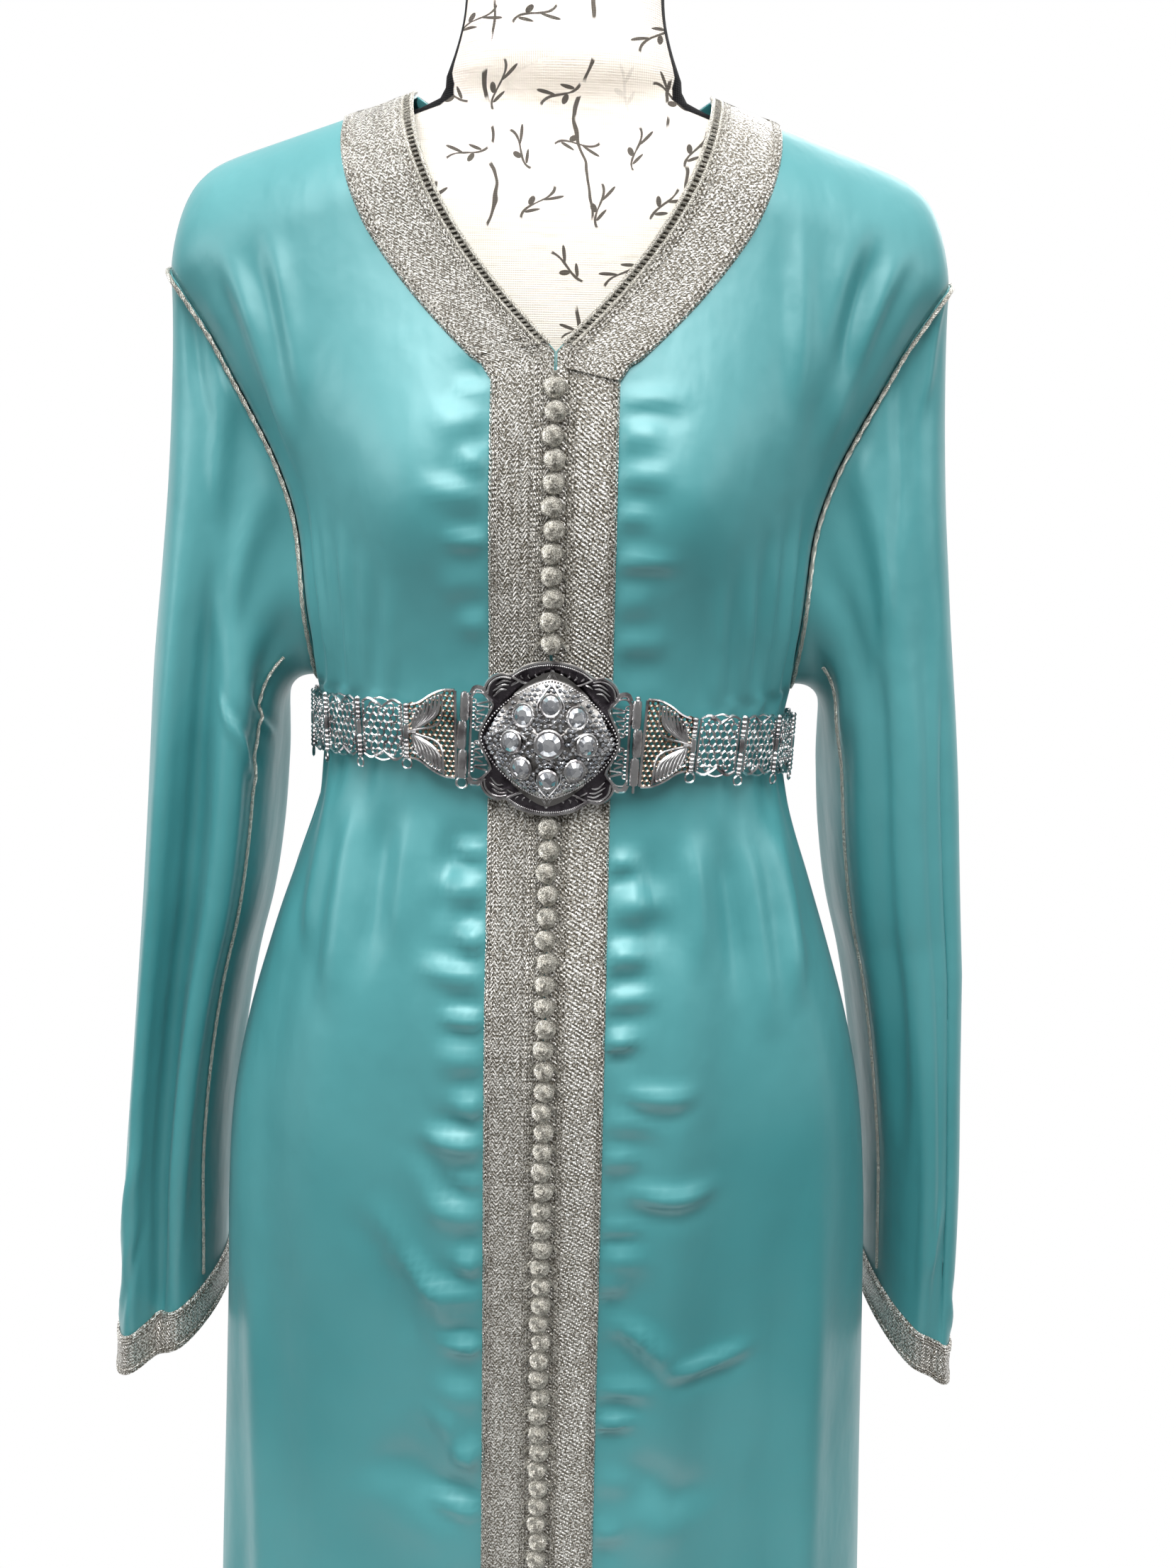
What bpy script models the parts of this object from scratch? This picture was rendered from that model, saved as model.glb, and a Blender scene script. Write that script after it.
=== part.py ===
"""A Moroccan kaftan with its metal belt, worn on a limbless dress form that stands on a round base.

Metres, +Z up. The origin is the middle of the base's underside. The front faces -Y and the
left front is the one at -X.
"""
import math

import bmesh
import bpy
import numpy as np
from mathutils import Matrix, Vector

# Driving sizes of the cloth
CLOTH = 0.0015
SEAM = 0.0003
TRIM = 0.0013
UNDERARM_Z = 1.160
NECK_POINT = (0.076, 1.465)
SHOULDER_TIP = (0.204, 1.376)
SHOULDER_LIFT = 0.045
SHOULDER_ROUNDING = 0.050
V_POINT_Z = 1.337
BACK_NECK_DROP = 0.018
ROUNDNESS = 2.4

# Front band, neck band and cuffs
BUTTON_COLUMN = 0.0130
FRONT_BAND = 0.0630
NECK_BAND = 0.0385
BACK_BAND_SHARE = 0.878

# Bust of a general form: place from the middle, height, reach and how far it stands out
BUST_X = 0.070
BUST_Z = 1.262
BUST_SPREAD = (0.042, 0.050)
BUST_REACH = 0.020

# Belt
BELT_Z = 1.133
BELT_FALL_BACK = 0.105
BELT_BOW = 0.045
BELT_BOW_REACH = 0.050
BELT_FALL_RIGHT = 0.030
BELT_HALF = 0.1335
BELT_FRONT = 0.0985
BELT_BACK = 0.0900
BELT_ROUNDNESS = 2.2
HINGE_X = 0.0450
WEDGE_LENGTH = 0.0300
LINK_PITCH = 0.0300
LINK_HEIGHT = 0.0320
PLATE = 0.0014

# Stand
BASE_RADIUS = 0.160
BASE_HEIGHT = 0.018
POLE_RADIUS = 0.014


def table(names, *rows):
    """Named columns of a short table, each as an array."""
    return dict(zip(names, np.array(rows, dtype=float).T))


SECTIONS = table(
    ("height", "half_width", "front", "back"),
    (0.030, 0.215, 0.150, 0.165),
    (0.300, 0.208, 0.128, 0.150),
    (0.580, 0.201, 0.110, 0.135),
    (0.700, 0.196, 0.106, 0.130),
    (0.800, 0.192, 0.106, 0.126),
    (0.860, 0.189, 0.108, 0.123),
    (0.930, 0.181, 0.110, 0.120),
    (0.970, 0.172, 0.110, 0.115),
    (1.010, 0.160, 0.107, 0.108),
    (1.050, 0.147, 0.099, 0.095),
    (1.100, 0.131, 0.090, 0.082),
    (1.135, 0.126, 0.088, 0.079),
    (1.170, 0.132, 0.087, 0.080),
    (1.200, 0.138, 0.089, 0.084),
    (1.250, 0.1425, 0.092, 0.089),
    (1.278, 0.152, 0.092, 0.091),
    (1.300, 0.163, 0.091, 0.091),
    (1.320, 0.1745, 0.088, 0.090),
    (1.340, 0.1865, 0.083, 0.087),
    (1.358, 0.200, 0.077, 0.083),
    (1.376, 0.214, 0.071, 0.078),
    (1.420, 0.225, 0.060, 0.067),
    (1.465, 0.235, 0.050, 0.058),
)

ARMHOLE = table(
    ("height", "edge"),
    (1.160, 0.1297),
    (1.174, 0.1310),
    (1.190, 0.1325),
    (1.220, 0.1345),
    (1.250, 0.138),
    (1.278, 0.147),
    (1.300, 0.1575),
    (1.320, 0.168),
    (1.340, 0.1785),
    (1.358, 0.190),
    (1.368, 0.197),
    (1.376, 0.204),
)

FORM = table(
    ("height", "half_width", "front", "back"),
    (0.780, 0.120, 0.070, 0.080),
    (0.800, 0.148, 0.086, 0.096),
    (0.850, 0.164, 0.096, 0.106),
    (0.920, 0.164, 0.098, 0.106),
    (0.980, 0.153, 0.095, 0.098),
    (1.040, 0.134, 0.088, 0.084),
    (1.095, 0.120, 0.081, 0.073),
    (1.140, 0.116, 0.078, 0.069),
    (1.190, 0.121, 0.079, 0.072),
    (1.240, 0.128, 0.083, 0.078),
    (1.285, 0.142, 0.083, 0.081),
    (1.330, 0.166, 0.077, 0.0863),
    (1.365, 0.186, 0.068, 0.072),
    (1.395, 0.193, 0.057, 0.063),
    (1.412, 0.188, 0.049, 0.056),
    (1.4250, 0.172, 0.040, 0.036),
    (1.4366, 0.144, 0.031, 0.026),
    (1.4480, 0.109, 0.028, 0.023),
    (1.4604, 0.068, 0.029, 0.023),
    (1.4750, 0.060, 0.042, 0.040),
    (1.4950, 0.053, 0.047, 0.044),
    (1.5450, 0.0505, 0.050, 0.046),
)

SLEEVE_RINGS = table(
    ("outer_z", "inner_z", "outer_x", "inner_x", "half_depth", "valley", "merge"),
    (1.3755, 1.1604, 0.2045, 0.1305, 0.034, 0.000, 0.00),
    (1.345, 1.1600, 0.2055, 0.1400, 0.041, 0.000, 0.40),
    (1.305, 1.1560, 0.2080, 0.1480, 0.049, 0.004, 0.75),
    (1.262, 1.1460, 0.2115, 0.1525, 0.057, 0.011, 0.95),
    (1.215, 1.1270, 0.2165, 0.1550, 0.063, 0.018, 1.00),
    (1.160, 1.1000, 0.2220, 0.1580, 0.068, 0.022, 1.00),
    (1.105, 1.0650, 0.2265, 0.1620, 0.071, 0.025, 1.00),
    (1.050, 1.0250, 0.2310, 0.1690, 0.073, 0.026, 1.00),
    (0.995, 0.9830, 0.2360, 0.1800, 0.073, 0.026, 1.00),
    (0.935, 0.9350, 0.2420, 0.1890, 0.072, 0.025, 1.00),
    (0.870, 0.8800, 0.2490, 0.1955, 0.070, 0.023, 1.00),
    (0.812, 0.8300, 0.2540, 0.1985, 0.067, 0.021, 1.00),
    (0.763, 0.7930, 0.2580, 0.2005, 0.064, 0.019, 1.00),
    (0.7355, 0.7655, 0.2600, 0.2015, 0.063, 0.018, 1.00),
)
CUFF_ROW = 12

# Large folds of the skirt and back: bearing from the middle of the front in degrees
FOLDS = table(
    ("side", "bearing", "top", "bottom", "depth", "spread"),
    (-1, 36, 1.06, 0.12, -0.0050, 6.0),
    (-1, 52, 1.08, 0.03, 0.0050, 7.0),
    (-1, 68, 1.10, 0.25, -0.0045, 6.0),
    (1, 33, 1.04, 0.05, 0.0045, 6.0),
    (1, 47, 1.08, 0.30, -0.0050, 6.0),
    (1, 63, 1.10, 0.03, 0.0050, 7.0),
    (-1, 118, 1.08, 0.03, -0.0070, 8.0),
    (-1, 136, 1.06, 0.10, 0.0070, 8.0),
    (-1, 154, 1.04, 0.03, -0.0070, 7.0),
    (1, 112, 1.08, 0.08, 0.0060, 8.0),
    (1, 130, 1.07, 0.03, -0.0075, 8.0),
    (1, 148, 1.05, 0.12, 0.0070, 7.0),
    (1, 166, 1.04, 0.03, -0.0060, 7.0),
)
FOLD_RAMP = 0.10
GATHER = 0.0014
GATHER_Z = 1.140
GATHER_SPREAD = 0.055

LOWER_ROWS = (0.030, 0.150, 0.280, 0.410, 0.540, 0.650, 0.750, 0.840, 0.910, 0.970, 1.020,
              1.062, 1.098, 1.127)
UPPER_SHARES = (0.0, 0.07, 0.15, 0.24, 0.33, 0.42, 0.51, 0.59, 0.68, 0.77, 0.878, 0.955, 1.0)
V_SHARE = 0.59
FRONT_COLUMNS = 13
BACK_HALF_COLUMNS = 11
SLEEVE_COLUMNS = 20

METAL = ((0.55, 0.55, 0.56), 0.22, 1.0)
SILVER_BRAID = ((0.42, 0.40, 0.35), 0.40, 0.75)
FINISHES = {
    "satin": ((0.22, 0.50, 0.52), 0.32, 0.0),
    "braid": SILVER_BRAID,
    "cord": SILVER_BRAID,
    "belt_metal": METAL,
    "stone": ((0.80, 0.84, 0.88), 0.05, 0.2),
    "linen": ((0.62, 0.56, 0.48), 0.85, 0.0),
    "stand_metal": ((0.05, 0.05, 0.05), 0.45, 1.0),
    "cap_wood": ((0.16, 0.08, 0.04), 0.45, 0.0),
}


def clear_scene():
    """Remove every object that the new file holds."""
    for each in list(bpy.data.objects):
        bpy.data.objects.remove(each, do_unlink=True)


def finish(name):
    """A Principled material from the short list of finishes."""
    made = bpy.data.materials.get(name)
    if made:
        return made
    colour, roughness, metallic = FINISHES[name]
    made = bpy.data.materials.new(name)
    made.use_nodes = True
    shader = made.node_tree.nodes["Principled BSDF"]
    shader.inputs["Base Color"].default_value = (*colour, 1.0)
    shader.inputs["Roughness"].default_value = roughness
    shader.inputs["Metallic"].default_value = metallic
    return made


def place(name, mesh, finish_name, collection, matrix=None):
    """Put a mesh into the scene as one named object."""
    piece = bpy.data.objects.new(name, mesh)
    if not mesh.materials:
        mesh.materials.append(finish(finish_name))
    if matrix is not None:
        piece.matrix_world = matrix
    collection.objects.link(piece)
    mesh.shade_smooth()
    mesh.set_sharp_from_angle(angle=math.radians(40))
    return piece


def along(rows, name, at, key="height"):
    """Read a named column at any height, on a smooth curve through the rows of a table."""
    level, value = rows[key], rows[name]
    slope = np.gradient(value, level)
    low = np.clip(np.searchsorted(level, at) - 1, 0, len(level) - 2)
    span = level[low + 1] - level[low]
    t = np.clip((at - level[low]) / span, 0.0, 1.0)
    rise = t * t * (3.0 - 2.0 * t)
    start = t * (1.0 - t) ** 2 * span * slope[low]
    end = t * t * (t - 1.0) * span * slope[low + 1]
    return value[low] * (1.0 - rise) + value[low + 1] * rise + start + end


def shoulder_height(x):
    """Height of the shoulder seam at a distance from the middle: a slope with a rounded end."""
    share = np.clip((np.abs(x) - NECK_POINT[0]) / (SHOULDER_TIP[0] - NECK_POINT[0]), 0.0, 1.0)
    fall = (NECK_POINT[1] - SHOULDER_TIP[1]) * share
    return NECK_POINT[1] - fall + SHOULDER_LIFT * share * (1.0 - share ** 16)


def neckline(z):
    """Half width of the front neckline at a height: nothing below the V, then a soft curve."""
    drop = np.clip((NECK_POINT[1] - z) / (NECK_POINT[1] - V_POINT_Z), 0.0, 1.0)
    return NECK_POINT[0] * (1.0 - drop ** 1.8)


def bust(x, z):
    """How far a general form's bust lifts the front at a place."""
    across = (np.abs(x) - BUST_X) / BUST_SPREAD[0]
    up = (z - BUST_Z) / BUST_SPREAD[1]
    return BUST_REACH * np.exp(-across ** 2 - up ** 2)


def cloth_depth(side, x, z):
    """Distance from the side plane to the cloth: a flattened ring that rounds over the shoulder."""
    half = along(SECTIONS, "half_width", z)
    ring = np.clip(1.0 - (np.abs(x) / half) ** ROUNDNESS, 0.0, 1.0) ** (1.0 / ROUNDNESS)
    depth = along(SECTIONS, side, z) * ring
    if side == "front":
        depth = depth + bust(x, z) * ring
    rise = np.clip((shoulder_height(x) - z) / SHOULDER_ROUNDING, 0.0, 1.0)
    return depth * np.sqrt(1.0 - (1.0 - rise) ** 2)


def fold_lift(x, y, z):
    """Outward move of the cloth where the large folds of the skirt run."""
    bearing = np.degrees(np.arctan2(np.abs(x), -y))
    lift = np.zeros_like(x)
    for side, place_, top, bottom, depth, spread in zip(*FOLDS.values()):
        down = np.clip((top - z) / FOLD_RAMP, 0.0, 1.0) * np.clip((z - bottom) / FOLD_RAMP + 1.0, 0.0, 1.0)
        ridge = np.exp(-((bearing - place_) / spread) ** 2)
        lift += np.where(np.sign(x) == side, depth * ridge * down, 0.0)
    return lift


def dress(x, y, z, column):
    """Move section points out by the folds and by the fine gathers beside the belt."""
    gather = GATHER * (-1.0) ** column * np.exp(-((z - GATHER_Z) / GATHER_SPREAD) ** 2)
    lift = fold_lift(x, y, z) + np.where(column > 5, gather, 0.0)
    radius = np.maximum(np.hypot(x, y), 0.02)
    return np.stack((x * (1.0 + lift / radius), y * (1.0 + lift / radius), z), axis=-1)


def column_x(start, end, half, shares):
    """Places across a row between two edges, even along the flattened ring."""
    power = ROUNDNESS / 2.0
    low = np.arcsin(np.clip(start / half, 0.0, 1.0) ** power)
    high = np.arcsin(np.clip(end / half, 0.0, 1.0) ** power)
    return half * np.sin(low + (high - low) * shares) ** (1.0 / power)


def upper_rows():
    """Heights of the rows above the underarm at the armhole's edge and at the inner edge."""
    share = np.array(UPPER_SHARES)
    outer = UNDERARM_Z + (SHOULDER_TIP[1] - UNDERARM_Z) * share
    inner = UNDERARM_Z + (NECK_POINT[1] - UNDERARM_Z) * share
    return share, outer, inner


def band_width(share):
    """Width of the trimmed strip beside the inner edge: front band, then neck band."""
    return np.interp(share, (0.51, V_SHARE, 0.80, 1.0),
                     (FRONT_BAND / 2, NECK_BAND, NECK_BAND + 0.001, 0.035))


def front_grid(side):
    """Outer surface of one front: rows from hem to shoulder, columns from the middle outwards.

    The first three columns follow the button column and the edges of the braid, so the trims
    lie on the panel's own points.
    """
    share, outer, inner = upper_rows()
    lower = np.array(LOWER_ROWS)
    outer_z = np.concatenate((lower, outer))
    inner_z = np.concatenate((lower, inner))
    shares = np.concatenate((np.zeros(len(lower)), share))
    half = along(SECTIONS, "half_width", outer_z)
    edge = np.where(outer_z > UNDERARM_Z, along(ARMHOLE, "edge", outer_z), half)
    start = np.where(inner_z > V_POINT_Z, neckline(inner_z), 0.0) + SEAM / 2
    across = np.linspace(0.0, 1.0, FRONT_COLUMNS - 1)
    x = np.empty((len(outer_z), FRONT_COLUMNS + 1))
    x[:, 0] = start
    x[:, 1] = start + BUTTON_COLUMN / 2
    x[:, 2:] = column_x((start + band_width(shares))[:, None], edge[:, None], half[:, None], across[None, :])
    crown = shoulder_height(x[-1])
    z = np.where(shares[:, None] > 0, UNDERARM_Z + (crown[None, :] - UNDERARM_Z) * shares[:, None],
                 outer_z[:, None])
    y = -cloth_depth("front", x, z)
    y[:, -1] = np.minimum(y[:, -1], -0.0004)
    y[-1, :] = np.minimum(y[-1, :], -0.0008)
    columns = np.broadcast_to(np.arange(FRONT_COLUMNS + 1)[None, :], x.shape)
    return dress(side * x, y, z, columns)


def back_grid():
    """Outer surface of the back: rows from hem to shoulder, columns from +X to -X."""
    share, outer, _ = upper_rows()
    lower = np.array(LOWER_ROWS)
    outer_z = np.concatenate((lower, outer))
    shares = np.concatenate((np.zeros(len(lower)), share))
    half = along(SECTIONS, "half_width", outer_z)
    edge = np.where(outer_z > UNDERARM_Z, along(ARMHOLE, "edge", outer_z), half)
    top = np.concatenate((np.linspace(0.0, NECK_POINT[0], 4),
                          (0.094, 0.111),
                          np.linspace(0.111, SHOULDER_TIP[0], BACK_HALF_COLUMNS - 4)[1:]))
    even = np.linspace(0.0, 1.0, BACK_HALF_COLUMNS + 1)
    ring = column_x(np.zeros_like(edge)[:, None], edge[:, None], half[:, None], even[None, :])
    straight = edge[:, None] * (top / top[-1])[None, :]
    x = ring * (1.0 - shares[:, None]) + straight * shares[:, None]
    dip = BACK_NECK_DROP * np.clip(1.0 - (top / NECK_POINT[0]) ** 2, 0.0, 1.0)
    crown = shoulder_height(top) - dip
    z = np.where(shares[:, None] > 0, UNDERARM_Z + (crown[None, :] - UNDERARM_Z) * shares[:, None],
                 outer_z[:, None])
    y = cloth_depth("back", x, z)
    y[:, -1] = np.maximum(y[:, -1], 0.0004)
    y[-1, :] = np.maximum(y[-1, :], 0.0008)
    columns = np.broadcast_to(np.arange(BACK_HALF_COLUMNS + 1)[None, :], x.shape)
    right = dress(x, y, z, columns)
    left = dress(-x, y, z, columns)
    return np.concatenate((right[:, ::-1], left[:, 1:]), axis=1)


def grid_normals(grid, closed=False):
    """Unit normals of a grid of points, from the steps along its rows and columns."""
    if closed:
        wide = np.concatenate((grid[:, -1:], grid, grid[:, :1]), axis=1)
        across = (wide[:, 2:] - wide[:, :-2]) / 2
    else:
        across = np.gradient(grid, axis=1)
    up = np.gradient(grid, axis=0)
    normal = np.cross(across, up)
    return normal / np.linalg.norm(normal, axis=-1, keepdims=True)


def surface_mesh(name, grid, closed=False, flip=False):
    """Faces of a loft through rows of points that lie on unlike sections."""
    rows, columns = grid.shape[:2]
    index = np.arange(rows * columns).reshape(rows, columns)
    if closed:
        index = np.concatenate((index, index[:, :1]), axis=1)
    quads = np.stack((index[:-1, :-1], index[:-1, 1:], index[1:, 1:], index[1:, :-1]), axis=-1)
    quads = quads.reshape(-1, 4)
    if flip:
        quads = quads[:, ::-1]
    mesh = bpy.data.meshes.new(name)
    mesh.from_pydata(grid.reshape(-1, 3).tolist(), [], quads.tolist())
    return mesh


def cloth_wall(name, grid, collection, closed=False, flip=False, finish_name="satin", trim=False):
    """A cloth piece: an open surface with its wall inside it, or outside it for a trim."""
    piece = place(name, surface_mesh(name, grid, closed, flip), finish_name, collection)
    wall = piece.modifiers.new("wall", "SOLIDIFY")
    wall.thickness = TRIM if trim else CLOTH
    wall.offset = 1.0 if trim else -1.0
    return piece


def lifted(grid, rows, columns, lift, side=1, closed=False):
    """Points of a trim: the panel's own points, moved out along its normals."""
    out = grid + side * grid_normals(grid, closed) * lift
    return out[rows, columns].copy()


def armhole_loop(side, turn):
    """Points on the armhole's edge: turn 0 is the shoulder tip, a quarter is the front."""
    share = (1.0 + np.cos(turn)) / 2
    z = UNDERARM_Z + (SHOULDER_TIP[1] - UNDERARM_Z) * share
    x = along(ARMHOLE, "edge", z)
    front = cloth_depth("front", x, z)
    back = cloth_depth("back", x, z)
    y = np.where(np.sin(turn) > 0.0, -front, back) * (np.abs(np.sin(turn)) > 1e-6)
    return np.stack((side * x, y, z), axis=-1)


def sleeve_grid(side):
    """Outer surface of a sleeve: rings from the armhole to the cuff, with the front valley.

    Each ring is an ellipse that leans with its outer and inner heights. The first rings merge
    into the armhole's loop, and the inner side leans back behind the front lobe.
    """
    turn = np.arange(SLEEVE_COLUMNS) * 2 * math.pi / SLEEVE_COLUMNS
    share = ((1.0 + np.cos(turn)) / 2)[None, :]
    ring = {name: column[:, None] for name, column in SLEEVE_RINGS.items()}
    valley_turn = math.radians(88 if side < 0 else 70)
    valley_depth = 1.0 if side < 0 else 0.55
    lean = (0.014 if side < 0 else 0.040) * np.clip((1.376 - ring["outer_z"]) / 0.35, 0.0, 1.0)
    narrow = 0.0 if side < 0 else 0.012
    outer_x = ring["outer_x"] - narrow * np.clip((1.0 - ring["outer_z"]) / 0.25, 0.0, 1.0)
    x = ring["inner_x"] + (outer_x - ring["inner_x"]) * share
    z = ring["inner_z"] + (ring["outer_z"] - ring["inner_z"]) * share
    dent = np.exp(-((turn - valley_turn) / 0.40) ** 2)[None, :]
    y = 0.006 - ring["half_depth"] * np.sin(turn)[None, :] + lean * (1.0 - share)
    y = y + ring["valley"] * valley_depth * dent
    full = np.stack((side * x, y, z), axis=-1)
    loop = armhole_loop(side, turn)
    loop = loop + np.stack((np.full_like(turn, side * 0.0017), np.zeros_like(turn),
                            -0.0010 * np.cos(turn)), axis=-1)
    merge = ring["merge"][:, :, None]
    return loop[None, :, :] * (1.0 - merge) + full * merge


def tube(name, points, radius, collection, finish_name, closed=False, sides=1):
    """A cord along points, with filled ends where it isn't a loop."""
    curve = bpy.data.curves.new(name, "CURVE")
    curve.dimensions = "3D"
    curve.bevel_depth = radius
    curve.bevel_resolution = sides
    curve.use_fill_caps = not closed
    spline = curve.splines.new("POLY")
    spline.points.add(len(points) - 1)
    for point, place_ in zip(spline.points, points):
        point.co = (*place_, 1.0)
    spline.use_cyclic_u = closed
    rope = bpy.data.objects.new(name, curve)
    collection.objects.link(rope)
    return solid_from_curve(rope, name, finish_name, collection)


def solid_from_curve(source, name, finish_name, collection):
    """Turn a curve object into a mesh object with its caps welded."""
    bpy.context.view_layer.update()
    evaluated = source.evaluated_get(bpy.context.evaluated_depsgraph_get())
    mesh = bpy.data.meshes.new_from_object(evaluated)
    matrix = source.matrix_world.copy()
    weld = bmesh.new()
    weld.from_mesh(mesh)
    bmesh.ops.remove_doubles(weld, verts=weld.verts, dist=0.00001)
    bmesh.ops.recalc_face_normals(weld, faces=weld.faces)
    weld.to_mesh(mesh)
    weld.free()
    mesh.materials.clear()
    bpy.data.objects.remove(source, do_unlink=True)
    mesh.name = name
    return place(name, mesh, finish_name, collection, matrix)


def flat_plate(name, outlines, thickness, collection, finish_name):
    """A plate upright in XZ from flat outlines: the first is the edge, the rest are openings."""
    curve = bpy.data.curves.new(name, "CURVE")
    curve.dimensions = "2D"
    curve.fill_mode = "BOTH"
    curve.extrude = thickness / 2
    for outline in outlines:
        spline = curve.splines.new("POLY")
        spline.points.add(len(outline) - 1)
        for point, (across, up) in zip(spline.points, outline):
            point.co = (across, up, 0.0, 1.0)
        spline.use_cyclic_u = True
    source = bpy.data.objects.new(name, curve)
    source.matrix_world = Matrix.Rotation(math.pi / 2, 4, "X")
    collection.objects.link(source)
    plate = solid_from_curve(source, name, finish_name, collection)
    plate.data.transform(plate.matrix_world)
    plate.matrix_world = Matrix.Identity(4)
    return plate


def oval(middle, half_width, half_height, points, turn=0.0):
    """Points of an oval."""
    angles = [turn + 2 * math.pi * i / points for i in range(points)]
    return [(middle[0] + half_width * math.cos(a), middle[1] + half_height * math.sin(a)) for a in angles]


def cylinder(name, radius, length, middle, collection, finish_name, sides=8):
    """An upright round bar."""
    mesh = bpy.data.meshes.new(name)
    shape = bmesh.new()
    bmesh.ops.create_cone(shape, cap_ends=True, segments=sides, radius1=radius, radius2=radius, depth=length)
    shape.to_mesh(mesh)
    shape.free()
    return place(name, mesh, finish_name, collection, Matrix.Translation(middle))


def joined(plate, barrel):
    """One solid from a plate and the barrel on its end, as a mesh."""
    union = plate.modifiers.new("barrel", "BOOLEAN")
    union.operation = "UNION"
    union.object = barrel
    bpy.context.view_layer.update()
    evaluated = plate.evaluated_get(bpy.context.evaluated_depsgraph_get())
    mesh = bpy.data.meshes.new_from_object(evaluated)
    for source in (plate, barrel):
        bpy.data.objects.remove(source, do_unlink=True)
    return mesh


def turned(name, profile, finish_name, collection, steps=28):
    """A turned solid from a profile that runs from the top of the axis down to its bottom."""
    mesh = bpy.data.meshes.new(name)
    mesh.from_pydata([(radius, 0.0, z) for radius, z in profile], [(i, i + 1) for i in range(len(profile) - 1)], [])
    piece = place(name, mesh, finish_name, collection)
    spin = piece.modifiers.new("turn", "SCREW")
    spin.steps = steps
    spin.render_steps = steps
    spin.use_merge_vertices = True
    spin.merge_threshold = 0.00005
    return piece


def build_form(collection):
    """The padded torso with its neck, the cap on it, the pole and the round base."""
    angles = np.arange(20) * 2 * math.pi / 20
    z = FORM["height"][:, None]
    across = np.sign(np.sin(angles)) * np.abs(np.sin(angles)) ** (2 / 2.2)
    ahead = -np.sign(np.cos(angles)) * np.abs(np.cos(angles)) ** (2 / 2.2)
    x = FORM["half_width"][:, None] * across[None, :]
    depth = np.where(ahead[None, :] < 0, FORM["front"][:, None], FORM["back"][:, None])
    lift = np.where(ahead[None, :] < 0, bust(x, z) * np.abs(ahead)[None, :] * 0.85, 0.0)
    y = depth * ahead[None, :] - lift
    grid = np.stack((x, y, np.broadcast_to(z, x.shape)), axis=-1)
    mesh = surface_mesh("form_torso", grid, closed=True)
    closing = bmesh.new()
    closing.from_mesh(mesh)
    bmesh.ops.holes_fill(closing, edges=[edge for edge in closing.edges if edge.is_boundary])
    bmesh.ops.recalc_face_normals(closing, faces=closing.faces)
    closing.to_mesh(mesh)
    closing.free()
    place("form_torso", mesh, "linen", collection)
    top = float(FORM["height"][-1])
    bottom = float(FORM["height"][0])
    turned("form_neck_cap", ((0.0, top + 0.030), (0.018, top + 0.0285), (0.036, top + 0.022), (0.048, top + 0.012),
                             (0.051, top + 0.004), (0.050, top + SEAM), (0.0, top + SEAM)), "cap_wood", collection)
    low = BASE_HEIGHT + SEAM
    high = bottom - SEAM
    cylinder("form_pole", POLE_RADIUS, high - low, (0.0, 0.0, (high + low) / 2), collection, "stand_metal", 16)
    turned("form_base", ((0.0, BASE_HEIGHT), (0.022, BASE_HEIGHT), (0.030, 0.0145), (0.060, 0.0120),
                         (0.120, 0.0095), (BASE_RADIUS - 0.004, 0.0070), (BASE_RADIUS, 0.0045),
                         (BASE_RADIUS, 0.0), (0.0, 0.0)), "stand_metal", collection)


def build_fronts(collection):
    """Both fronts with the braids, the neck bands on them and the rows of buttons."""
    lower = len(LOWER_ROWS)
    v_row = lower + UPPER_SHARES.index(V_SHARE)
    middle = None
    for side, word in ((-1, "left"), (1, "right")):
        grid = front_grid(side)
        cloth_wall(f"front_{word}", grid, collection, flip=side < 0)
        braid = lifted(grid, slice(0, v_row + 1), slice(1, 3), SEAM, side)
        cloth_wall(f"front_braid_{word}", braid, collection, flip=side < 0, finish_name="braid", trim=True)
        band = lifted(grid, slice(v_row, None), slice(0, 3), SEAM, side)
        band[0] += (band[1] - band[0]) * 0.03
        cloth_wall(f"neck_band_{word}", band, collection, flip=side < 0, finish_name="braid", trim=True)
        middle = grid[:, 0]
    button_rows(middle, collection)


def button_rows(middle, collection):
    """The button balls above and below the belt, each length of them on one run of cord."""
    pitch, ball, neck = 0.0114, 0.0055, 0.0024
    for word, top, bottom in (("upper", 1.325, 1.197), ("lower", 1.104, 0.038)):
        count = int((top - bottom) / pitch)
        steps = np.arange(2 * count + 1)
        z = top - steps * pitch / 2
        radius = np.where(steps % 2 == 1, ball, neck)
        y = np.interp(z, middle[:, 2], middle[:, 1]) - ball * math.cos(math.pi / 6) - 0.0004
        angles = np.arange(6) * math.pi / 3
        x_ring = radius[:, None] * np.cos(angles)[None, :]
        y_ring = y[:, None] + radius[:, None] * np.sin(angles)[None, :]
        grid = np.stack((x_ring, y_ring, np.broadcast_to(z[:, None], x_ring.shape)), axis=-1)
        mesh = surface_mesh(f"buttons_{word}", grid, closed=True)
        closing = bmesh.new()
        closing.from_mesh(mesh)
        bmesh.ops.holes_fill(closing, edges=[edge for edge in closing.edges if edge.is_boundary])
        bmesh.ops.recalc_face_normals(closing, faces=closing.faces)
        closing.to_mesh(mesh)
        closing.free()
        place(f"buttons_{word}", mesh, "cord", collection)


def build_back(collection):
    """The back and the neck band across it."""
    grid = back_grid()
    cloth_wall("back", grid, collection)
    row = len(LOWER_ROWS) + UPPER_SHARES.index(BACK_BAND_SHARE)
    middle = BACK_HALF_COLUMNS
    band = lifted(grid, slice(row, None), slice(middle - 5, middle + 6), SEAM)
    cloth_wall("neck_band_back", band, collection, finish_name="braid", trim=True)


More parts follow.
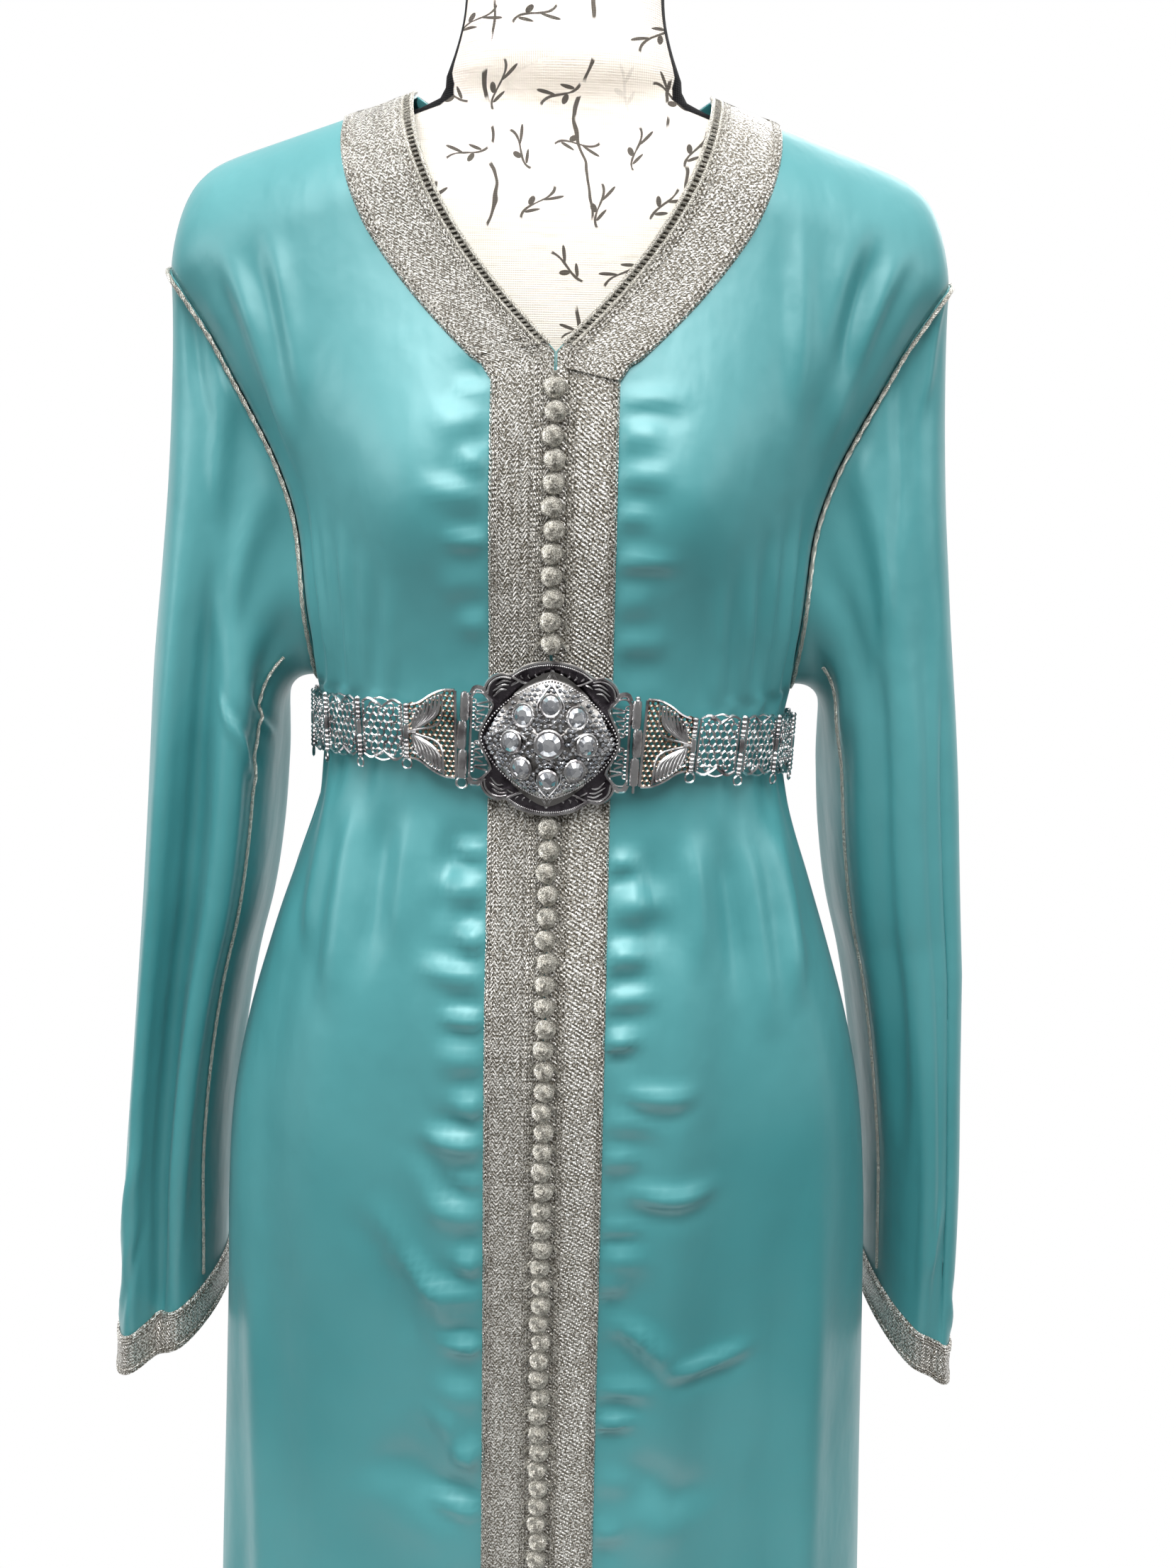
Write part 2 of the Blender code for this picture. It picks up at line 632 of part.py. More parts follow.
def build_sleeves(collection):
    """Sleeves, cuff bands, the cords round the armholes and the cords down the sleeve seams."""
    turn = np.arange(SLEEVE_COLUMNS) * 2 * math.pi / SLEEVE_COLUMNS
    radius = 0.0011
    for side, word in ((-1, "left"), (1, "right")):
        grid = sleeve_grid(side)
        cloth_wall(f"sleeve_{word}", grid, collection, closed=True, flip=side < 0)
        normals = side * grid_normals(grid, closed=True)
        cuff = (grid + normals * SEAM)[CUFF_ROW:]
        cloth_wall(f"cuff_band_{word}", cuff, collection, closed=True, flip=side < 0,
                   finish_name="braid", trim=True)
        body = np.stack((np.full_like(turn, side * 0.9), -0.45 * np.sin(turn),
                         0.3 * np.clip(np.cos(turn), 0.0, 1.0)), axis=-1)
        body /= np.linalg.norm(body, axis=-1, keepdims=True)
        away = body + normals[0]
        spread = np.linalg.norm(away, axis=-1, keepdims=True)
        reach = radius / np.maximum(spread / 2, 0.40) + 0.0012
        tube(f"armhole_cord_{word}", grid[0] + away / spread * reach, radius, collection, "cord", closed=True)
        seam_column = 8
        seam = (grid + normals * 0.0016)[2:CUFF_ROW, seam_column]
        tube(f"sleeve_cord_{word}", seam, 0.0010, collection, "cord")


def belt_path():
    """Closely spaced points of the belt's line round the waist, from the middle of the front."""
    angle = np.linspace(0.0, 2 * math.pi, 1441)
    power = 2 / BELT_ROUNDNESS
    x = BELT_HALF * np.sign(np.sin(angle)) * np.abs(np.sin(angle)) ** power
    reach = np.where(np.cos(angle) > 0, BELT_FRONT, BELT_BACK)
    y = -reach * np.sign(np.cos(angle)) * np.abs(np.cos(angle)) ** power
    bow = BELT_BOW * (np.hypot(y, BELT_BOW_REACH) - BELT_BOW_REACH)
    z = BELT_Z - BELT_FALL_BACK * y + bow - BELT_FALL_RIGHT * x
    points = np.stack((x, y, z), axis=-1)
    steps = np.linalg.norm(np.diff(points, axis=0), axis=1)
    return points, np.concatenate(([0.0], np.cumsum(steps)))


def belt_frame(start, end):
    """Matrix of a belt piece: X along the belt, -Y away from the waist, at the middle of its run."""
    along_x = Vector(end - start).normalized()
    inward = Vector((0.0, 0.0, 1.0)).cross(along_x).normalized()
    up = along_x.cross(inward)
    middle = Vector((start + end) / 2)
    turn = Matrix((along_x, inward, up)).transposed()
    return Matrix.Translation(middle) @ turn.to_4x4()


def link_mesh(length, tall, low, openings, collection):
    """A pierced link: a plate that may narrow from its start to its end, with a barrel there."""
    start = -length / 2 + 0.0029
    end = length / 2 - 0.0010
    middle = (start + end) / 2
    edge = [(start, -tall / 2), (middle, -(tall + low) / 4 + 0.0012), (end, -low / 2), (end, low / 2),
            (middle, (tall + low) / 4 - 0.0012), (start, tall / 2), (start - 0.0004, 0.0)]
    holes = [oval(*opening, 6) for opening in openings]
    plate = flat_plate("link_plate", [edge] + holes, PLATE, collection, "belt_metal")
    barrel = cylinder("link_barrel", 0.0022, low, (length / 2, 0.0, 0.0), collection, "belt_metal", 6)
    return joined(plate, barrel)


def mirrored(mesh):
    """The same mesh turned end for end, with its faces still pointing out."""
    other = mesh.copy()
    other.transform(Matrix.Scale(-1.0, 4, (1.0, 0.0, 0.0)))
    other.flip_normals()
    return other


def build_belt(collection):
    """Buckle in the middle of the front, wedges beside it and pierced links all round the waist."""
    points, run = belt_path()
    start = float(np.interp(HINGE_X, points[:400, 0], run[:400]))
    total = run[-1]
    wedge_end = start + WEDGE_LENGTH
    count = int(round((total - 2 * wedge_end) / LINK_PITCH))
    stations = np.linspace(wedge_end, total - wedge_end, count + 1)
    stations = np.concatenate(([start], stations, [total - start]))
    corners = np.stack([np.interp(stations, run, points[:, axis]) for axis in range(3)], axis=-1)
    wedge_length = float(np.linalg.norm(corners[1] - corners[0]))
    link_length = float(np.linalg.norm(corners[3] - corners[2]))
    wedge = link_mesh(wedge_length, 0.046, 0.028,
                      (((-0.004, 0.0125), 0.0040, 0.0046), ((-0.004, -0.0125), 0.0040, 0.0046),
                       ((0.0035, 0.0), 0.0046, 0.0040)), collection)
    link = link_mesh(link_length, LINK_HEIGHT, LINK_HEIGHT,
                     (((0.0008, 0.0072), 0.0058, 0.0036), ((0.0008, -0.0072), 0.0058, 0.0036)), collection)
    place("belt_wedge_right", wedge, "belt_metal", collection, belt_frame(corners[0], corners[1]))
    place("belt_wedge_left", mirrored(wedge), "belt_metal", collection, belt_frame(corners[-2], corners[-1]))
    for number in range(count):
        matrix = belt_frame(corners[number + 1], corners[number + 2])
        if number == count - 1:
            link = link_without_barrel(link_length, collection)
        place(f"belt_link_{number + 1:02d}", link, "belt_metal", collection, matrix)
    build_buckle(corners[0], corners[-1], collection)


def link_without_barrel(length, collection):
    """The link that meets the left wedge, whose own barrel joins them."""
    half = length / 2
    edge = [(-half + 0.0029, -0.016), (half - 0.0029, -0.016), (half - 0.0029, 0.016), (-half + 0.0029, 0.016)]
    holes = [oval((0.0, 0.0072), 0.0052, 0.0036, 6), oval((0.0, -0.0072), 0.0052, 0.0036, 6)]
    plate = flat_plate("last_link", [edge] + holes, PLATE, collection, "belt_metal")
    mesh = plate.data
    bpy.data.objects.remove(plate, do_unlink=True)
    return mesh


def build_buckle(right, left, collection):
    """Medallion, its dome with nine large stones, the side plates and the two hinge barrels."""
    frame = belt_frame(left, right)
    for word, side in (("left", -1), ("right", 1)):
        reach = side * float(np.linalg.norm(right - left)) / 2
        barrel = cylinder(f"buckle_hinge_{word}", 0.0030, 0.044, (0.0, 0.0, 0.0), collection, "belt_metal", 10)
        barrel.matrix_world = frame @ Matrix.Translation((reach - side * 0.0012, 0.0, 0.0))
        inner, outer = 0.0365, abs(reach) - 0.0046
        edge = [(side * inner, -0.019), (side * outer, -0.016), (side * outer, 0.016), (side * inner, 0.019)]
        edge = edge if side > 0 else edge[::-1]
        plate = flat_plate(f"buckle_side_{word}", [edge], PLATE, collection, "belt_metal")
        plate.matrix_world = frame
    medallion = []
    for number in range(48):
        angle = 2 * math.pi * number / 48
        lobe = 0.0016 * math.cos(12 * angle)
        medallion.append(((0.0345 + lobe) * math.cos(angle), (0.0390 + lobe) * math.sin(angle)))
    back = flat_plate("buckle_medallion", [medallion], 0.0030, collection, "belt_metal")
    back.matrix_world = frame @ Matrix.Translation((0.0, -0.0002, 0.0))
    rings, points = 5, 24
    angle = np.arange(points) * 2 * math.pi / points
    reach = dome_reach(angle)
    share = np.concatenate(((1.0,), np.linspace(1.0, 0.0, rings + 1)[:-1]))
    x = share[:, None] * (reach * np.cos(angle))[None, :]
    z = share[:, None] * (reach * np.sin(angle))[None, :]
    height = np.concatenate(((0.0,), dome_height(share[1:])))
    y = np.broadcast_to(-height[:, None], x.shape)
    grid = np.stack((x, y, z), axis=-1)
    mesh = surface_mesh("buckle_dome", grid, closed=True)
    closing = bmesh.new()
    closing.from_mesh(mesh)
    bmesh.ops.holes_fill(closing, edges=[edge for edge in closing.edges if edge.is_boundary])
    bmesh.ops.recalc_face_normals(closing, faces=closing.faces)
    closing.to_mesh(mesh)
    closing.free()
    front_face = -0.0017
    place("buckle_dome", mesh, "belt_metal", collection,
          frame @ Matrix.Translation((0.0, front_face - SEAM, 0.0)))
    stones = [("middle", 0.0, 0.0, 0.0055, 0.0055)]
    for number in range(8):
        bearing = number * math.pi / 4
        stones.append((f"{number + 1}", 0.0190 * math.cos(bearing), 0.0190 * math.sin(bearing), 0.0036, 0.0036))
    for word, across, up, half_width, half_height in stones:
        stone = bpy.data.meshes.new(f"buckle_stone_{word}")
        shape = bmesh.new()
        bmesh.ops.create_cone(shape, cap_ends=True, segments=8, radius1=half_width, radius2=half_height * 0.6,
                              depth=0.0022)
        shape.to_mesh(stone)
        shape.free()
        share_here = math.hypot(across, up) / float(dome_reach(math.atan2(up, across)))
        tilt = Vector((across, 0.0, up)) * 14.0 + Vector((0.0, -1.0, 0.0))
        away = tilt.normalized()
        turn = away.to_track_quat("Z", "Y").to_matrix().to_4x4()
        seat = Vector((across, front_face - SEAM - float(dome_height(np.array(share_here))), up))
        matrix = frame @ Matrix.Translation(seat + away * (0.0017 if across or up else 0.0013)) @ turn
        place(f"buckle_stone_{word}", stone, "stone", collection, matrix)


def dome_reach(angle):
    """How far the dome's edge lies from its middle: a rounded lozenge."""
    return 0.0350 / (np.abs(np.cos(angle)) ** 1.5 + np.abs(np.sin(angle)) ** 1.5) ** (1 / 1.5)


def dome_height(share):
    """Height of the buckle's dome over the medallion: a thin rim that swells to the middle."""
    return 0.0010 + 0.0105 * np.clip(1.0 - share ** 2, 0.0, 1.0) ** 0.8


def main():
    """Build every piece of the kaftan, its belt, the form and the stand."""
    clear_scene()
    collection = bpy.data.collections.new("kaftan_on_form")
    bpy.context.scene.collection.children.link(collection)
    build_form(collection)
    build_fronts(collection)
    build_back(collection)
    build_sleeves(collection)
    build_belt(collection)


main()
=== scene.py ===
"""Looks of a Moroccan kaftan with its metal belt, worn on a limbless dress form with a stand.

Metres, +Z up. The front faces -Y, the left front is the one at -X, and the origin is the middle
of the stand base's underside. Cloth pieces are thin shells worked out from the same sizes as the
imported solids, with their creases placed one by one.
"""
import logging
import math
from dataclasses import dataclass
from enum import Enum

import bmesh
import bpy
import numpy as np
from mathutils import Matrix, Vector


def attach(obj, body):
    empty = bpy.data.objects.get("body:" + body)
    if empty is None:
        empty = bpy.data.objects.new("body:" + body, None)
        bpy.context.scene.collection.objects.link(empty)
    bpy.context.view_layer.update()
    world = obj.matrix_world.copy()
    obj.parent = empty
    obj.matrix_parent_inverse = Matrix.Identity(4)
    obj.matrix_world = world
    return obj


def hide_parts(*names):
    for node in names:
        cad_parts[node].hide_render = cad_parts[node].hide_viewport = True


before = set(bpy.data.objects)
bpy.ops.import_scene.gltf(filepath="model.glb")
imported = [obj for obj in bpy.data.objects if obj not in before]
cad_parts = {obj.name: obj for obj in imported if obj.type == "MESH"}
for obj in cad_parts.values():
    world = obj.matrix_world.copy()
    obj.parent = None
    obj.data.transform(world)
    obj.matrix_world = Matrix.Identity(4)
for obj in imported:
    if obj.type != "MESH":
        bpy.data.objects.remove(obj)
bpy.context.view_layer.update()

LOG = logging.getLogger("kaftan")
Array = np.ndarray
Table = dict[str, Array]
Piece = bpy.types.Object

ROOT = "root"
UPWARD = np.array((0.0, 0.0, 1.0))
OUTWARD = np.array((0.0, -1.0, 0.0))
SMALLEST = 1e-12

# Driving sizes of the cloth, as in the solids
CLOTH = 0.0013
SEAM = 0.0003
TRIM = 0.0013
UNDERARM_Z = 1.160
NECK_POINT = (0.076, 1.465)
SHOULDER_TIP = (0.204, 1.376)
SHOULDER_LIFT = 0.045
SHOULDER_ROUNDING = 0.050
V_POINT_Z = 1.337
V_SHARE = 0.59
BACK_BAND_SHARE = 0.878
BACK_NECK_DROP = 0.018
ROUNDNESS = 2.4
BUTTON_COLUMN = 0.0130
FRONT_BAND = 0.0630
NECK_BAND = 0.0385
BUST_X = 0.070
BUST_Z = 1.262
BUST_SPREAD = (0.042, 0.050)
BUST_REACH = 0.020
HEM_Z = 0.030
FOLD_RAMP = 0.10
GATHER = 0.0014
GATHER_Z = 1.140
GATHER_SPREAD = 0.055
SEAM_DEPTH = 0.0004
SHOULDER_DEPTH = 0.0008
SHOULDER_CALM = 0.012
EDGE_CALM = 0.010
BELT_CALM = 0.024
BELT_PRESS = 0.85
CLOTH_SHARP = 85.0

# Cords of a braid, as shares of its width
CORD_PLACES = (0.035, 0.090, 0.145, 0.855, 0.910, 0.965)
CORD_SPREAD = 0.017

# Driving sizes of the belt
BELT_Z = 1.133
BELT_FALL_BACK = 0.105
BELT_BOW = 0.045
BELT_BOW_REACH = 0.050
BELT_FALL_RIGHT = 0.030
BELT_HALF = 0.1335
BELT_FRONT = 0.0985
BELT_BACK = 0.0900
BELT_ROUNDNESS = 2.2
HINGE_X = 0.0450
WEDGE_LENGTH = 0.0300
LINK_PITCH = 0.0300
LINK_HEIGHT = 0.0320


def table(names: tuple[str, ...], *rows: tuple[float, ...]) -> Table:
    """Named columns of a short table, each as an array."""
    return dict(zip(names, np.array(rows, dtype=float).T))


SECTIONS = table(
    ("height", "half_width", "front", "back"),
    (0.030, 0.215, 0.150, 0.165),
    (0.300, 0.208, 0.128, 0.150),
    (0.580, 0.201, 0.110, 0.135),
    (0.700, 0.196, 0.106, 0.130),
    (0.800, 0.192, 0.106, 0.126),
    (0.860, 0.189, 0.108, 0.123),
    (0.930, 0.181, 0.110, 0.120),
    (0.970, 0.172, 0.110, 0.115),
    (1.010, 0.160, 0.107, 0.108),
    (1.050, 0.147, 0.099, 0.095),
    (1.100, 0.131, 0.090, 0.082),
    (1.135, 0.126, 0.088, 0.079),
    (1.170, 0.132, 0.087, 0.080),
    (1.200, 0.138, 0.089, 0.084),
    (1.250, 0.1425, 0.092, 0.089),
    (1.278, 0.152, 0.092, 0.091),
    (1.300, 0.163, 0.091, 0.091),
    (1.320, 0.1745, 0.088, 0.090),
    (1.340, 0.1865, 0.083, 0.087),
    (1.358, 0.200, 0.077, 0.083),
    (1.376, 0.214, 0.071, 0.078),
    (1.420, 0.225, 0.060, 0.067),
    (1.465, 0.235, 0.050, 0.058),
)

ARMHOLE = table(
    ("height", "edge"),
    (1.160, 0.1297),
    (1.174, 0.1310),
    (1.190, 0.1325),
    (1.220, 0.1345),
    (1.250, 0.138),
    (1.278, 0.147),
    (1.300, 0.1575),
    (1.320, 0.168),
    (1.340, 0.1785),
    (1.358, 0.190),
    (1.368, 0.197),
    (1.376, 0.204),
)

SLEEVE_RINGS = table(
    ("row", "outer_z", "inner_z", "outer_x", "inner_x", "half_depth", "valley", "merge"),
    (0, 1.3755, 1.1604, 0.2045, 0.1305, 0.034, 0.000, 0.00),
    (1, 1.345, 1.1600, 0.2055, 0.1400, 0.041, 0.000, 0.40),
    (2, 1.305, 1.1560, 0.2080, 0.1480, 0.049, 0.004, 0.75),
    (3, 1.262, 1.1460, 0.2115, 0.1525, 0.057, 0.011, 0.95),
    (4, 1.215, 1.1270, 0.2165, 0.1550, 0.063, 0.018, 1.00),
    (5, 1.160, 1.1000, 0.2220, 0.1580, 0.068, 0.022, 1.00),
    (6, 1.105, 1.0650, 0.2265, 0.1620, 0.071, 0.025, 1.00),
    (7, 1.050, 1.0250, 0.2310, 0.1690, 0.073, 0.026, 1.00),
    (8, 0.995, 0.9830, 0.2360, 0.1800, 0.073, 0.026, 1.00),
    (9, 0.935, 0.9350, 0.2420, 0.1890, 0.072, 0.025, 1.00),
    (10, 0.870, 0.8800, 0.2490, 0.1955, 0.070, 0.023, 1.00),
    (11, 0.812, 0.8300, 0.2540, 0.1985, 0.067, 0.021, 1.00),
    (12, 0.763, 0.7930, 0.2580, 0.2005, 0.064, 0.019, 1.00),
    (13, 0.7355, 0.7655, 0.2600, 0.2015, 0.063, 0.018, 1.00),
)
CUFF_ROW = 12.0

FOLDS = table(
    ("side", "bearing", "top", "bottom", "depth", "spread"),
    (-1, 36, 1.06, 0.12, -0.0050, 6.0),
    (-1, 52, 1.08, 0.03, 0.0050, 7.0),
    (-1, 68, 1.10, 0.25, -0.0045, 6.0),
    (1, 33, 1.04, 0.05, 0.0045, 6.0),
    (1, 47, 1.08, 0.30, -0.0050, 6.0),
    (1, 63, 1.10, 0.03, 0.0050, 7.0),
    (-1, 118, 1.08, 0.03, -0.0070, 8.0),
    (-1, 136, 1.06, 0.10, 0.0070, 8.0),
    (-1, 154, 1.04, 0.03, -0.0070, 7.0),
    (1, 112, 1.08, 0.08, 0.0060, 8.0),
    (1, 130, 1.07, 0.03, -0.0075, 8.0),
    (1, 148, 1.05, 0.12, 0.0070, 7.0),
    (1, 166, 1.04, 0.03, -0.0060, 7.0),
)

FORM = table(
    ("height", "half_width", "front", "back"),
    (0.780, 0.120, 0.070, 0.080),
    (0.800, 0.148, 0.086, 0.096),
    (0.850, 0.164, 0.096, 0.106),
    (0.920, 0.164, 0.098, 0.106),
    (0.980, 0.153, 0.095, 0.098),
    (1.040, 0.134, 0.088, 0.084),
    (1.095, 0.120, 0.081, 0.073),
    (1.140, 0.116, 0.078, 0.069),
    (1.190, 0.121, 0.079, 0.072),
    (1.240, 0.128, 0.083, 0.078),
    (1.285, 0.142, 0.083, 0.081),
    (1.330, 0.166, 0.077, 0.0863),
    (1.365, 0.186, 0.068, 0.072),
    (1.395, 0.193, 0.057, 0.063),
    (1.412, 0.188, 0.049, 0.056),
    (1.4250, 0.172, 0.040, 0.036),
    (1.4366, 0.144, 0.031, 0.026),
    (1.4480, 0.109, 0.028, 0.023),
    (1.4604, 0.068, 0.029, 0.023),
    (1.4750, 0.060, 0.042, 0.040),
    (1.4950, 0.053, 0.047, 0.044),
    (1.5450, 0.0505, 0.050, 0.046),
)


class Side(Enum):
    """The side of the garment, with the sign of its X."""

    LEFT = -1
    RIGHT = 1

    @property
    def word(self) -> str:
        """The side's name as nodes spell it."""
        return self.name.lower()


def along(rows: Table, name: str, at: Array, key: str = "height") -> Array:
    """Read a named column at any place, on a smooth curve through the rows of a table.

    Between two rows the value is the cubic with the rows' values and their mean slopes.

    Args:
        rows: the table.
        name: the column that is read.
        at: the places, in the unit of the key column.
        key: the column that rises from row to row.

    Returns:
        The values at those places.
    """
    level, value = rows[key], rows[name]
    slope = np.gradient(value, level)
    low = np.clip(np.searchsorted(level, at) - 1, 0, len(level) - 2)
    span = level[low + 1] - level[low]
    t = np.clip((at - level[low]) / span, 0.0, 1.0)
    rise = t * t * (3.0 - 2.0 * t)
    start = t * (1.0 - t) ** 2 * span * slope[low]
    end = t * t * (t - 1.0) * span * slope[low + 1]
    return value[low] * (1.0 - rise) + value[low + 1] * rise + start + end


def smooth(low: float, high: float, value: Array) -> Array:
    """Rise from 0 to 1 between two values, as 3t^2 - 2t^3.

    Args:
        low: where the rise starts.
        high: where it ends.
        value: the places.

    Returns:
        The height of the rise at each place.
    """
    t = np.clip((value - low) / (high - low), 0.0, 1.0)
    return t * t * (3.0 - 2.0 * t)


def grid_normals(grid: Array, ring: bool = False) -> Array:
    """Unit normals of a grid: the step across crossed with the step along the rows.

    Args:
        grid: points by row and column.
        ring: whether the last column joins the first.

    Returns:
        One unit vector for each point.
    """
    if ring:
        wide = np.concatenate((grid[:, -1:], grid, grid[:, :1]), axis=1)
        across = (wide[:, 2:] - wide[:, :-2]) / 2
    else:
        across = np.gradient(grid, axis=1)
    normal = np.cross(across, np.gradient(grid, axis=0))
    return normal / np.maximum(np.linalg.norm(normal, axis=-1, keepdims=True), SMALLEST)


def run_lengths(grid: Array, axis: int) -> Array:
    """Distance walked along an axis of a grid, from 0 at its start."""
    step = np.linalg.norm(np.diff(grid, axis=axis), axis=-1)
    start = np.zeros_like(np.take(step, [0], axis=axis))
    return np.concatenate((start, np.cumsum(step, axis=axis)), axis=axis)


def pattern_of(grid: Array, ring: bool = False) -> Array:
    """Pattern coordinates in metres: walked across the middle row and along the middle column.

    Args:
        grid: points by row and column.
        ring: whether one more column, for the seam, is needed.

    Returns:
        Two numbers for each point of the grid, and for the seam's second column on a ring.
    """
    wide = np.concatenate((grid, grid[:, :1]), axis=1) if ring else grid
    across = run_lengths(wide[wide.shape[0] // 2][None], 1)[0]
    down = run_lengths(wide[:, wide.shape[1] // 2][:, None], 0)[:, 0]
    return np.stack(np.broadcast_arrays(across[None, :], down[:, None]), axis=-1)


def corner_values(net: Array) -> Array:
    """Values of a net at the four corners of each of its quads."""
    corners = (net[:-1, :-1], net[:-1, 1:], net[1:, 1:], net[1:, :-1])
    return np.stack(corners, axis=2).reshape(-1, 4, *net.shape[2:])


def quads_of(rows: int, columns: int, ring: bool) -> Array:
    """Corner numbers of the quads between neighbouring points of a grid.

    Args:
        rows: how many rows the grid has.
        columns: how many columns it has.
        ring: whether the last column joins the first.

    Returns:
        Four point numbers for each quad.
    """
    index = np.arange(rows * columns).reshape(rows, columns)
    if ring:
        index = np.concatenate((index, index[:, :1]), axis=1)
    return corner_values(index)


def turns(count: int) -> Array:
    """Angles in radians that part a full turn evenly, from 0."""
    return np.arange(count) * 2 * math.pi / count


def flipped(points: tuple, side: int, up: int) -> list[tuple[float, float]]:
    """Places (x, z) turned over to another quarter by two signs.

    Args:
        points: the places.
        side: the sign that x takes.
        up: the sign that z takes.

    Returns:
        The turned places.
    """
    return [(side * x, up * z) for x, z in points]


class Shape:
    """Surfaces gathered from grids of points, then made into one mesh."""

    def __init__(self) -> None:
        """Start empty."""
        self.points: list[Array] = []
        self.quads: list[Array] = []
        self.patterns: list[Array] = []
        self.count = 0

    def surface(self, grid: Array, ring: bool = False, flip: bool = False) -> "Shape":
        """Add the quads between neighbouring points of a grid.

        Args:
            grid: points by row and column.
            ring: whether the last column joins the first.
            flip: whether the faces are turned round.

        Returns:
            The shape itself.
        """
        return self.gather(grid[None], grid, ring, flip)

    def copies(self, grid: Array, places: Array, ring: bool = True, flip: bool = False) -> "Shape":
        """Add one small surface at many places.

        A point p of copy n lands at turn_n p + shift_n, worked out for all copies at once.

        Args:
            grid: points by row and column of one copy.
            places: a 4 by 4 matrix for each copy.
            ring: whether the last column joins the first.
            flip: whether the faces are turned round.

        Returns:
            The shape itself.
        """
        turned = np.einsum("nij,rcj->nrci", places[:, :3, :3], grid) + places[:, None, None, :3, 3]
        return self.gather(turned, grid, ring, flip)

    def gather(self, points: Array, grid: Array, ring: bool, flip: bool) -> "Shape":
        """Keep the copies of a grid, each with the grid's quads and pattern.

        Args:
            points: the points of every copy, copy by copy.
            grid: the grid that they are copies of.
            ring: whether its last column joins its first.
            flip: whether the faces are turned round.

        Returns:
            The shape itself.
        """
        quads = quads_of(*grid.shape[:2], ring)
        spread = corner_values(pattern_of(grid, ring))
        if flip:
            quads, spread = quads[:, ::-1], spread[:, ::-1]
        size = grid.shape[0] * grid.shape[1]
        starts = self.count + np.arange(len(points)) * size
        self.points.append(points.reshape(-1, 3))
        self.quads.append((quads[None] + starts[:, None, None]).reshape(-1, 4))
        self.patterns.append(np.tile(spread, (len(points), 1, 1)))
        self.count += len(points) * size
        return self

    def make(self, name: str, finish: "Finish", *nodes: str, weld: bool = False,
             sharp: float = 50.0) -> Piece:
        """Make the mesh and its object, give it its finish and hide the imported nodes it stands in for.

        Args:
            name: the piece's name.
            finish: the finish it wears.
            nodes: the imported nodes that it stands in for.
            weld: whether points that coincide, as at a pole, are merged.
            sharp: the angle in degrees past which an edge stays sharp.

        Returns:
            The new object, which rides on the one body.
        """
        points = np.concatenate(self.points).astype(np.float32)
        quads = np.concatenate(self.quads).astype(np.int32)
        mesh = bpy.data.meshes.new(name)
        mesh.vertices.add(len(points))
        mesh.vertices.foreach_set("co", points.ravel())
        mesh.loops.add(quads.size)
        mesh.loops.foreach_set("vertex_index", quads.ravel())
        mesh.polygons.add(len(quads))
        mesh.polygons.foreach_set("loop_start", np.arange(0, quads.size, 4, dtype=np.int32))
        layer = mesh.uv_layers.new(name="pattern")
        layer.data.foreach_set("uv", np.concatenate(self.patterns).astype(np.float32).ravel())
        mesh.update(calc_edges=True)
        if weld:
            merge_points(mesh)
        mesh.shade_smooth()
        mesh.set_sharp_from_angle(angle=math.radians(sharp))
        mesh.materials.append(finish.material())
        piece = bpy.data.objects.new(name, mesh)
        bpy.context.scene.collection.objects.link(piece)
        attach(piece, ROOT)
        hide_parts(*nodes)
        LOG.info("%s: %d faces", name, len(mesh.polygons))
        return piece


def merge_points(mesh: bpy.types.Mesh, distance: float = 2e-6) -> None:
    """Merge the points of a mesh that coincide, which closes its poles and seams."""
    work = bmesh.new()
    work.from_mesh(mesh)
    bmesh.ops.remove_doubles(work, verts=work.verts, dist=distance)
    bmesh.ops.dissolve_degenerate(work, edges=work.edges, dist=distance)
    work.to_mesh(mesh)
    work.free()


def add_wall(piece: Piece, thickness: float, outside: bool = False) -> None:
    """Give an open surface its thickness, on its inner side or on its outer side.

    Args:
        piece: the open piece.
        thickness: how thick it gets.
        outside: whether it grows outwards.
    """
    wall = piece.modifiers.new("wall", "SOLIDIFY")
    wall.thickness = thickness
    wall.offset = 1.0 if outside else -1.0


def carried(path: Array, profile: Array, reference: Array, closed: bool = False,
            scale: Array | None = None, caps: bool = True) -> Array:
    """Carry a profile along a path.

    Point (i, j) is path_i + side_i * profile_j0 + up_i * profile_j1, with side_i across the
    path and the reference, and up_i across the path and side_i.

    Args:
        path: points of the path.
        profile: points of the profile's closed outline, turning from side towards up.
        reference: one vector, or one for each point, that the profile's up leans to.
        closed: whether the path is a loop.
        scale: a scale of the profile for each point.
        caps: whether both ends are closed by rows that shrink to the path.

    Returns:
        A grid of rows along the path and columns round the profile.
    """
    if closed:
        wide = np.concatenate((path[-1:], path, path[:1]))
        ahead = wide[2:] - wide[:-2]
    else:
        ahead = np.gradient(path, axis=0)
    ahead = ahead / np.linalg.norm(ahead, axis=-1, keepdims=True)
    side = np.cross(ahead, np.broadcast_to(reference, path.shape))
    side = side / np.maximum(np.linalg.norm(side, axis=-1, keepdims=True), SMALLEST)
    up = np.cross(side, ahead)
    size = np.ones(len(path)) if scale is None else scale
    across = profile[None, :, 0, None] * size[:, None, None]
    above = profile[None, :, 1, None] * size[:, None, None]
    grid = path[:, None] + side[:, None] * across + up[:, None] * above
    if closed:
        return np.concatenate((grid, grid[:1]))
    if caps:
        first = np.broadcast_to(path[:1, None], grid[:1].shape)
        last = np.broadcast_to(path[-1:, None], grid[-1:].shape)
        grid = np.concatenate((first, grid, last))
    return grid


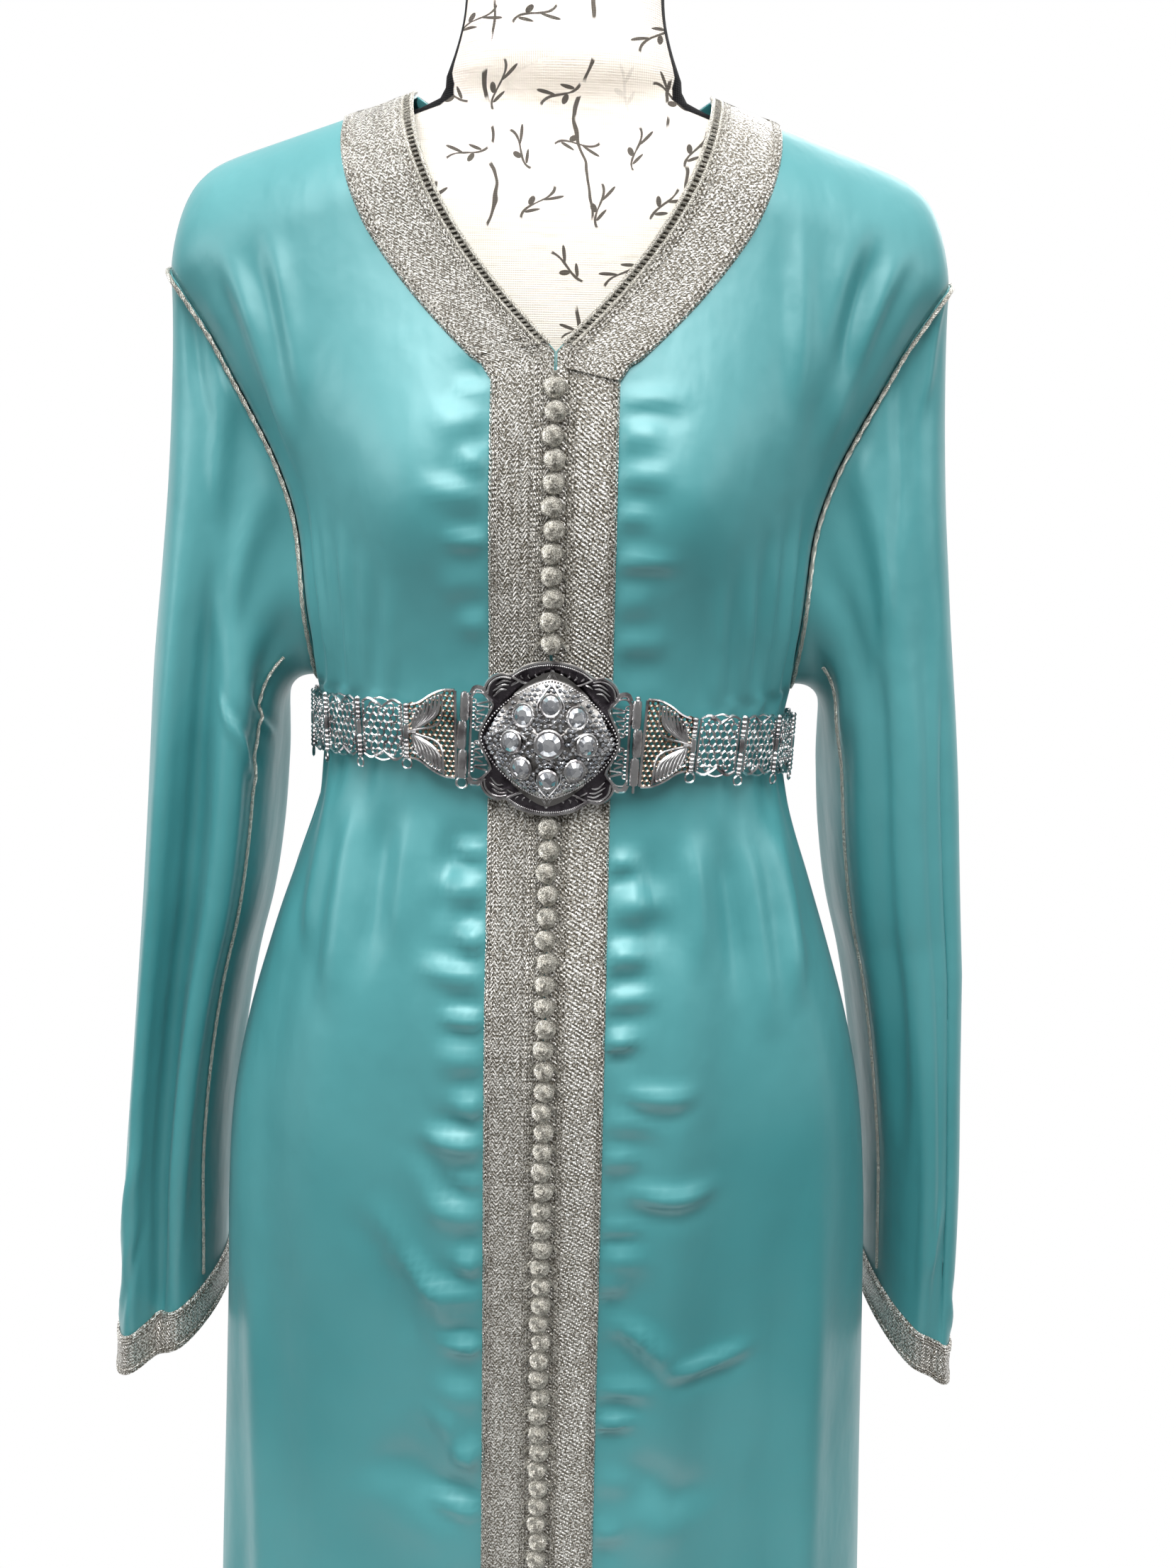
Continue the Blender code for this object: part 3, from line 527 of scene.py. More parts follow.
def round_profile(radius: float, sides: int, flat: float = 1.0) -> Array:
    """Outline of a round or flattened bar: (r cos a, r flat sin a).

    Args:
        radius: r.
        sides: how many points the outline has.
        flat: the bar's height as a share of its width.

    Returns:
        The points of the outline.
    """
    angle = turns(sides)
    return np.stack((radius * np.cos(angle), radius * flat * np.sin(angle)), axis=-1)


def unit_bar(rise: float = 0.0) -> Array:
    """A bar of length 1 and radius 1 along X, whose middle lies a rise higher than its ends."""
    path = np.array(((0.0, 0.0, 0.0), (0.5, 0.0, rise), (1.0, 0.0, 0.0)))
    return carried(path, round_profile(1.0, 5), UPWARD)


def smooth_path(points: list[tuple[float, ...]], count: int, closed: bool = False) -> Array:
    """Closely spaced points on a curve through a few given ones.

    Each stretch is the cubic through its ends with slopes (next - previous) / 2.

    Args:
        points: the places that the curve passes.
        count: how many points it gives back.
        closed: whether the curve is a loop.

    Returns:
        The points of the curve.
    """
    key = np.array(points, dtype=float)
    total = len(key) if closed else len(key) - 1
    t = np.linspace(0.0, total, count, endpoint=not closed)
    low = np.minimum(t.astype(int), total - 1)
    part = (t - low)[:, None]
    if closed:
        slope = (np.roll(key, -1, axis=0) - np.roll(key, 1, axis=0)) / 2
        high = (low + 1) % len(key)
    else:
        slope = np.gradient(key, axis=0)
        high = low + 1
    rise = part * part * (3 - 2 * part)
    start = part * (1 - part) ** 2 * slope[low]
    end = part * part * (part - 1) * slope[high]
    return key[low] * (1 - rise) + key[high] * rise + start + end


class Value:
    """A shader socket that takes part in Python expressions; each operator adds one Math node."""

    def __init__(self, nodes: "Nodes", socket: bpy.types.NodeSocket) -> None:
        """Wrap a socket of a node tree."""
        self.nodes = nodes
        self.socket = socket

    def math(self, operation: str, *others: "Value | float") -> "Value":
        """Add one Math node on this value and the others."""
        inputs = dict(enumerate((self, *others)))
        return self.nodes.add("ShaderNodeMath", {"operation": operation}, inputs)

    def __add__(self, other: "Value | float") -> "Value":
        """Sum."""
        return self.math("ADD", other)

    __radd__ = __add__

    def __mul__(self, other: "Value | float") -> "Value":
        """Product."""
        return self.math("MULTIPLY", other)

    __rmul__ = __mul__

    def __sub__(self, other: "Value | float") -> "Value":
        """Difference."""
        return self.math("SUBTRACT", other)

    def __rsub__(self, other: float) -> "Value":
        """Difference with a number first, such as 1 - mask."""
        return self.nodes.add("ShaderNodeMath", {"operation": "SUBTRACT"}, {0: other, 1: self})

    def __truediv__(self, other: "Value | float") -> "Value":
        """Quotient."""
        return self.math("DIVIDE", other)

    def __pow__(self, power: float) -> "Value":
        """Power."""
        return self.math("POWER", power)

    def sine(self) -> "Value":
        """Sine of the value in radians."""
        return self.math("SINE")

    def size(self) -> "Value":
        """The value without its sign."""
        return self.math("ABSOLUTE")

    def fraction(self) -> "Value":
        """What is left past the whole number."""
        return self.math("FRACT")

    def whole(self) -> "Value":
        """The whole number below the value."""
        return self.math("FLOOR")

    def most(self, other: "Value | float") -> "Value":
        """The larger of two values."""
        return self.math("MAXIMUM", other)

    def between(self, low: float, high: float) -> "Value":
        """A soft step that rises from 0 at low to 1 at high."""
        settings = {"interpolation_type": "SMOOTHSTEP"}
        inputs = {"Value": self, "From Min": low, "From Max": high}
        return self.nodes.add("ShaderNodeMapRange", settings, inputs)


class Nodes:
    """The node tree of one material, built by short calls."""

    def __init__(self, material: bpy.types.Material) -> None:
        """Take a material's tree and find its shader."""
        self.tree = material.node_tree
        self.shader = self.tree.nodes["Principled BSDF"]

    def put(self, socket: bpy.types.NodeSocket, value: object) -> None:
        """Link a value to a socket, or set the socket to a number or colour."""
        if isinstance(value, Value):
            self.tree.links.new(value.socket, socket)
        elif isinstance(value, tuple) and len(value) == 3 and socket.type == "RGBA":
            socket.default_value = (*value, 1.0)
        else:
            socket.default_value = value

    def add(self, kind: str, settings: dict[str, object] | None = None,
            inputs: dict[int | str, object] | None = None, output: int | str = 0) -> Value:
        """Add a node: its settings first, then its sockets.

        Args:
            kind: the node's type.
            settings: its properties.
            inputs: values or links by socket name or number.
            output: the name or number of the output that is used.

        Returns:
            The wrapped output.
        """
        node = self.tree.nodes.new(kind)
        for name, value in (settings or {}).items():
            setattr(node, name, value)
        for name, value in (inputs or {}).items():
            self.put(node.inputs[name], value)
        return Value(self, node.outputs[output])

    def blend(self, first: object, second: object, share: "Value | float") -> Value:
        """Mix two colours by a share.

        Args:
            first: the colour at 0.
            second: the colour at 1.
            share: the share of the second.

        Returns:
            The mixed colour.
        """
        return self.add("ShaderNodeMix", {"data_type": "RGBA"}, {0: share, 6: first, 7: second}, 2)

    def place(self) -> Value:
        """Object coordinates."""
        return self.add("ShaderNodeTexCoord", output="Object")

    def pattern(self) -> Value:
        """The piece's own pattern coordinates in metres."""
        return self.add("ShaderNodeUVMap", {"uv_map": "pattern"})

    def parts(self, vector: Value) -> tuple[Value, Value, Value]:
        """The three components of a vector."""
        split = self.add("ShaderNodeSeparateXYZ", inputs={0: vector})
        outputs = split.socket.node.outputs
        return Value(self, outputs[0]), Value(self, outputs[1]), Value(self, outputs[2])

    def scaled(self, vector: Value, by: tuple[float, float, float]) -> Value:
        """A vector stretched along its axes."""
        return self.add("ShaderNodeVectorMath", {"operation": "MULTIPLY"}, {0: vector, 1: by})

    def noise(self, vector: Value, scale: float, detail: float = 2.0, rough: float = 0.5) -> Value:
        """Soft noise from 0 to 1.

        Args:
            vector: where it is read.
            scale: how many bumps lie in a unit.
            detail: how many finer layers it has.
            rough: the weight of each finer layer.

        Returns:
            The noise.
        """
        inputs = {"Vector": vector, "Scale": scale, "Detail": detail, "Roughness": rough}
        return self.add("ShaderNodeTexNoise", {}, inputs)

    def cell_colours(self, vector: Value, scale: float) -> Value:
        """One colour for each cell round the points of a scatter."""
        inputs = {"Vector": vector, "Scale": scale}
        return self.add("ShaderNodeTexVoronoi", {"feature": "F1"}, inputs, "Color")

    def bump(self, height: Value, distance: float, strength: float = 1.0,
             under: Value | None = None) -> Value:
        """A normal from a height, laid over another normal where one is given.

        Args:
            height: the height.
            distance: how far a height of 1 reaches, in metres.
            strength: how strongly it shows.
            under: the normal below.

        Returns:
            The new normal.
        """
        inputs: dict[int | str, object] = {}
        inputs.update(Height=height, Distance=distance, Strength=strength)
        if under is not None:
            inputs["Normal"] = under
        return self.add("ShaderNodeBump", {}, inputs)

    def dress(self, **sockets: object) -> None:
        """Set or link the shader's sockets, with their names in small letters."""
        names = {socket.name.lower().replace(" ", "_"): socket for socket in self.shader.inputs}
        for name, value in sockets.items():
            self.put(names[name], value)


@dataclass(frozen=True)
class Finish:
    """A material with the record's slot that it stands for."""

    name: str
    slot: str

    def material(self) -> bpy.types.Material:
        """The finish's material, made once."""
        made = bpy.data.materials.get(self.name)
        if made is None:
            made = bpy.data.materials.new(self.name)
            made.use_nodes = True
            self.build(Nodes(made))
        return made

    def build(self, nodes: Nodes) -> None:
        """Build the node tree."""
        raise NotImplementedError


@dataclass(frozen=True)
class Satin(Finish):
    """Turquoise satin: strong soft gloss, fine rib of the weave and small unevenness."""

    colour: tuple[float, float, float] = (0.080, 0.352, 0.372)
    deep: tuple[float, float, float] = (0.036, 0.265, 0.284)
    thread: float = 0.00042

    def build(self, nodes: Nodes) -> None:
        """Thread rib and slow waves as bump, with a slow change of colour and gloss."""
        place = nodes.place()
        u, v, _ = nodes.parts(nodes.pattern())
        turn = 2 * math.pi / self.thread
        rib = (u * turn).sine() * 0.5 + (v * turn).sine() * 0.3
        waves = nodes.noise(nodes.scaled(place, (1.3, 1.3, 0.50)), 17.0, 3.0, 0.45)
        fine = nodes.noise(nodes.scaled(place, (1.0, 1.0, 0.7)), 70.0, 2.0, 0.5)
        slow = nodes.noise(place, 5.0, 2.0, 0.5)
        normal = nodes.bump(rib, 0.00002, 0.30)
        normal = nodes.bump(fine, 0.0011, 0.42, normal)
        normal = nodes.bump(waves, 0.0060, 0.55, normal)
        nodes.dress(base_color=nodes.blend(self.deep, self.colour, slow.between(0.30, 0.66)),
                    metallic=0.08, roughness=fine * 0.10 + 0.40, normal=normal,
                    sheen_weight=0.06, sheen_roughness=0.45, sheen_tint=(0.85, 0.95, 1.0, 1.0),
                    specular_ior_level=0.95, coat_weight=0.34, coat_roughness=0.48)


@dataclass(frozen=True)
class SilverBraid(Finish):
    """Silver braid: slanting strands of metal thread, with painted glints for highlights and painted
    shade in the gaps.

    A chain braid has its strands turned back at each column, as plaits lying side by side.
    """

    # light paints the glints and the lit tops of the strands; dark paints the shade in the gaps
    light: tuple[float, float, float] = (1.0, 0.98, 0.93)
    dark: tuple[float, float, float] = (0.17, 0.150, 0.115)
    strand: float = 0.0025
    slant: float = 0.62
    chain: bool = False
    plait: float = 0.0046
    stitch: float = 0.0017

    def build(self, nodes: Nodes) -> None:
        """Slanting strands crossed by short stitches, broken up by fine noise."""
        pattern = nodes.pattern()
        u, v, _ = nodes.parts(pattern)
        shift = nodes.noise(nodes.scaled(pattern, (260.0, 260.0, 1.0)), 1.0, 2.0, 0.6) * 0.0011
        if self.chain:
            lean, least = ((u / self.plait).fraction() - 0.5).size() * (self.plait * 1.5), 0.65
        else:
            lean, least = u * self.slant, 0.35
        strands = ((v + lean + shift) * (2 * math.pi / self.strand)).sine() * 0.5 + 0.5
        stitches = ((u - v * 0.35 + shift * 1.6) * (2 * math.pi / self.stitch)).sine() * 0.5 + 0.5
        glints = nodes.noise(nodes.scaled(pattern, (620.0, 900.0, 1.0)), 1.0, 2.0, 0.75)
        patches = nodes.noise(nodes.scaled(pattern, (95.0, 95.0, 1.0)), 1.0, 2.0, 0.5)
        height = strands * (stitches * (1.0 - least) + least)
        # tone is partly painted light: the strands' height paints shade in the gaps and the glints are
        # painted highlights; only the patches are the braid's own uneven colour
        tone = height * 0.52 + glints.between(0.44, 0.60) * 0.78 + patches.between(0.35, 0.65) * 0.16
        normal = nodes.bump(height * 0.75 + glints * 0.6, 0.0011, 0.95)
        nodes.dress(base_color=nodes.blend(self.dark, self.light, tone.between(0.30, 1.02)),
                    metallic=0.50, roughness=0.48 - glints * 0.30, normal=normal,
                    specular_ior_level=0.8)


@dataclass(frozen=True)
class SilverCord(Finish):
    """Twisted silver cord and the thread of the knotted buttons."""

    # light paints the glints and the lit twists; dark paints the shade in the grooves
    light: tuple[float, float, float] = (1.0, 0.97, 0.88)
    dark: tuple[float, float, float] = (0.13, 0.112, 0.082)
    thread: float = 0.00115

    def build(self, nodes: Nodes) -> None:
        """Fine twisted threads: a slanting wave on the cord's own coordinates, which also paints shade
        in the grooves, with glints painted as highlights.
        """
        u, v, _ = nodes.parts(nodes.pattern())
        twist = ((v + u * 1.3) * (2 * math.pi / self.thread)).sine() * 0.5 + 0.5
        glints = nodes.noise(nodes.scaled(nodes.place(), (1.0, 1.0, 1.0)), 1300.0, 2.0, 0.7)
        # the twist paints shade between the threads and the glints are painted highlights
        tone = twist * 0.55 + glints.between(0.36, 0.64) * 0.55
        normal = nodes.bump(twist + glints * 0.6, 0.00042, 0.8)
        nodes.dress(base_color=nodes.blend(self.dark, self.light, tone.between(0.12, 0.85)),
                    metallic=0.62, roughness=0.46 - glints * 0.22, normal=normal)


@dataclass(frozen=True)
class BeltMetal(Finish):
    """Polished cast metal with small waves in its surface; darker copies of it paint shade in the
    recesses of the buckle.
    """

    light: tuple[float, float, float] = (0.72, 0.72, 0.74)
    dark: tuple[float, float, float] = (0.36, 0.33, 0.34)
    gloss: float = 0.15

    def build(self, nodes: Nodes) -> None:
        """Slow cloudy tone with a fine uneven surface."""
        place = nodes.place()
        cloud = nodes.noise(place, 95.0, 3.0, 0.55)
        fine = nodes.noise(place, 620.0, 2.0, 0.5)
        normal = nodes.bump(cloud + fine * 0.35, 0.0007, 0.35)
        nodes.dress(base_color=nodes.blend(self.dark, self.light, cloud.between(0.30, 0.58)),
                    metallic=1.0, roughness=fine * 0.16 + self.gloss, normal=normal)


@dataclass(frozen=True)
class ClearStone(Finish):
    """Clear cut stone with a bright backing; its bright and dark facets are painted reflections, one
    tone for each cell.
    """

    # light and dark are painted reflections of the facets
    light: tuple[float, float, float] = (0.88, 0.90, 0.93)
    dark: tuple[float, float, float] = (0.42, 0.44, 0.48)

    def build(self, nodes: Nodes) -> None:
        """Mirror-like facets under a clear coat."""
        # each cell of the scatter gets a painted reflection, bright or dark
        tone = nodes.cell_colours(nodes.place(), 420.0)
        shade = nodes.parts(tone)[0]
        nodes.dress(base_color=nodes.blend(self.dark, self.light, shade.between(0.1, 0.75)),
                    metallic=0.82, roughness=0.05, coat_weight=1.0, coat_roughness=0.02)


@dataclass(frozen=True)
class Linen(Finish):
    """Printed linen on the form's front and back, with black velvet at its sides.

    The print is a scatter of pen-stroke leaf sprigs, which spell nothing.
    """

    cloth: tuple[float, float, float] = (0.78, 0.715, 0.640)
    slub: tuple[float, float, float] = (0.67, 0.605, 0.53)
    ink: tuple[float, float, float] = (0.026, 0.020, 0.014)
    velvet: tuple[float, float, float] = (0.0030, 0.0030, 0.0040)
    strip: float = 0.0165
    thread: float = 0.0011
    cell: float = 0.029
    row_lean: float = 0.37
    vine_gap: float = 0.047

    def sprigs(self, nodes: Nodes, across: Value, up: Value, cell: float, lean: float) -> Value:
        """A bent pen stroke with three leaves in each cell, turned and moved by the cell's number.

        Args:
            nodes: the tree.
            across: distance across the form.
            up: height.
            cell: size of a cell.
            lean: how far each row of cells moves sideways.

        Returns:
            A mask that is 1 on the ink.
        """
        row = (up / cell).whole()
        shifted = across / cell + row * lean
        column = shifted.whole()
        first = ((row * 12.9898 + column * 78.233).sine() * 437.585).fraction()
        second = ((row * 39.346 + column * 11.135).sine() * 246.346).fraction()
        x = (shifted.fraction() - 0.5) * 2.0 + (second - 0.5) * 0.5
        y = ((up / cell).fraction() - 0.5) * 2.0 + (first - 0.5) * 0.5
        turn = first * 4.2 - 1.2
        cosine, sine = (turn + math.pi / 2).sine(), turn.sine()
        along_stem = y * cosine - x * sine
        off = x * cosine + y * sine - (along_stem * 2.7).sine() * (second * 0.34 + 0.06)
        pen = nodes.noise(nodes.place(), 160.0, 2.0, 0.5) * 0.070 + 0.010
        stem = 1.0 - (off.size() - pen).between(-0.015, 0.015)
        mask = stem * (1.0 - along_stem.size().between(0.66, 0.74))
        for side, height, long in ((1.0, 0.30, 0.080), (-1.0, -0.02, 0.062), (1.0, -0.34, 0.045)):
            px, py = off - 0.20 * side, along_stem - height
            tilt = px * (0.66 * side) - py * 0.75
            wide = px * (0.75 * side) + py * 0.66
            leaf = (wide * wide) / long + (tilt * tilt) / 0.0058
            mask = mask.most(1.0 - leaf.between(0.80, 1.05))
        return mask * second.between(0.22, 0.24)

    def vines(self, nodes: Nodes, across: Value, up: Value) -> Value:
        """Long broken strokes that wander up the form.

        Args:
            nodes: the tree.
            across: distance across the form.
            up: height.

        Returns:
            A mask that is 1 on the ink.
        """
        wander = nodes.noise(nodes.scaled(nodes.place(), (1.0, 1.0, 1.0)), 26.0, 2.0, 0.5) * 0.026
        line = ((across + wander + (up * 70.0).sine() * 0.004) / self.vine_gap).fraction() - 0.5
        broken = nodes.noise(nodes.place(), 55.0, 1.0, 0.5).between(0.50, 0.54)
        return (1.0 - line.size().between(0.016, 0.024)) * broken

    def build(self, nodes: Nodes) -> None:
        """Linen weave with slubs, ink on it, and velvet along the strip over both side seams."""
        place = nodes.place()
        x, y, z = nodes.parts(place)
        warp, weft = ((way * (2 * math.pi / self.thread)).sine() * 0.5 for way in (x, z))
        slubs = nodes.noise(nodes.scaled(place, (60.0, 60.0, 900.0)), 1.0, 2.0, 0.6)
        cloth = nodes.blend(self.cloth, self.slub, slubs.between(0.50, 0.75))
        marks = self.sprigs(nodes, x, z, self.cell, self.row_lean).most(self.vines(nodes, x, z))
        printed = nodes.blend(cloth, self.ink, marks * 0.92)
        side = 1.0 - y.size().between(self.strip, self.strip + 0.0010)
        normal = nodes.bump(warp + weft + slubs, 0.00028, 0.5)
        nodes.dress(base_color=nodes.blend(printed, self.velvet, side), metallic=0.0, roughness=0.92,
                    normal=normal, specular_ior_level=0.2)


@dataclass(frozen=True)
class StandPaint(Finish):
    """Black satin paint on steel."""

    light: tuple[float, float, float] = (0.030, 0.030, 0.032)
    dark: tuple[float, float, float] = (0.012, 0.012, 0.013)

    def build(self, nodes: Nodes) -> None:
        """Dark paint with a fine orange-peel surface."""
        fine = nodes.noise(nodes.place(), 240.0, 2.0, 0.5)
        nodes.dress(base_color=nodes.blend(self.dark, self.light, fine),
                    metallic=0.55, roughness=fine * 0.18 + 0.30, normal=nodes.bump(fine, 0.0004, 0.4))


@dataclass(frozen=True)
class CapWood(Finish):
    """Dark varnished wood with turned grain."""

    light: tuple[float, float, float] = (0.16, 0.075, 0.030)
    dark: tuple[float, float, float] = (0.045, 0.018, 0.008)

    def build(self, nodes: Nodes) -> None:
        """Rings of grain round the cap's axis under a coat of varnish."""
        place = nodes.place()
        grain = nodes.noise(nodes.scaled(place, (1.0, 1.0, 7.0)), 42.0, 4.0, 0.6)
        nodes.dress(base_color=nodes.blend(self.dark, self.light, grain.between(0.35, 0.65)),
                    roughness=grain * 0.2 + 0.28, normal=nodes.bump(grain, 0.0004, 0.4),
                    coat_weight=0.5, coat_roughness=0.12)


SATIN = Satin("turquoise_satin", "satin")
BRAID = SilverBraid("silver_braid", "braid")
CHAIN_BRAID = SilverBraid("silver_chain_braid", "braid", chain=True)
CORD = SilverCord("silver_cord", "cord")
METAL = BeltMetal("belt_metal_polished", "belt_metal", (0.80, 0.79, 0.79))
SHADE = SilverCord("silver_cord_shade", "cord", (0.16, 0.14, 0.11), (0.05, 0.04, 0.03))
# darker copy of the belt metal that paints the shade on the dome between its small stones
DOME_PAINTED_SHADE = BeltMetal("belt_metal_dim", "belt_metal", (0.40, 0.385, 0.37), (0.12, 0.11, 0.105))
# dark metal for the medallion's plate: partly patina, partly painted shade behind the rims
RECESS_PATINA_AND_SHADE = BeltMetal("belt_metal_recess", "belt_metal", (0.13, 0.115, 0.13), (0.03, 0.022, 0.03), 0.20)
BRONZE = BeltMetal("belt_metal_bronze", "belt_metal", (0.42, 0.33, 0.26), (0.13, 0.085, 0.06), 0.18)
STONE = ClearStone("clear_stone", "stone")
LINEN = Linen("printed_linen", "linen")
STAND = StandPaint("stand_paint", "stand_metal")
WOOD = CapWood("cap_varnish", "cap_wood")


def shoulder_height(x: Array) -> Array:
    """Height of the shoulder seam at a distance from the middle: a slope with a rounded end."""
    share = np.clip((np.abs(x) - NECK_POINT[0]) / (SHOULDER_TIP[0] - NECK_POINT[0]), 0.0, 1.0)
    fall = (NECK_POINT[1] - SHOULDER_TIP[1]) * share
    return NECK_POINT[1] - fall + SHOULDER_LIFT * share * (1.0 - share ** 16)


def neckline(z: Array) -> Array:
    """Half width of the front neckline at a height: nothing below the V, then a soft curve."""
    drop = np.clip((NECK_POINT[1] - z) / (NECK_POINT[1] - V_POINT_Z), 0.0, 1.0)
    return NECK_POINT[0] * (1.0 - drop ** 1.8)


def bust(x: Array, z: Array) -> Array:
    """Lift of the front over a general form's bust: a round hill with soft edges."""
    across = (np.abs(x) - BUST_X) / BUST_SPREAD[0]
    up = (z - BUST_Z) / BUST_SPREAD[1]
    return BUST_REACH * np.exp(-across ** 2 - up ** 2)


def cloth_depth(side: str, x: Array, z: Array) -> Array:
    """Distance from the side plane to the cloth.

    The row's depth times (1 - (x / half)^2.4)^(1 / 2.4), which rounds off over the shoulder as
    the root of 1 - (1 - rise)^2.

    Args:
        side: front or back.
        x: distance from the middle.
        z: height.

    Returns:
        The depth at each place.
    """
    half = along(SECTIONS, "half_width", z)
    ring = np.clip(1.0 - (np.abs(x) / half) ** ROUNDNESS, 0.0, 1.0) ** (1.0 / ROUNDNESS)
    depth = along(SECTIONS, side, z) * ring
    if side == "front":
        depth = depth + bust(x, z) * ring
    rise = np.clip((shoulder_height(x) - z) / SHOULDER_ROUNDING, 0.0, 1.0)
    return depth * np.sqrt(1.0 - (1.0 - rise) ** 2)


def fold_lift(x: Array, y: Array, z: Array) -> Array:
    """Outward move of the cloth where the large folds of the skirt run.

    Args:
        x: distance from the middle, with its sign.
        y: depth, with its sign.
        z: height.

    Returns:
        The move at each place.
    """
    bearing = np.degrees(np.arctan2(np.abs(x), -y))
    lift = np.zeros_like(x)
    for side, middle, top, bottom, depth, spread in zip(*FOLDS.values()):
        down = np.clip((top - z) / FOLD_RAMP, 0.0, 1.0)
        down = down * np.clip((z - bottom) / FOLD_RAMP + 1.0, 0.0, 1.0)
        ridge = np.exp(-((bearing - middle) / spread) ** 2)
        lift += np.where(np.sign(x) == side, depth * ridge * down, 0.0)
    return lift


def dressed_rows(x: Array, y: Array, z: Array, column: Array) -> Array:
    """Section points moved out from the axis by the folds and by the gathers beside the belt.

    Args:
        x: distance from the middle, with its sign.
        y: depth, with its sign.
        z: height.
        column: the panel's column, whose even and odd numbers are ridge and trough.

    Returns:
        Points by row and column.
    """
    gather = GATHER * np.cos(np.pi * column) * np.exp(-((z - GATHER_Z) / GATHER_SPREAD) ** 2)
    lift = fold_lift(x, y, z) + gather * smooth(5.0, 6.0, column)
    radius = np.maximum(np.hypot(x, y), 0.02)
    return np.stack((x * (1.0 + lift / radius), y * (1.0 + lift / radius), z), axis=-1)


def column_x(start: Array, end: Array, half: Array, shares: Array) -> Array:
    """Places across a row between two edges, even along the flattened ring.

    Args:
        start: the inner edge.
        end: the outer edge.
        half: the ring's half width.
        shares: shares of the way from edge to edge.

    Returns:
        The distance of each place from the middle.
    """
    power = ROUNDNESS / 2.0
    low = np.arcsin(np.clip(start / half, 0.0, 1.0) ** power)
    high = np.arcsin(np.clip(end / half, 0.0, 1.0) ** power)
    return half * np.sin(low + (high - low) * shares) ** (1.0 / power)


def band_width(share: Array) -> Array:
    """Width of the trimmed strip beside the inner edge: front band, then neck band."""
    return np.interp(share, (0.555, V_SHARE, 0.80, 1.0),
                     (FRONT_BAND / 2, NECK_BAND, NECK_BAND + 0.001, 0.035))


@dataclass(frozen=True)
class Crease:
    """A soft ridge, or a trough when its depth is negative, on a curved line between two places.

    Places are the two coordinates of the surface that it lies on. Off the line the lift falls
    as exp(-(d / width)^2), with a shallow trough of the opposite sign beside it.
    """

    start: tuple[float, float]
    end: tuple[float, float]
    depth: float
    width: float
    bow: float = 0.0
    fade: float = 0.35
    undercut: float = 0.45

    def lift(self, u: Array, v: Array) -> Array:
        """Outward move that the crease gives to each place."""
        du = self.end[0] - self.start[0]
        dv = self.end[1] - self.start[1]
        length = math.hypot(du, dv)
        t = ((u - self.start[0]) * du + (v - self.start[1]) * dv) / length ** 2
        off = ((v - self.start[1]) * du - (u - self.start[0]) * dv) / length
        off = off - self.bow * 4.0 * t * (1.0 - t)
        ends = smooth(0.0, self.fade, t) * smooth(0.0, self.fade, 1.0 - t)
        ridge = np.exp(-(off / self.width) ** 2)
        beside = np.exp(-((off + 1.7 * self.width) / (1.2 * self.width)) ** 2)
        return self.depth * ends * (ridge - self.undercut * beside)


def creases(*rows: tuple[float, ...]) -> tuple[Crease, ...]:
    """Creases from short rows: start, end, depth and width, then bow, fade and undercut if given."""
    return tuple(Crease(row[:2], row[2:4], *row[4:]) for row in rows)


def creased(placed: tuple[Crease, ...], u: Array, v: Array) -> Array:
    """Sum of the lifts of several creases.

    Args:
        placed: the creases.
        u: the first coordinate of each place.
        v: the second coordinate of each place.

    Returns:
        The outward move at each place.
    """
    lift = np.zeros(np.broadcast(u, v).shape)
    for crease in placed:
        lift = lift + crease.lift(u, v)
    return lift


def pucker_row(side: int, heights: tuple[float, ...], edge: float, reach: tuple[float, ...],
               depth: float, rise: float) -> tuple[Crease, ...]:
    """Short puckers that start under the edge of a front braid and die away across the front.

    Args:
        side: the sign of X.
        heights: where they start.
        edge: distance of the braid's edge from the middle.
        reach: how far each one runs.
        depth: lift of its ridge.
        rise: how far its far end lies above its start, as a share of its reach.

    Returns:
        One crease for each height.
    """
    made = []
    for number, (height, far) in enumerate(zip(heights, reach)):
        lean = rise * far * (1.0 if number % 2 else 0.45)
        start = (side * (edge - 0.006), height)
        end = (side * (edge + far), height + lean)
        size = depth * (0.75 + 0.5 * ((number * 7) % 5) / 4.0)
        width = 0.0046 + 0.0013 * ((number * 3) % 4)
        made.append(Crease(start, end, size, width, bow=0.0015, fade=0.42))
    return tuple(made)


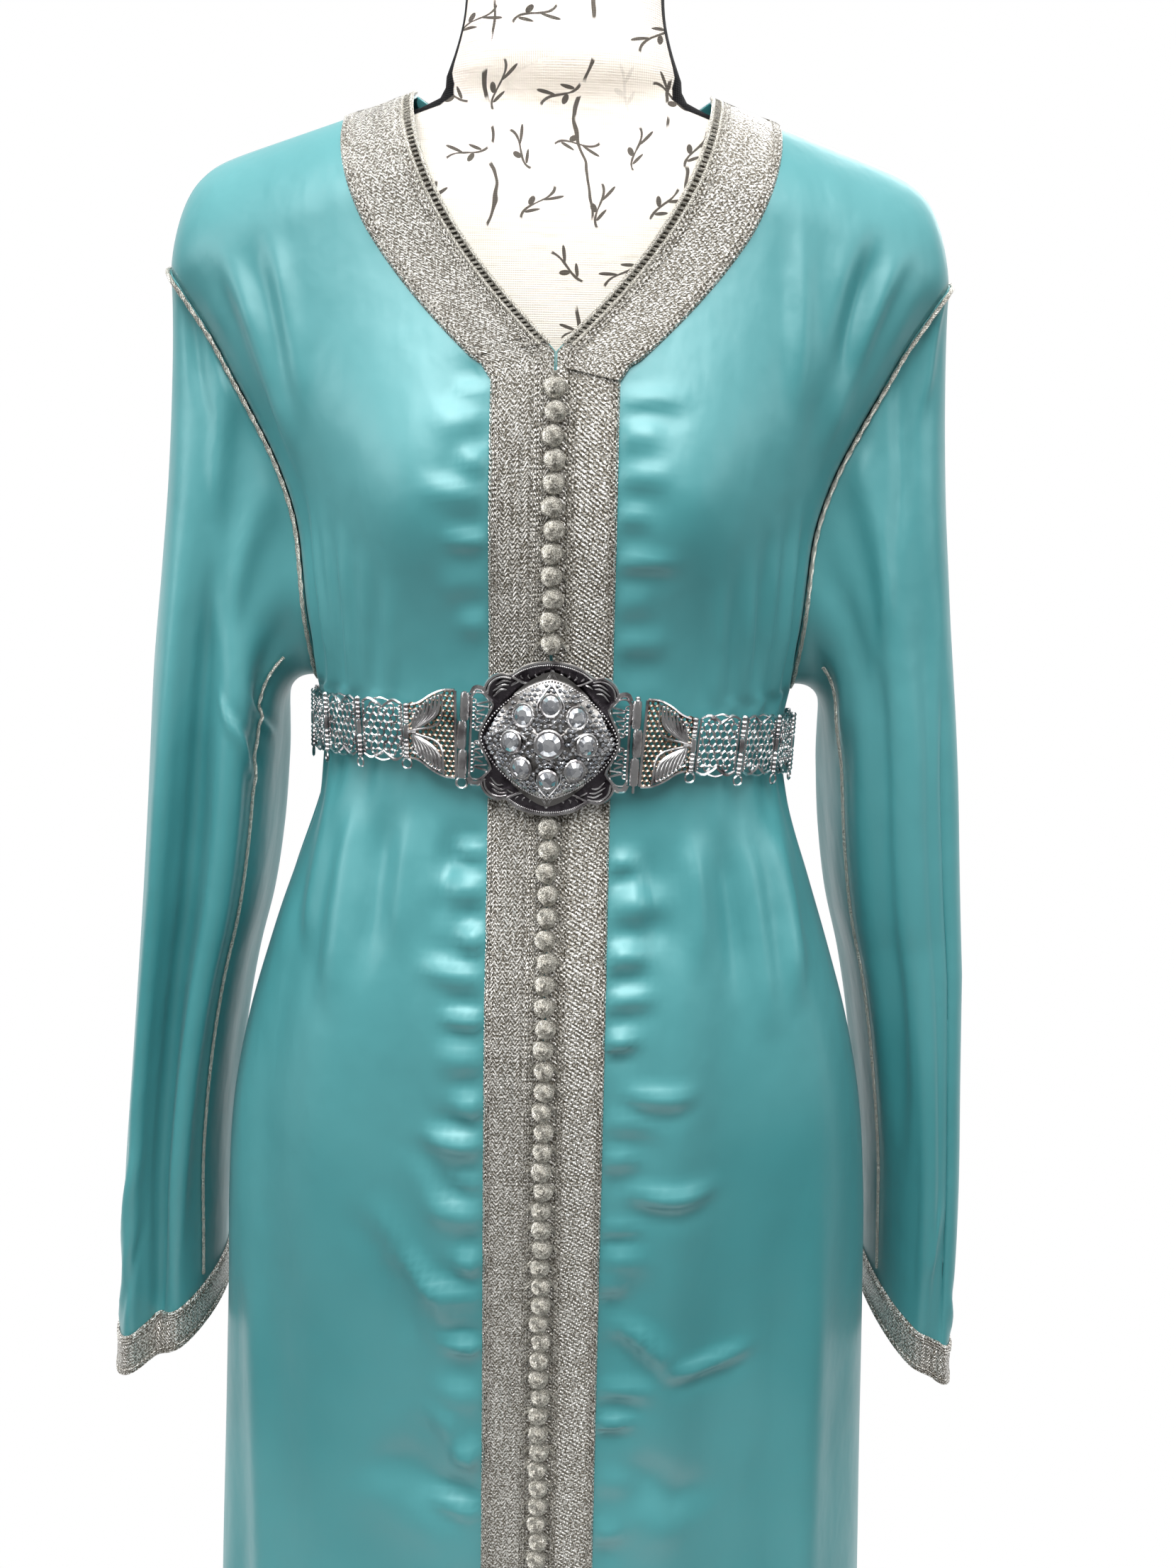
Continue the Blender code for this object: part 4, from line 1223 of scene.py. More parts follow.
LEFT_FRONT_CREASES = creases(
    # Drags from the shoulder to the armpit, then the drape over the bust
    (-0.190, 1.372, -0.152, 1.235, 0.0042, 0.0085, 0.008, 0.30),
    (-0.172, 1.390, -0.132, 1.262, 0.0028, 0.0070, 0.006),
    (-0.146, 1.400, -0.126, 1.290, 0.0016, 0.0060, 0.003),
    (-0.163, 1.335, -0.128, 1.215, -0.0020, 0.0060, 0.006),
    # Upright gathers between the bust and the belt
    (-0.128, 1.268, -0.1165, 1.150, 0.0026, 0.0036, 0.002, 0.40),
    (-0.120, 1.266, -0.1105, 1.145, 0.0024, 0.0032, 0.002, 0.40),
    (-0.1085, 1.258, -0.1035, 1.145, 0.0026, 0.0038, 0.001, 0.40),
    (-0.096, 1.245, -0.0945, 1.145, 0.0020, 0.0042, 0.0, 0.45),
    (-0.082, 1.235, -0.083, 1.145, 0.0014, 0.0050, 0.0, 0.45),
    # Long drags that run from the belt down and out over the hip
    (-0.111, 1.122, -0.131, 1.010, 0.0030, 0.0065, -0.003, 0.30),
    (-0.098, 1.120, -0.116, 0.985, 0.0022, 0.0070, -0.004, 0.30),
    (-0.085, 1.112, -0.096, 1.000, -0.0018, 0.0070, -0.003, 0.35),
    (-0.070, 1.108, -0.078, 1.020, 0.0018, 0.0065, -0.002, 0.35),
    (-0.050, 1.104, -0.056, 1.040, -0.0016, 0.0055, 0.0, 0.40),
    # Slanting pulls beside the band lower down
    (-0.094, 0.896, -0.058, 0.800, 0.0026, 0.0062, 0.004, 0.35),
    (-0.078, 0.865, -0.046, 0.812, 0.0024, 0.0055, 0.003, 0.35),
    (-0.070, 0.930, -0.040, 0.880, -0.0016, 0.0070, 0.002),
    (-0.060, 0.770, -0.034, 0.725, 0.0018, 0.0080, 0.002),
    (-0.095, 0.740, -0.036, 0.690, -0.0026, 0.0140, 0.003),
    (-0.165, 0.920, -0.160, 0.420, 0.0030, 0.0110, 0.0, 0.30),
    (-0.120, 0.560, -0.128, 0.060, 0.0034, 0.0150, 0.0, 0.30),
    (-0.075, 0.520, -0.070, 0.050, -0.0030, 0.0150, 0.0, 0.30),
    (-0.052, 0.470, -0.088, 0.350, 0.0022, 0.0090, 0.004),
)
RIGHT_FRONT_CREASES = creases(
    (0.193, 1.385, 0.157, 1.250, 0.0046, 0.0080, -0.008, 0.30),
    (0.178, 1.398, 0.140, 1.262, 0.0030, 0.0070, -0.008),
    (0.160, 1.405, 0.146, 1.300, -0.0022, 0.0062, -0.003),
    (0.118, 1.410, 0.121, 1.300, 0.0013, 0.0055, 0.002, 0.40),
    (0.199, 1.368, 0.183, 1.325, 0.0024, 0.0045, -0.002),
    (0.138, 1.272, 0.131, 1.160, 0.0022, 0.0036, -0.001, 0.40),
    (0.126, 1.272, 0.1185, 1.150, 0.0026, 0.0032, -0.001, 0.40),
    (0.115, 1.262, 0.111, 1.148, 0.0024, 0.0036, 0.0, 0.40),
    (0.101, 1.246, 0.100, 1.146, 0.0020, 0.0044, 0.0, 0.45),
    (0.086, 1.230, 0.087, 1.145, 0.0014, 0.0052, 0.0, 0.45),
    (0.114, 1.108, 0.136, 0.990, 0.0030, 0.0065, 0.003, 0.30),
    (0.100, 1.106, 0.120, 0.975, 0.0024, 0.0072, 0.004, 0.30),
    (0.088, 1.100, 0.102, 1.000, -0.0018, 0.0070, 0.003, 0.35),
    (0.072, 1.098, 0.080, 1.015, 0.0020, 0.0060, 0.002, 0.35),
    (0.052, 1.094, 0.060, 1.030, -0.0016, 0.0055, 0.0, 0.40),
    # The smiling crease and the pulls beside it
    (0.042, 0.826, 0.074, 0.790, 0.0026, 0.0062, 0.002, 0.35),
    (0.062, 0.794, 0.122, 0.806, 0.0026, 0.0048, -0.008, 0.35),
    (0.036, 0.962, 0.086, 0.958, 0.0022, 0.0056, -0.004, 0.40),
    (0.040, 0.905, 0.100, 0.902, 0.0026, 0.0060, -0.005, 0.40),
    (0.046, 0.740, 0.100, 0.700, -0.0026, 0.0130, -0.003),
    (0.150, 0.930, 0.156, 0.450, 0.0030, 0.0110, 0.0, 0.30),
    (0.118, 0.540, 0.126, 0.050, -0.0034, 0.0150, 0.0, 0.30),
    (0.070, 0.500, 0.078, 0.050, 0.0032, 0.0140, 0.0, 0.30),
    (0.050, 0.430, 0.092, 0.330, 0.0022, 0.0090, -0.004),
)
BACK_CREASES = creases(
    (-0.178, 1.395, -0.120, 1.250, 0.0040, 0.0085, -0.008, 0.32),
    (-0.150, 1.410, -0.100, 1.270, 0.0028, 0.0080, -0.008, 0.32),
    (-0.112, 1.405, -0.074, 1.280, -0.0022, 0.0080, -0.005, 0.35),
    (0.180, 1.392, 0.124, 1.245, 0.0040, 0.0080, 0.008, 0.32),
    (0.148, 1.412, 0.104, 1.262, 0.0030, 0.0080, 0.007, 0.32),
    (0.108, 1.400, 0.068, 1.290, -0.0020, 0.0080, 0.005, 0.35),
    (-0.060, 1.392, 0.064, 1.386, -0.0020, 0.0110, -0.014, 0.40),
    (-0.104, 1.262, -0.098, 1.150, 0.0026, 0.0044, 0.0, 0.40),
    (-0.084, 1.250, -0.080, 1.148, 0.0026, 0.0042, 0.0, 0.40),
    (-0.064, 1.258, -0.062, 1.148, 0.0024, 0.0046, 0.0, 0.40),
    (-0.040, 1.240, -0.041, 1.148, 0.0020, 0.0048, 0.0, 0.42),
    (-0.014, 1.246, -0.016, 1.148, 0.0018, 0.0050, 0.0, 0.42),
    (0.012, 1.236, 0.014, 1.148, 0.0020, 0.0048, 0.0, 0.42),
    (0.036, 1.250, 0.036, 1.148, 0.0022, 0.0044, 0.0, 0.40),
    (0.060, 1.244, 0.057, 1.148, 0.0026, 0.0046, 0.0, 0.40),
    (0.082, 1.258, 0.078, 1.150, 0.0026, 0.0042, 0.0, 0.40),
    (0.106, 1.264, 0.100, 1.150, 0.0026, 0.0044, 0.0, 0.40),
    (-0.080, 1.090, -0.104, 0.900, 0.0040, 0.0090, 0.004, 0.28),
    (-0.052, 1.094, -0.066, 0.860, 0.0040, 0.0095, 0.003, 0.28),
    (-0.020, 1.090, -0.026, 0.900, 0.0034, 0.0090, 0.0, 0.28),
    (0.016, 1.092, 0.022, 0.880, 0.0036, 0.0090, 0.0, 0.28),
    (0.048, 1.094, 0.064, 0.870, 0.0040, 0.0095, -0.003, 0.28),
    (0.078, 1.090, 0.106, 0.890, 0.0040, 0.0090, -0.004, 0.28),
    (-0.032, 0.830, -0.040, 0.200, 0.0040, 0.0160, 0.0, 0.25),
    (0.030, 0.860, 0.036, 0.120, 0.0044, 0.0160, 0.0, 0.25),
    (-0.110, 0.780, -0.120, 0.080, 0.0044, 0.0150, 0.0, 0.25),
    (0.112, 0.760, 0.124, 0.100, 0.0044, 0.0150, 0.0, 0.25),
    (-0.070, 0.640, 0.050, 0.610, 0.0020, 0.0110, -0.014, 0.40),
    (0.060, 0.720, 0.130, 0.745, 0.0020, 0.0090, -0.010, 0.40),
)
EDGE = FRONT_BAND / 2
PUCKER_REACH = (0.022, 0.034, 0.018, 0.040, 0.026, 0.030, 0.020, 0.036, 0.024, 0.032, 0.019, 0.028)
# Rows of puckers: their heights, the first reach that is used, depth and rise
LEFT_PUCKER_ROWS = (
    ((1.318, 1.302, 1.284, 1.268, 1.246, 1.222, 1.204), 0, 0.0011, 0.10),
    ((1.085, 1.064, 1.040, 1.020, 0.998, 0.975, 0.951, 0.928), 0, 0.0020, 0.12),
    ((0.905, 0.884, 0.858, 0.834, 0.806, 0.772, 0.738, 0.700), 0, 0.0018, 0.30),
    ((0.650, 0.600, 0.540, 0.480, 0.410, 0.340, 0.260, 0.180, 0.110), 0, 0.0016, 0.2),
)
RIGHT_PUCKER_ROWS = (
    ((1.312, 1.294, 1.276, 1.256, 1.234, 1.212, 1.192), 3, 0.0011, 0.10),
    ((1.078, 1.055, 1.030, 1.008, 0.986, 0.940, 0.920), 2, 0.0020, 0.06),
    ((0.880, 0.862, 0.846, 0.782, 0.760, 0.724, 0.690), 4, 0.0017, -0.14),
    ((0.640, 0.585, 0.530, 0.465, 0.400, 0.330, 0.250, 0.170, 0.100), 0, 0.0016, 0.1),
)


def front_creases(side: Side) -> tuple[Crease, ...]:
    """All creases of one front: the placed ones, then its puckers beside the braid."""
    if side is Side.LEFT:
        made, rows = LEFT_FRONT_CREASES, LEFT_PUCKER_ROWS
    else:
        made, rows = RIGHT_FRONT_CREASES, RIGHT_PUCKER_ROWS
    for heights, first, depth, rise in rows:
        made = made + pucker_row(side.value, heights, EDGE, PUCKER_REACH[first:], depth, rise)
    return made


def upper_lower(rows_low: int, rows_high: int) -> tuple[Array, Array, Array]:
    """Rows of a body panel from the hem to the shoulder seam.

    Args:
        rows_low: how many rows lie below the underarm.
        rows_high: how many lie above it.

    Returns:
        The share of the way from underarm to shoulder, 0 below, and the heights of the rows at
        the armhole's edge and at the inner edge.
    """
    lower = np.linspace(HEM_Z, UNDERARM_Z, rows_low, endpoint=False)
    share = np.linspace(0.0, 1.0, rows_high)
    outer = UNDERARM_Z + (SHOULDER_TIP[1] - UNDERARM_Z) * share
    inner = UNDERARM_Z + (NECK_POINT[1] - UNDERARM_Z) * share
    shares = np.concatenate((np.zeros(rows_low), share))
    return shares, np.concatenate((lower, outer)), np.concatenate((lower, inner))


def panel_edges(z: Array) -> tuple[Array, Array]:
    """Half width of the body, and the distance of the side seam or the armhole, at some heights."""
    half = along(SECTIONS, "half_width", z)
    return half, np.where(z > UNDERARM_Z, along(ARMHOLE, "edge", z), half)


def row_heights(shares: Array, low: Array, crown: Array) -> Array:
    """Height of each point of a body panel: level rows below, shares of the way up above.

    Args:
        shares: the share of the way from underarm to shoulder for each row.
        low: the height of each level row.
        crown: the height of the shoulder seam for each column.

    Returns:
        Heights by row and column.
    """
    upper = UNDERARM_Z + (crown[None, :] - UNDERARM_Z) * shares[:, None]
    return np.where(shares[:, None] > 0, upper, low[:, None])


def pressed(lift: Array, z: Array, belt: float) -> Array:
    """Lifts with their ridges flattened near the belt's height, where the belt holds the cloth."""
    near = np.exp(-((z - belt) / BELT_CALM) ** 2)
    return lift * np.where(lift > 0, 1.0 - BELT_PRESS * near, 1.0)


def cut_of(grid: Array, ring: bool = False) -> tuple[tuple[float, float], float]:
    """Flat cut of a cloth surface: its widest row, its longest column and its area.

    Args:
        grid: points of the surface.
        ring: whether it is a tube.

    Returns:
        Width and length of the piece of cloth, and the area of the cut.
    """
    wide = np.concatenate((grid, grid[:, :1]), axis=1) if ring else grid
    width = float(run_lengths(wide, 1)[:, -1].max())
    length = float(run_lengths(wide, 0)[-1].max())
    across = np.diff(wide, axis=1)[:-1]
    down = np.diff(wide, axis=0)[:, :-1]
    area = float(np.linalg.norm(np.cross(across, down), axis=-1).sum())
    return (round(width, 3), round(length, 3)), round(min(area, width * length), 4)


def declare_cloth(piece: Piece, grid: Array,
                  ring: bool = False) -> None:
    """Log the flat size and area that a piece of cloth was cut to.

    Args:
        piece: the cloth.
        grid: points of its surface.
        ring: whether it is a tube.
    """
    flat, area = cut_of(grid, ring)
    area = max(area, 0.31 * flat[0] * flat[1])
    LOG.info("%s: cut %.3f by %.3f m, %.4f m2", piece.name, *flat, area)


@dataclass
class Front:
    """One front of the kaftan from the middle to the side seam, with its trims' places."""

    side: Side
    rows_low: int = 280
    rows_high: int = 84
    column_cells: int = 3
    band_cells: int = 10
    panel_cells: int = 56
    fade_in: float = 0.004
    drape: float = 1.85
    pucker_gain: float = 0.5
    pucker_spread: float = 0.030

    def grid(self) -> Array:
        """Outer surface: rows of the flattened ring from hem to shoulder, columns from the middle.

        Each row starts at the inner edge, crosses the button column and the braid, and then
        runs to the side seam or the armhole, lifted along its normal by the creases.
        """
        sign = self.side.value
        shares, outer_z, inner_z = upper_lower(self.rows_low, self.rows_high)
        half, edge = panel_edges(outer_z)
        start = np.where(inner_z > V_POINT_Z, neckline(inner_z), 0.0) + SEAM / 2
        band = band_width(shares)
        to_braid = np.linspace(0.0, 1.0, self.column_cells + 1)[None, :-1]
        over_braid = np.linspace(0.0, 1.0, self.band_cells + 1)[None, :-1]
        across = np.linspace(0.0, 1.0, self.panel_cells + 1)
        inner, column_half = start[:, None], BUTTON_COLUMN / 2
        x = np.concatenate((
            inner + column_half * to_braid,
            inner + column_half + (band[:, None] - column_half) * over_braid,
            column_x((start + band)[:, None], edge[:, None], half[:, None], across[None, :]),
        ), axis=1)
        column = np.concatenate((to_braid[0], 1.0 + over_braid[0], 2.0 + 11.0 * across))
        crown = shoulder_height(x[-1])
        z = row_heights(shares, outer_z, crown)
        y = -cloth_depth("front", x, z)
        y[:, -1] = np.minimum(y[:, -1], -SEAM_DEPTH)
        y[-1, :] = np.minimum(y[-1, :], -SHOULDER_DEPTH)
        plain = dressed_rows(sign * x, y, z, np.broadcast_to(column[None, :], x.shape))
        lift = self.drape * creased(front_creases(self.side), plain[..., 0], plain[..., 2])
        lift = lift * (1.0 + self.pucker_gain * np.exp(-((x - EDGE) / self.pucker_spread) ** 2))
        from_band = x - (start + band)[:, None]
        below = shoulder_height(x) - z
        inside = (edge[:, None] - x) + EDGE_CALM * (shares[:, None] <= 0)
        calm = smooth(0.0, self.fade_in, from_band) * smooth(0.0, SHOULDER_CALM, below)
        calm = calm * smooth(0.0, EDGE_CALM, inside)
        lift = pressed(lift * calm, plain[..., 2], BELT_Z)
        return plain + sign * grid_normals(plain) * lift[..., None]

    def rows_up_to(self, share: float) -> int:
        """Number of the row at a share of the way from underarm to shoulder."""
        return self.rows_low + int(round(share * (self.rows_high - 1)))

    def build(self, grid: Array) -> Piece:
        """Make the panel and give it its thickness."""
        word = self.side.word
        shape = Shape().surface(grid, flip=self.side.value < 0)
        piece = shape.make(f"{word}_front_panel", SATIN, f"front_{word}", sharp=CLOTH_SHARP)
        add_wall(piece, CLOTH)
        declare_cloth(piece, grid)
        return piece


@dataclass
class Back:
    """The back of the kaftan in one width."""

    rows_low: int = 150
    rows_high: int = 64
    half_cells: int = 58
    knots: tuple[float, ...] = (0.0, 0.0253, 0.0507, 0.076, 0.094, 0.111, 0.1265, 0.142, 0.1575,
                                0.173, 0.1885, 0.204)

    def grid(self) -> Array:
        """Outer surface: rows from hem to shoulder, columns from +X to -X.

        Low rows are spaced along the flattened ring, and high rows turn into straight shares
        of the shoulder's width.
        """
        shares, outer_z, _ = upper_lower(self.rows_low, self.rows_high)
        half, edge = panel_edges(outer_z)
        even = np.linspace(0.0, 1.0, self.half_cells + 1)
        number = even * (len(self.knots) - 1)
        top = np.interp(number, np.arange(len(self.knots)), np.array(self.knots))
        ring = column_x(np.zeros_like(edge)[:, None], edge[:, None], half[:, None], even[None, :])
        straight = edge[:, None] * (top / top[-1])[None, :]
        x = ring * (1.0 - shares[:, None]) + straight * shares[:, None]
        dip = BACK_NECK_DROP * np.clip(1.0 - (top / NECK_POINT[0]) ** 2, 0.0, 1.0)
        crown = shoulder_height(top) - dip
        z = row_heights(shares, outer_z, crown)
        y = cloth_depth("back", x, z)
        y[:, -1] = np.maximum(y[:, -1], SEAM_DEPTH)
        y[-1, :] = np.maximum(y[-1, :], SHOULDER_DEPTH)
        column = np.broadcast_to(number[None, :], x.shape)
        right, left = (dressed_rows(sign * x, y, z, column) for sign in (1, -1))
        plain = np.concatenate((right[:, ::-1], left[:, 1:]), axis=1)
        lift = creased(BACK_CREASES, plain[..., 0], plain[..., 2])
        inside = edge[:, None] - x
        inside = np.concatenate((inside[:, ::-1], inside[:, 1:]), axis=1)
        below = shoulder_height(plain[..., 0]) - plain[..., 2]
        calm = smooth(0.0, EDGE_CALM, inside) * smooth(0.0, SHOULDER_CALM, below)
        lift = pressed(lift * calm, plain[..., 2], BELT_Z - BELT_FALL_BACK * BELT_BACK)
        return plain + grid_normals(plain) * lift[..., None]

    def band_rows(self) -> slice:
        """Rows that the neck band covers."""
        return slice(self.rows_low + int(round(BACK_BAND_SHARE * (self.rows_high - 1))), None)

    def build(self, grid: Array) -> Piece:
        """Make the panel and give it its thickness."""
        piece = Shape().surface(grid).make("back_panel", SATIN, "back", sharp=CLOTH_SHARP)
        add_wall(piece, CLOTH)
        declare_cloth(piece, grid)
        return piece


def armhole_loop(side: int, turn: Array) -> Array:
    """Points on the armhole's edge: turn 0 is the shoulder tip, a quarter is the front."""
    share = (1.0 + np.cos(turn)) / 2
    z = UNDERARM_Z + (SHOULDER_TIP[1] - UNDERARM_Z) * share
    x = along(ARMHOLE, "edge", z)
    depth = np.where(np.sin(turn) > 0.0, -cloth_depth("front", x, z), cloth_depth("back", x, z))
    return np.stack((side * x, depth * (np.abs(np.sin(turn)) > 1e-6), z), axis=-1)


# Places on a sleeve: metres round it from its outer edge by the front, and metres down it
SLEEVE_ROUND = 0.44
SLEEVE_STEP = 0.050
LEFT_SLEEVE_CREASES = creases(
    # The deep upright valley of the front and the lobe beside it
    (0.106, 0.12, 0.112, 0.66, -0.0065, 0.0065, 0.002, 0.16, -0.25),
    (0.072, 0.20, 0.070, 0.64, 0.0030, 0.0130, 0.0, 0.25),
    (0.150, 0.10, 0.136, 0.60, 0.0050, 0.0140, -0.006, 0.22),
    (0.004, 0.17, -0.002, 0.66, -0.0036, 0.0060, 0.0, 0.16),
    (-0.030, 0.20, -0.036, 0.64, 0.0034, 0.0130, 0.0, 0.25),
    # Short drags under the armhole's cord
    (0.040, 0.010, 0.066, 0.085, -0.0022, 0.0090, 0.003, 0.30),
    (0.074, 0.008, 0.098, 0.120, 0.0030, 0.0080, 0.004, 0.25),
    (0.112, 0.010, 0.130, 0.150, 0.0024, 0.0080, 0.004, 0.25),
    (0.158, 0.020, 0.176, 0.210, -0.0026, 0.0090, 0.0, 0.30),
    # Slanting pulls towards the elbow and above the cuff
    (0.120, 0.205, 0.182, 0.262, 0.0026, 0.0065, -0.006, 0.35),
    (0.150, 0.180, 0.204, 0.214, 0.0020, 0.0055, -0.004, 0.35),
    (0.040, 0.560, 0.086, 0.470, 0.0020, 0.0080, 0.0, 0.35),
    (0.052, 0.592, 0.094, 0.520, -0.0018, 0.0070, 0.0, 0.35),
    (0.030, 0.604, 0.060, 0.560, 0.0014, 0.0055, 0.0, 0.40),
    (0.236, 0.12, 0.246, 0.60, 0.0040, 0.0120, 0.0, 0.25),
    (0.290, 0.10, 0.300, 0.62, -0.0050, 0.0110, 0.0, 0.22),
    (0.340, 0.14, 0.334, 0.60, 0.0046, 0.0120, 0.0, 0.25),
    (0.386, 0.08, 0.376, 0.62, -0.0040, 0.0110, 0.0, 0.22),
)
RIGHT_SLEEVE_CREASES = creases(
    (0.058, 0.200, 0.070, 0.640, -0.0038, 0.0090, 0.004, 0.22),
    (0.030, 0.200, 0.036, 0.640, 0.0026, 0.0120, 0.0, 0.25),
    (0.098, 0.160, 0.104, 0.640, 0.0042, 0.0140, 0.003, 0.22),
    (0.136, 0.120, 0.150, 0.520, -0.0050, 0.0110, 0.004, 0.22),
    (0.030, 0.008, 0.060, 0.090, 0.0026, 0.0080, 0.003, 0.28),
    (0.064, 0.008, 0.092, 0.130, -0.0028, 0.0085, 0.003, 0.28),
    (0.098, 0.008, 0.122, 0.170, 0.0034, 0.0080, 0.004, 0.25),
    (0.134, 0.010, 0.152, 0.210, -0.0026, 0.0080, 0.0, 0.28),
    (0.160, 0.020, 0.176, 0.240, 0.0028, 0.0085, 0.0, 0.28),
    (0.110, 0.560, 0.060, 0.500, 0.0018, 0.0080, 0.0, 0.35),
    (0.024, 0.600, 0.050, 0.560, 0.0014, 0.0055, 0.0, 0.40),
    (0.236, 0.120, 0.240, 0.600, 0.0040, 0.0120, 0.0, 0.25),
    (0.292, 0.100, 0.300, 0.620, -0.0050, 0.0110, 0.0, 0.22),
    (0.342, 0.140, 0.336, 0.600, 0.0046, 0.0120, 0.0, 0.25),
    (0.392, 0.080, 0.380, 0.620, -0.0038, 0.0110, 0.0, 0.22),
)


@dataclass(frozen=True)
class Hang:
    """How a sleeve hangs: its creases, the valley of its front and its fall.

    The valley lies at a turn in degrees. The sleeve leans backwards by the lean at its lower end,
    and its outer edge comes in by the narrowing.
    """

    creases: tuple[Crease, ...]
    valley_turn: float
    valley_depth: float
    lean: float
    narrow: float


HANGS = {
    Side.LEFT: Hang(LEFT_SLEEVE_CREASES, 88.0, 1.0, 0.014, 0.0),
    Side.RIGHT: Hang(RIGHT_SLEEVE_CREASES, 70.0, 0.55, 0.040, 0.012),
}


@dataclass
class Sleeve:
    """A wide sleeve from the armhole to its cuff band."""

    side: Side
    rows: int = 160
    columns: int = 120
    middle_y: float = 0.006
    valley_spread: float = 0.40
    cord: float = 0.0013
    seam_cord_radius: float = 0.0010

    def grid(self) -> Array:
        """Outer surface: leaning ellipses whose first rings merge into the armhole's loop.

        A ring's point at turn a is inner + (outer - inner) (1 + cos a) / 2 in x and z, and
        minus half_depth sin a in y, with the front valley pressed in round its own turn.
        """
        side, hang = self.side.value, HANGS[self.side]
        turn = turns(self.columns)
        share = ((1.0 + np.cos(turn)) / 2)[None, :]
        row = np.linspace(0.0, SLEEVE_RINGS["row"][-1], self.rows)
        ring = {name: along(SLEEVE_RINGS, name, row, "row")[:, None] for name in SLEEVE_RINGS}
        lean = hang.lean * np.clip((SHOULDER_TIP[1] - ring["outer_z"]) / 0.35, 0.0, 1.0)
        outer_x = ring["outer_x"] - hang.narrow * np.clip((1.0 - ring["outer_z"]) / 0.25, 0.0, 1.0)
        x = ring["inner_x"] + (outer_x - ring["inner_x"]) * share
        z = ring["inner_z"] + (ring["outer_z"] - ring["inner_z"]) * share
        dent = np.exp(-((turn - math.radians(hang.valley_turn)) / self.valley_spread) ** 2)[None, :]
        y = self.middle_y - ring["half_depth"] * np.sin(turn)[None, :] + lean * (1.0 - share)
        y = y + ring["valley"] * hang.valley_depth * dent
        full = np.stack((side * x, y, z), axis=-1)
        away, down = np.full_like(turn, side * 0.0007), -0.0005 * np.cos(turn)
        shift = np.stack((away, np.zeros_like(turn), down), axis=-1)
        loop = armhole_loop(side, turn) + shift
        merge = np.clip(ring["merge"], 0.0, 1.0)[:, :, None]
        plain = loop[None, :, :] * (1.0 - merge) + full * merge
        u = (turn / (2 * math.pi) * SLEEVE_ROUND)[None, :]
        v = (row * SLEEVE_STEP)[:, None]
        lift = creased(hang.creases, u, v) + creased(hang.creases, u - SLEEVE_ROUND, v)
        ripple = 0.0007 * np.sin(turn * 23.0)[None, :] * np.exp(-(v / 0.012) ** 2)
        lift = (lift + ripple) * smooth(0.0, 0.010, v) * smooth(0.0, 0.35, 12.6 - row)[:, None]
        reach = np.abs(plain[..., 0]) - 0.16
        lift = lift * np.where(reach < 0.0, np.clip(1.0 + reach / 0.03, 0.25, 1.0), 1.0)
        return plain + side * grid_normals(plain, ring=True) * lift[..., None]

    def cuff_start(self) -> int:
        """Number of the first row that the cuff band covers."""
        return int(round(CUFF_ROW / SLEEVE_RINGS["row"][-1] * (self.rows - 1)))

    def build(self, grid: Array) -> list[Piece]:
        """Make the sleeve, its cuff band and its two cords."""
        word = self.side.word
        shape = Shape().surface(grid, ring=True, flip=self.side.value < 0)
        sleeve = shape.make(f"{word}_sleeve_shell", SATIN, f"sleeve_{word}", sharp=CLOTH_SHARP)
        add_wall(sleeve, CLOTH)
        declare_cloth(sleeve, grid, ring=True)
        return [sleeve, self.cuff(grid), self.armhole_cord(grid), self.seam_cord(grid)]

    def cuff(self, grid: Array) -> Piece:
        """The cuff band: the sleeve's last rows moved out, with three cords at each edge.

        Relief over its height s is the trim's thickness with a ridge exp(-((s - c) / w)^2) for
        each cord, and it runs down to the cloth at both edges.
        """
        side, word = self.side.value, self.side.word
        normals = side * grid_normals(grid, ring=True)
        start = self.cuff_start()
        rows = braid_columns(start, self.rows - 1.0)
        base, out = resample(grid, rows, 0), resample(normals, rows, 0)
        share = braid_columns(0.0, 1.0)
        relief = braid_relief(share)[:, None, None]
        top = base + out * (SEAM + relief)
        under = (base + out * SEAM)[[-1, 0]]
        closed = np.concatenate((top, under, top[:1]))
        piece = trim(closed, f"{word}_cuff_braid", CHAIN_BRAID, f"cuff_band_{word}", side < 0)
        declare_cloth(piece, top, ring=True)
        return piece

    def armhole_cord(self, grid: Array) -> Piece:
        """The twisted cord round the armhole, between the body's and the sleeve's normals."""
        side, word = self.side.value, self.side.word
        turn = turns(self.columns)
        body = np.stack((np.full_like(turn, side * 0.9), -0.45 * np.sin(turn),
                         0.3 * np.clip(np.cos(turn), 0.0, 1.0)), axis=-1)
        body /= np.linalg.norm(body, axis=-1, keepdims=True)
        away = body + side * grid_normals(grid, ring=True)[2]
        spread = np.linalg.norm(away, axis=-1, keepdims=True)
        reach = self.cord / np.maximum(spread / 2, 0.55) - 0.0002
        at = np.linspace(0, self.columns, 300, endpoint=False)
        path, out = (resample(net, at, 0, True) for net in (grid[0] + away / spread * reach, away))
        name, node = f"{word}_armhole_twist", f"armhole_cord_{word}"
        return twisted_cord(name, node, path, out, self.cord, closed=True)

    def seam_cord(self, grid: Array) -> Piece:
        """The twisted cord down the sleeve's underarm seam."""
        side, word = self.side.value, self.side.word
        normals = side * grid_normals(grid, ring=True)
        column = int(round(8 / 20 * self.columns))
        first = int(round(2 / 13 * (self.rows - 1)))
        rows = slice(first, self.cuff_start() - 2)
        out = normals[rows, column]
        path = grid[rows, column] + out * 0.0015
        name, node = f"{word}_seam_twist", f"sleeve_cord_{word}"
        return twisted_cord(name, node, path, out, self.seam_cord_radius)


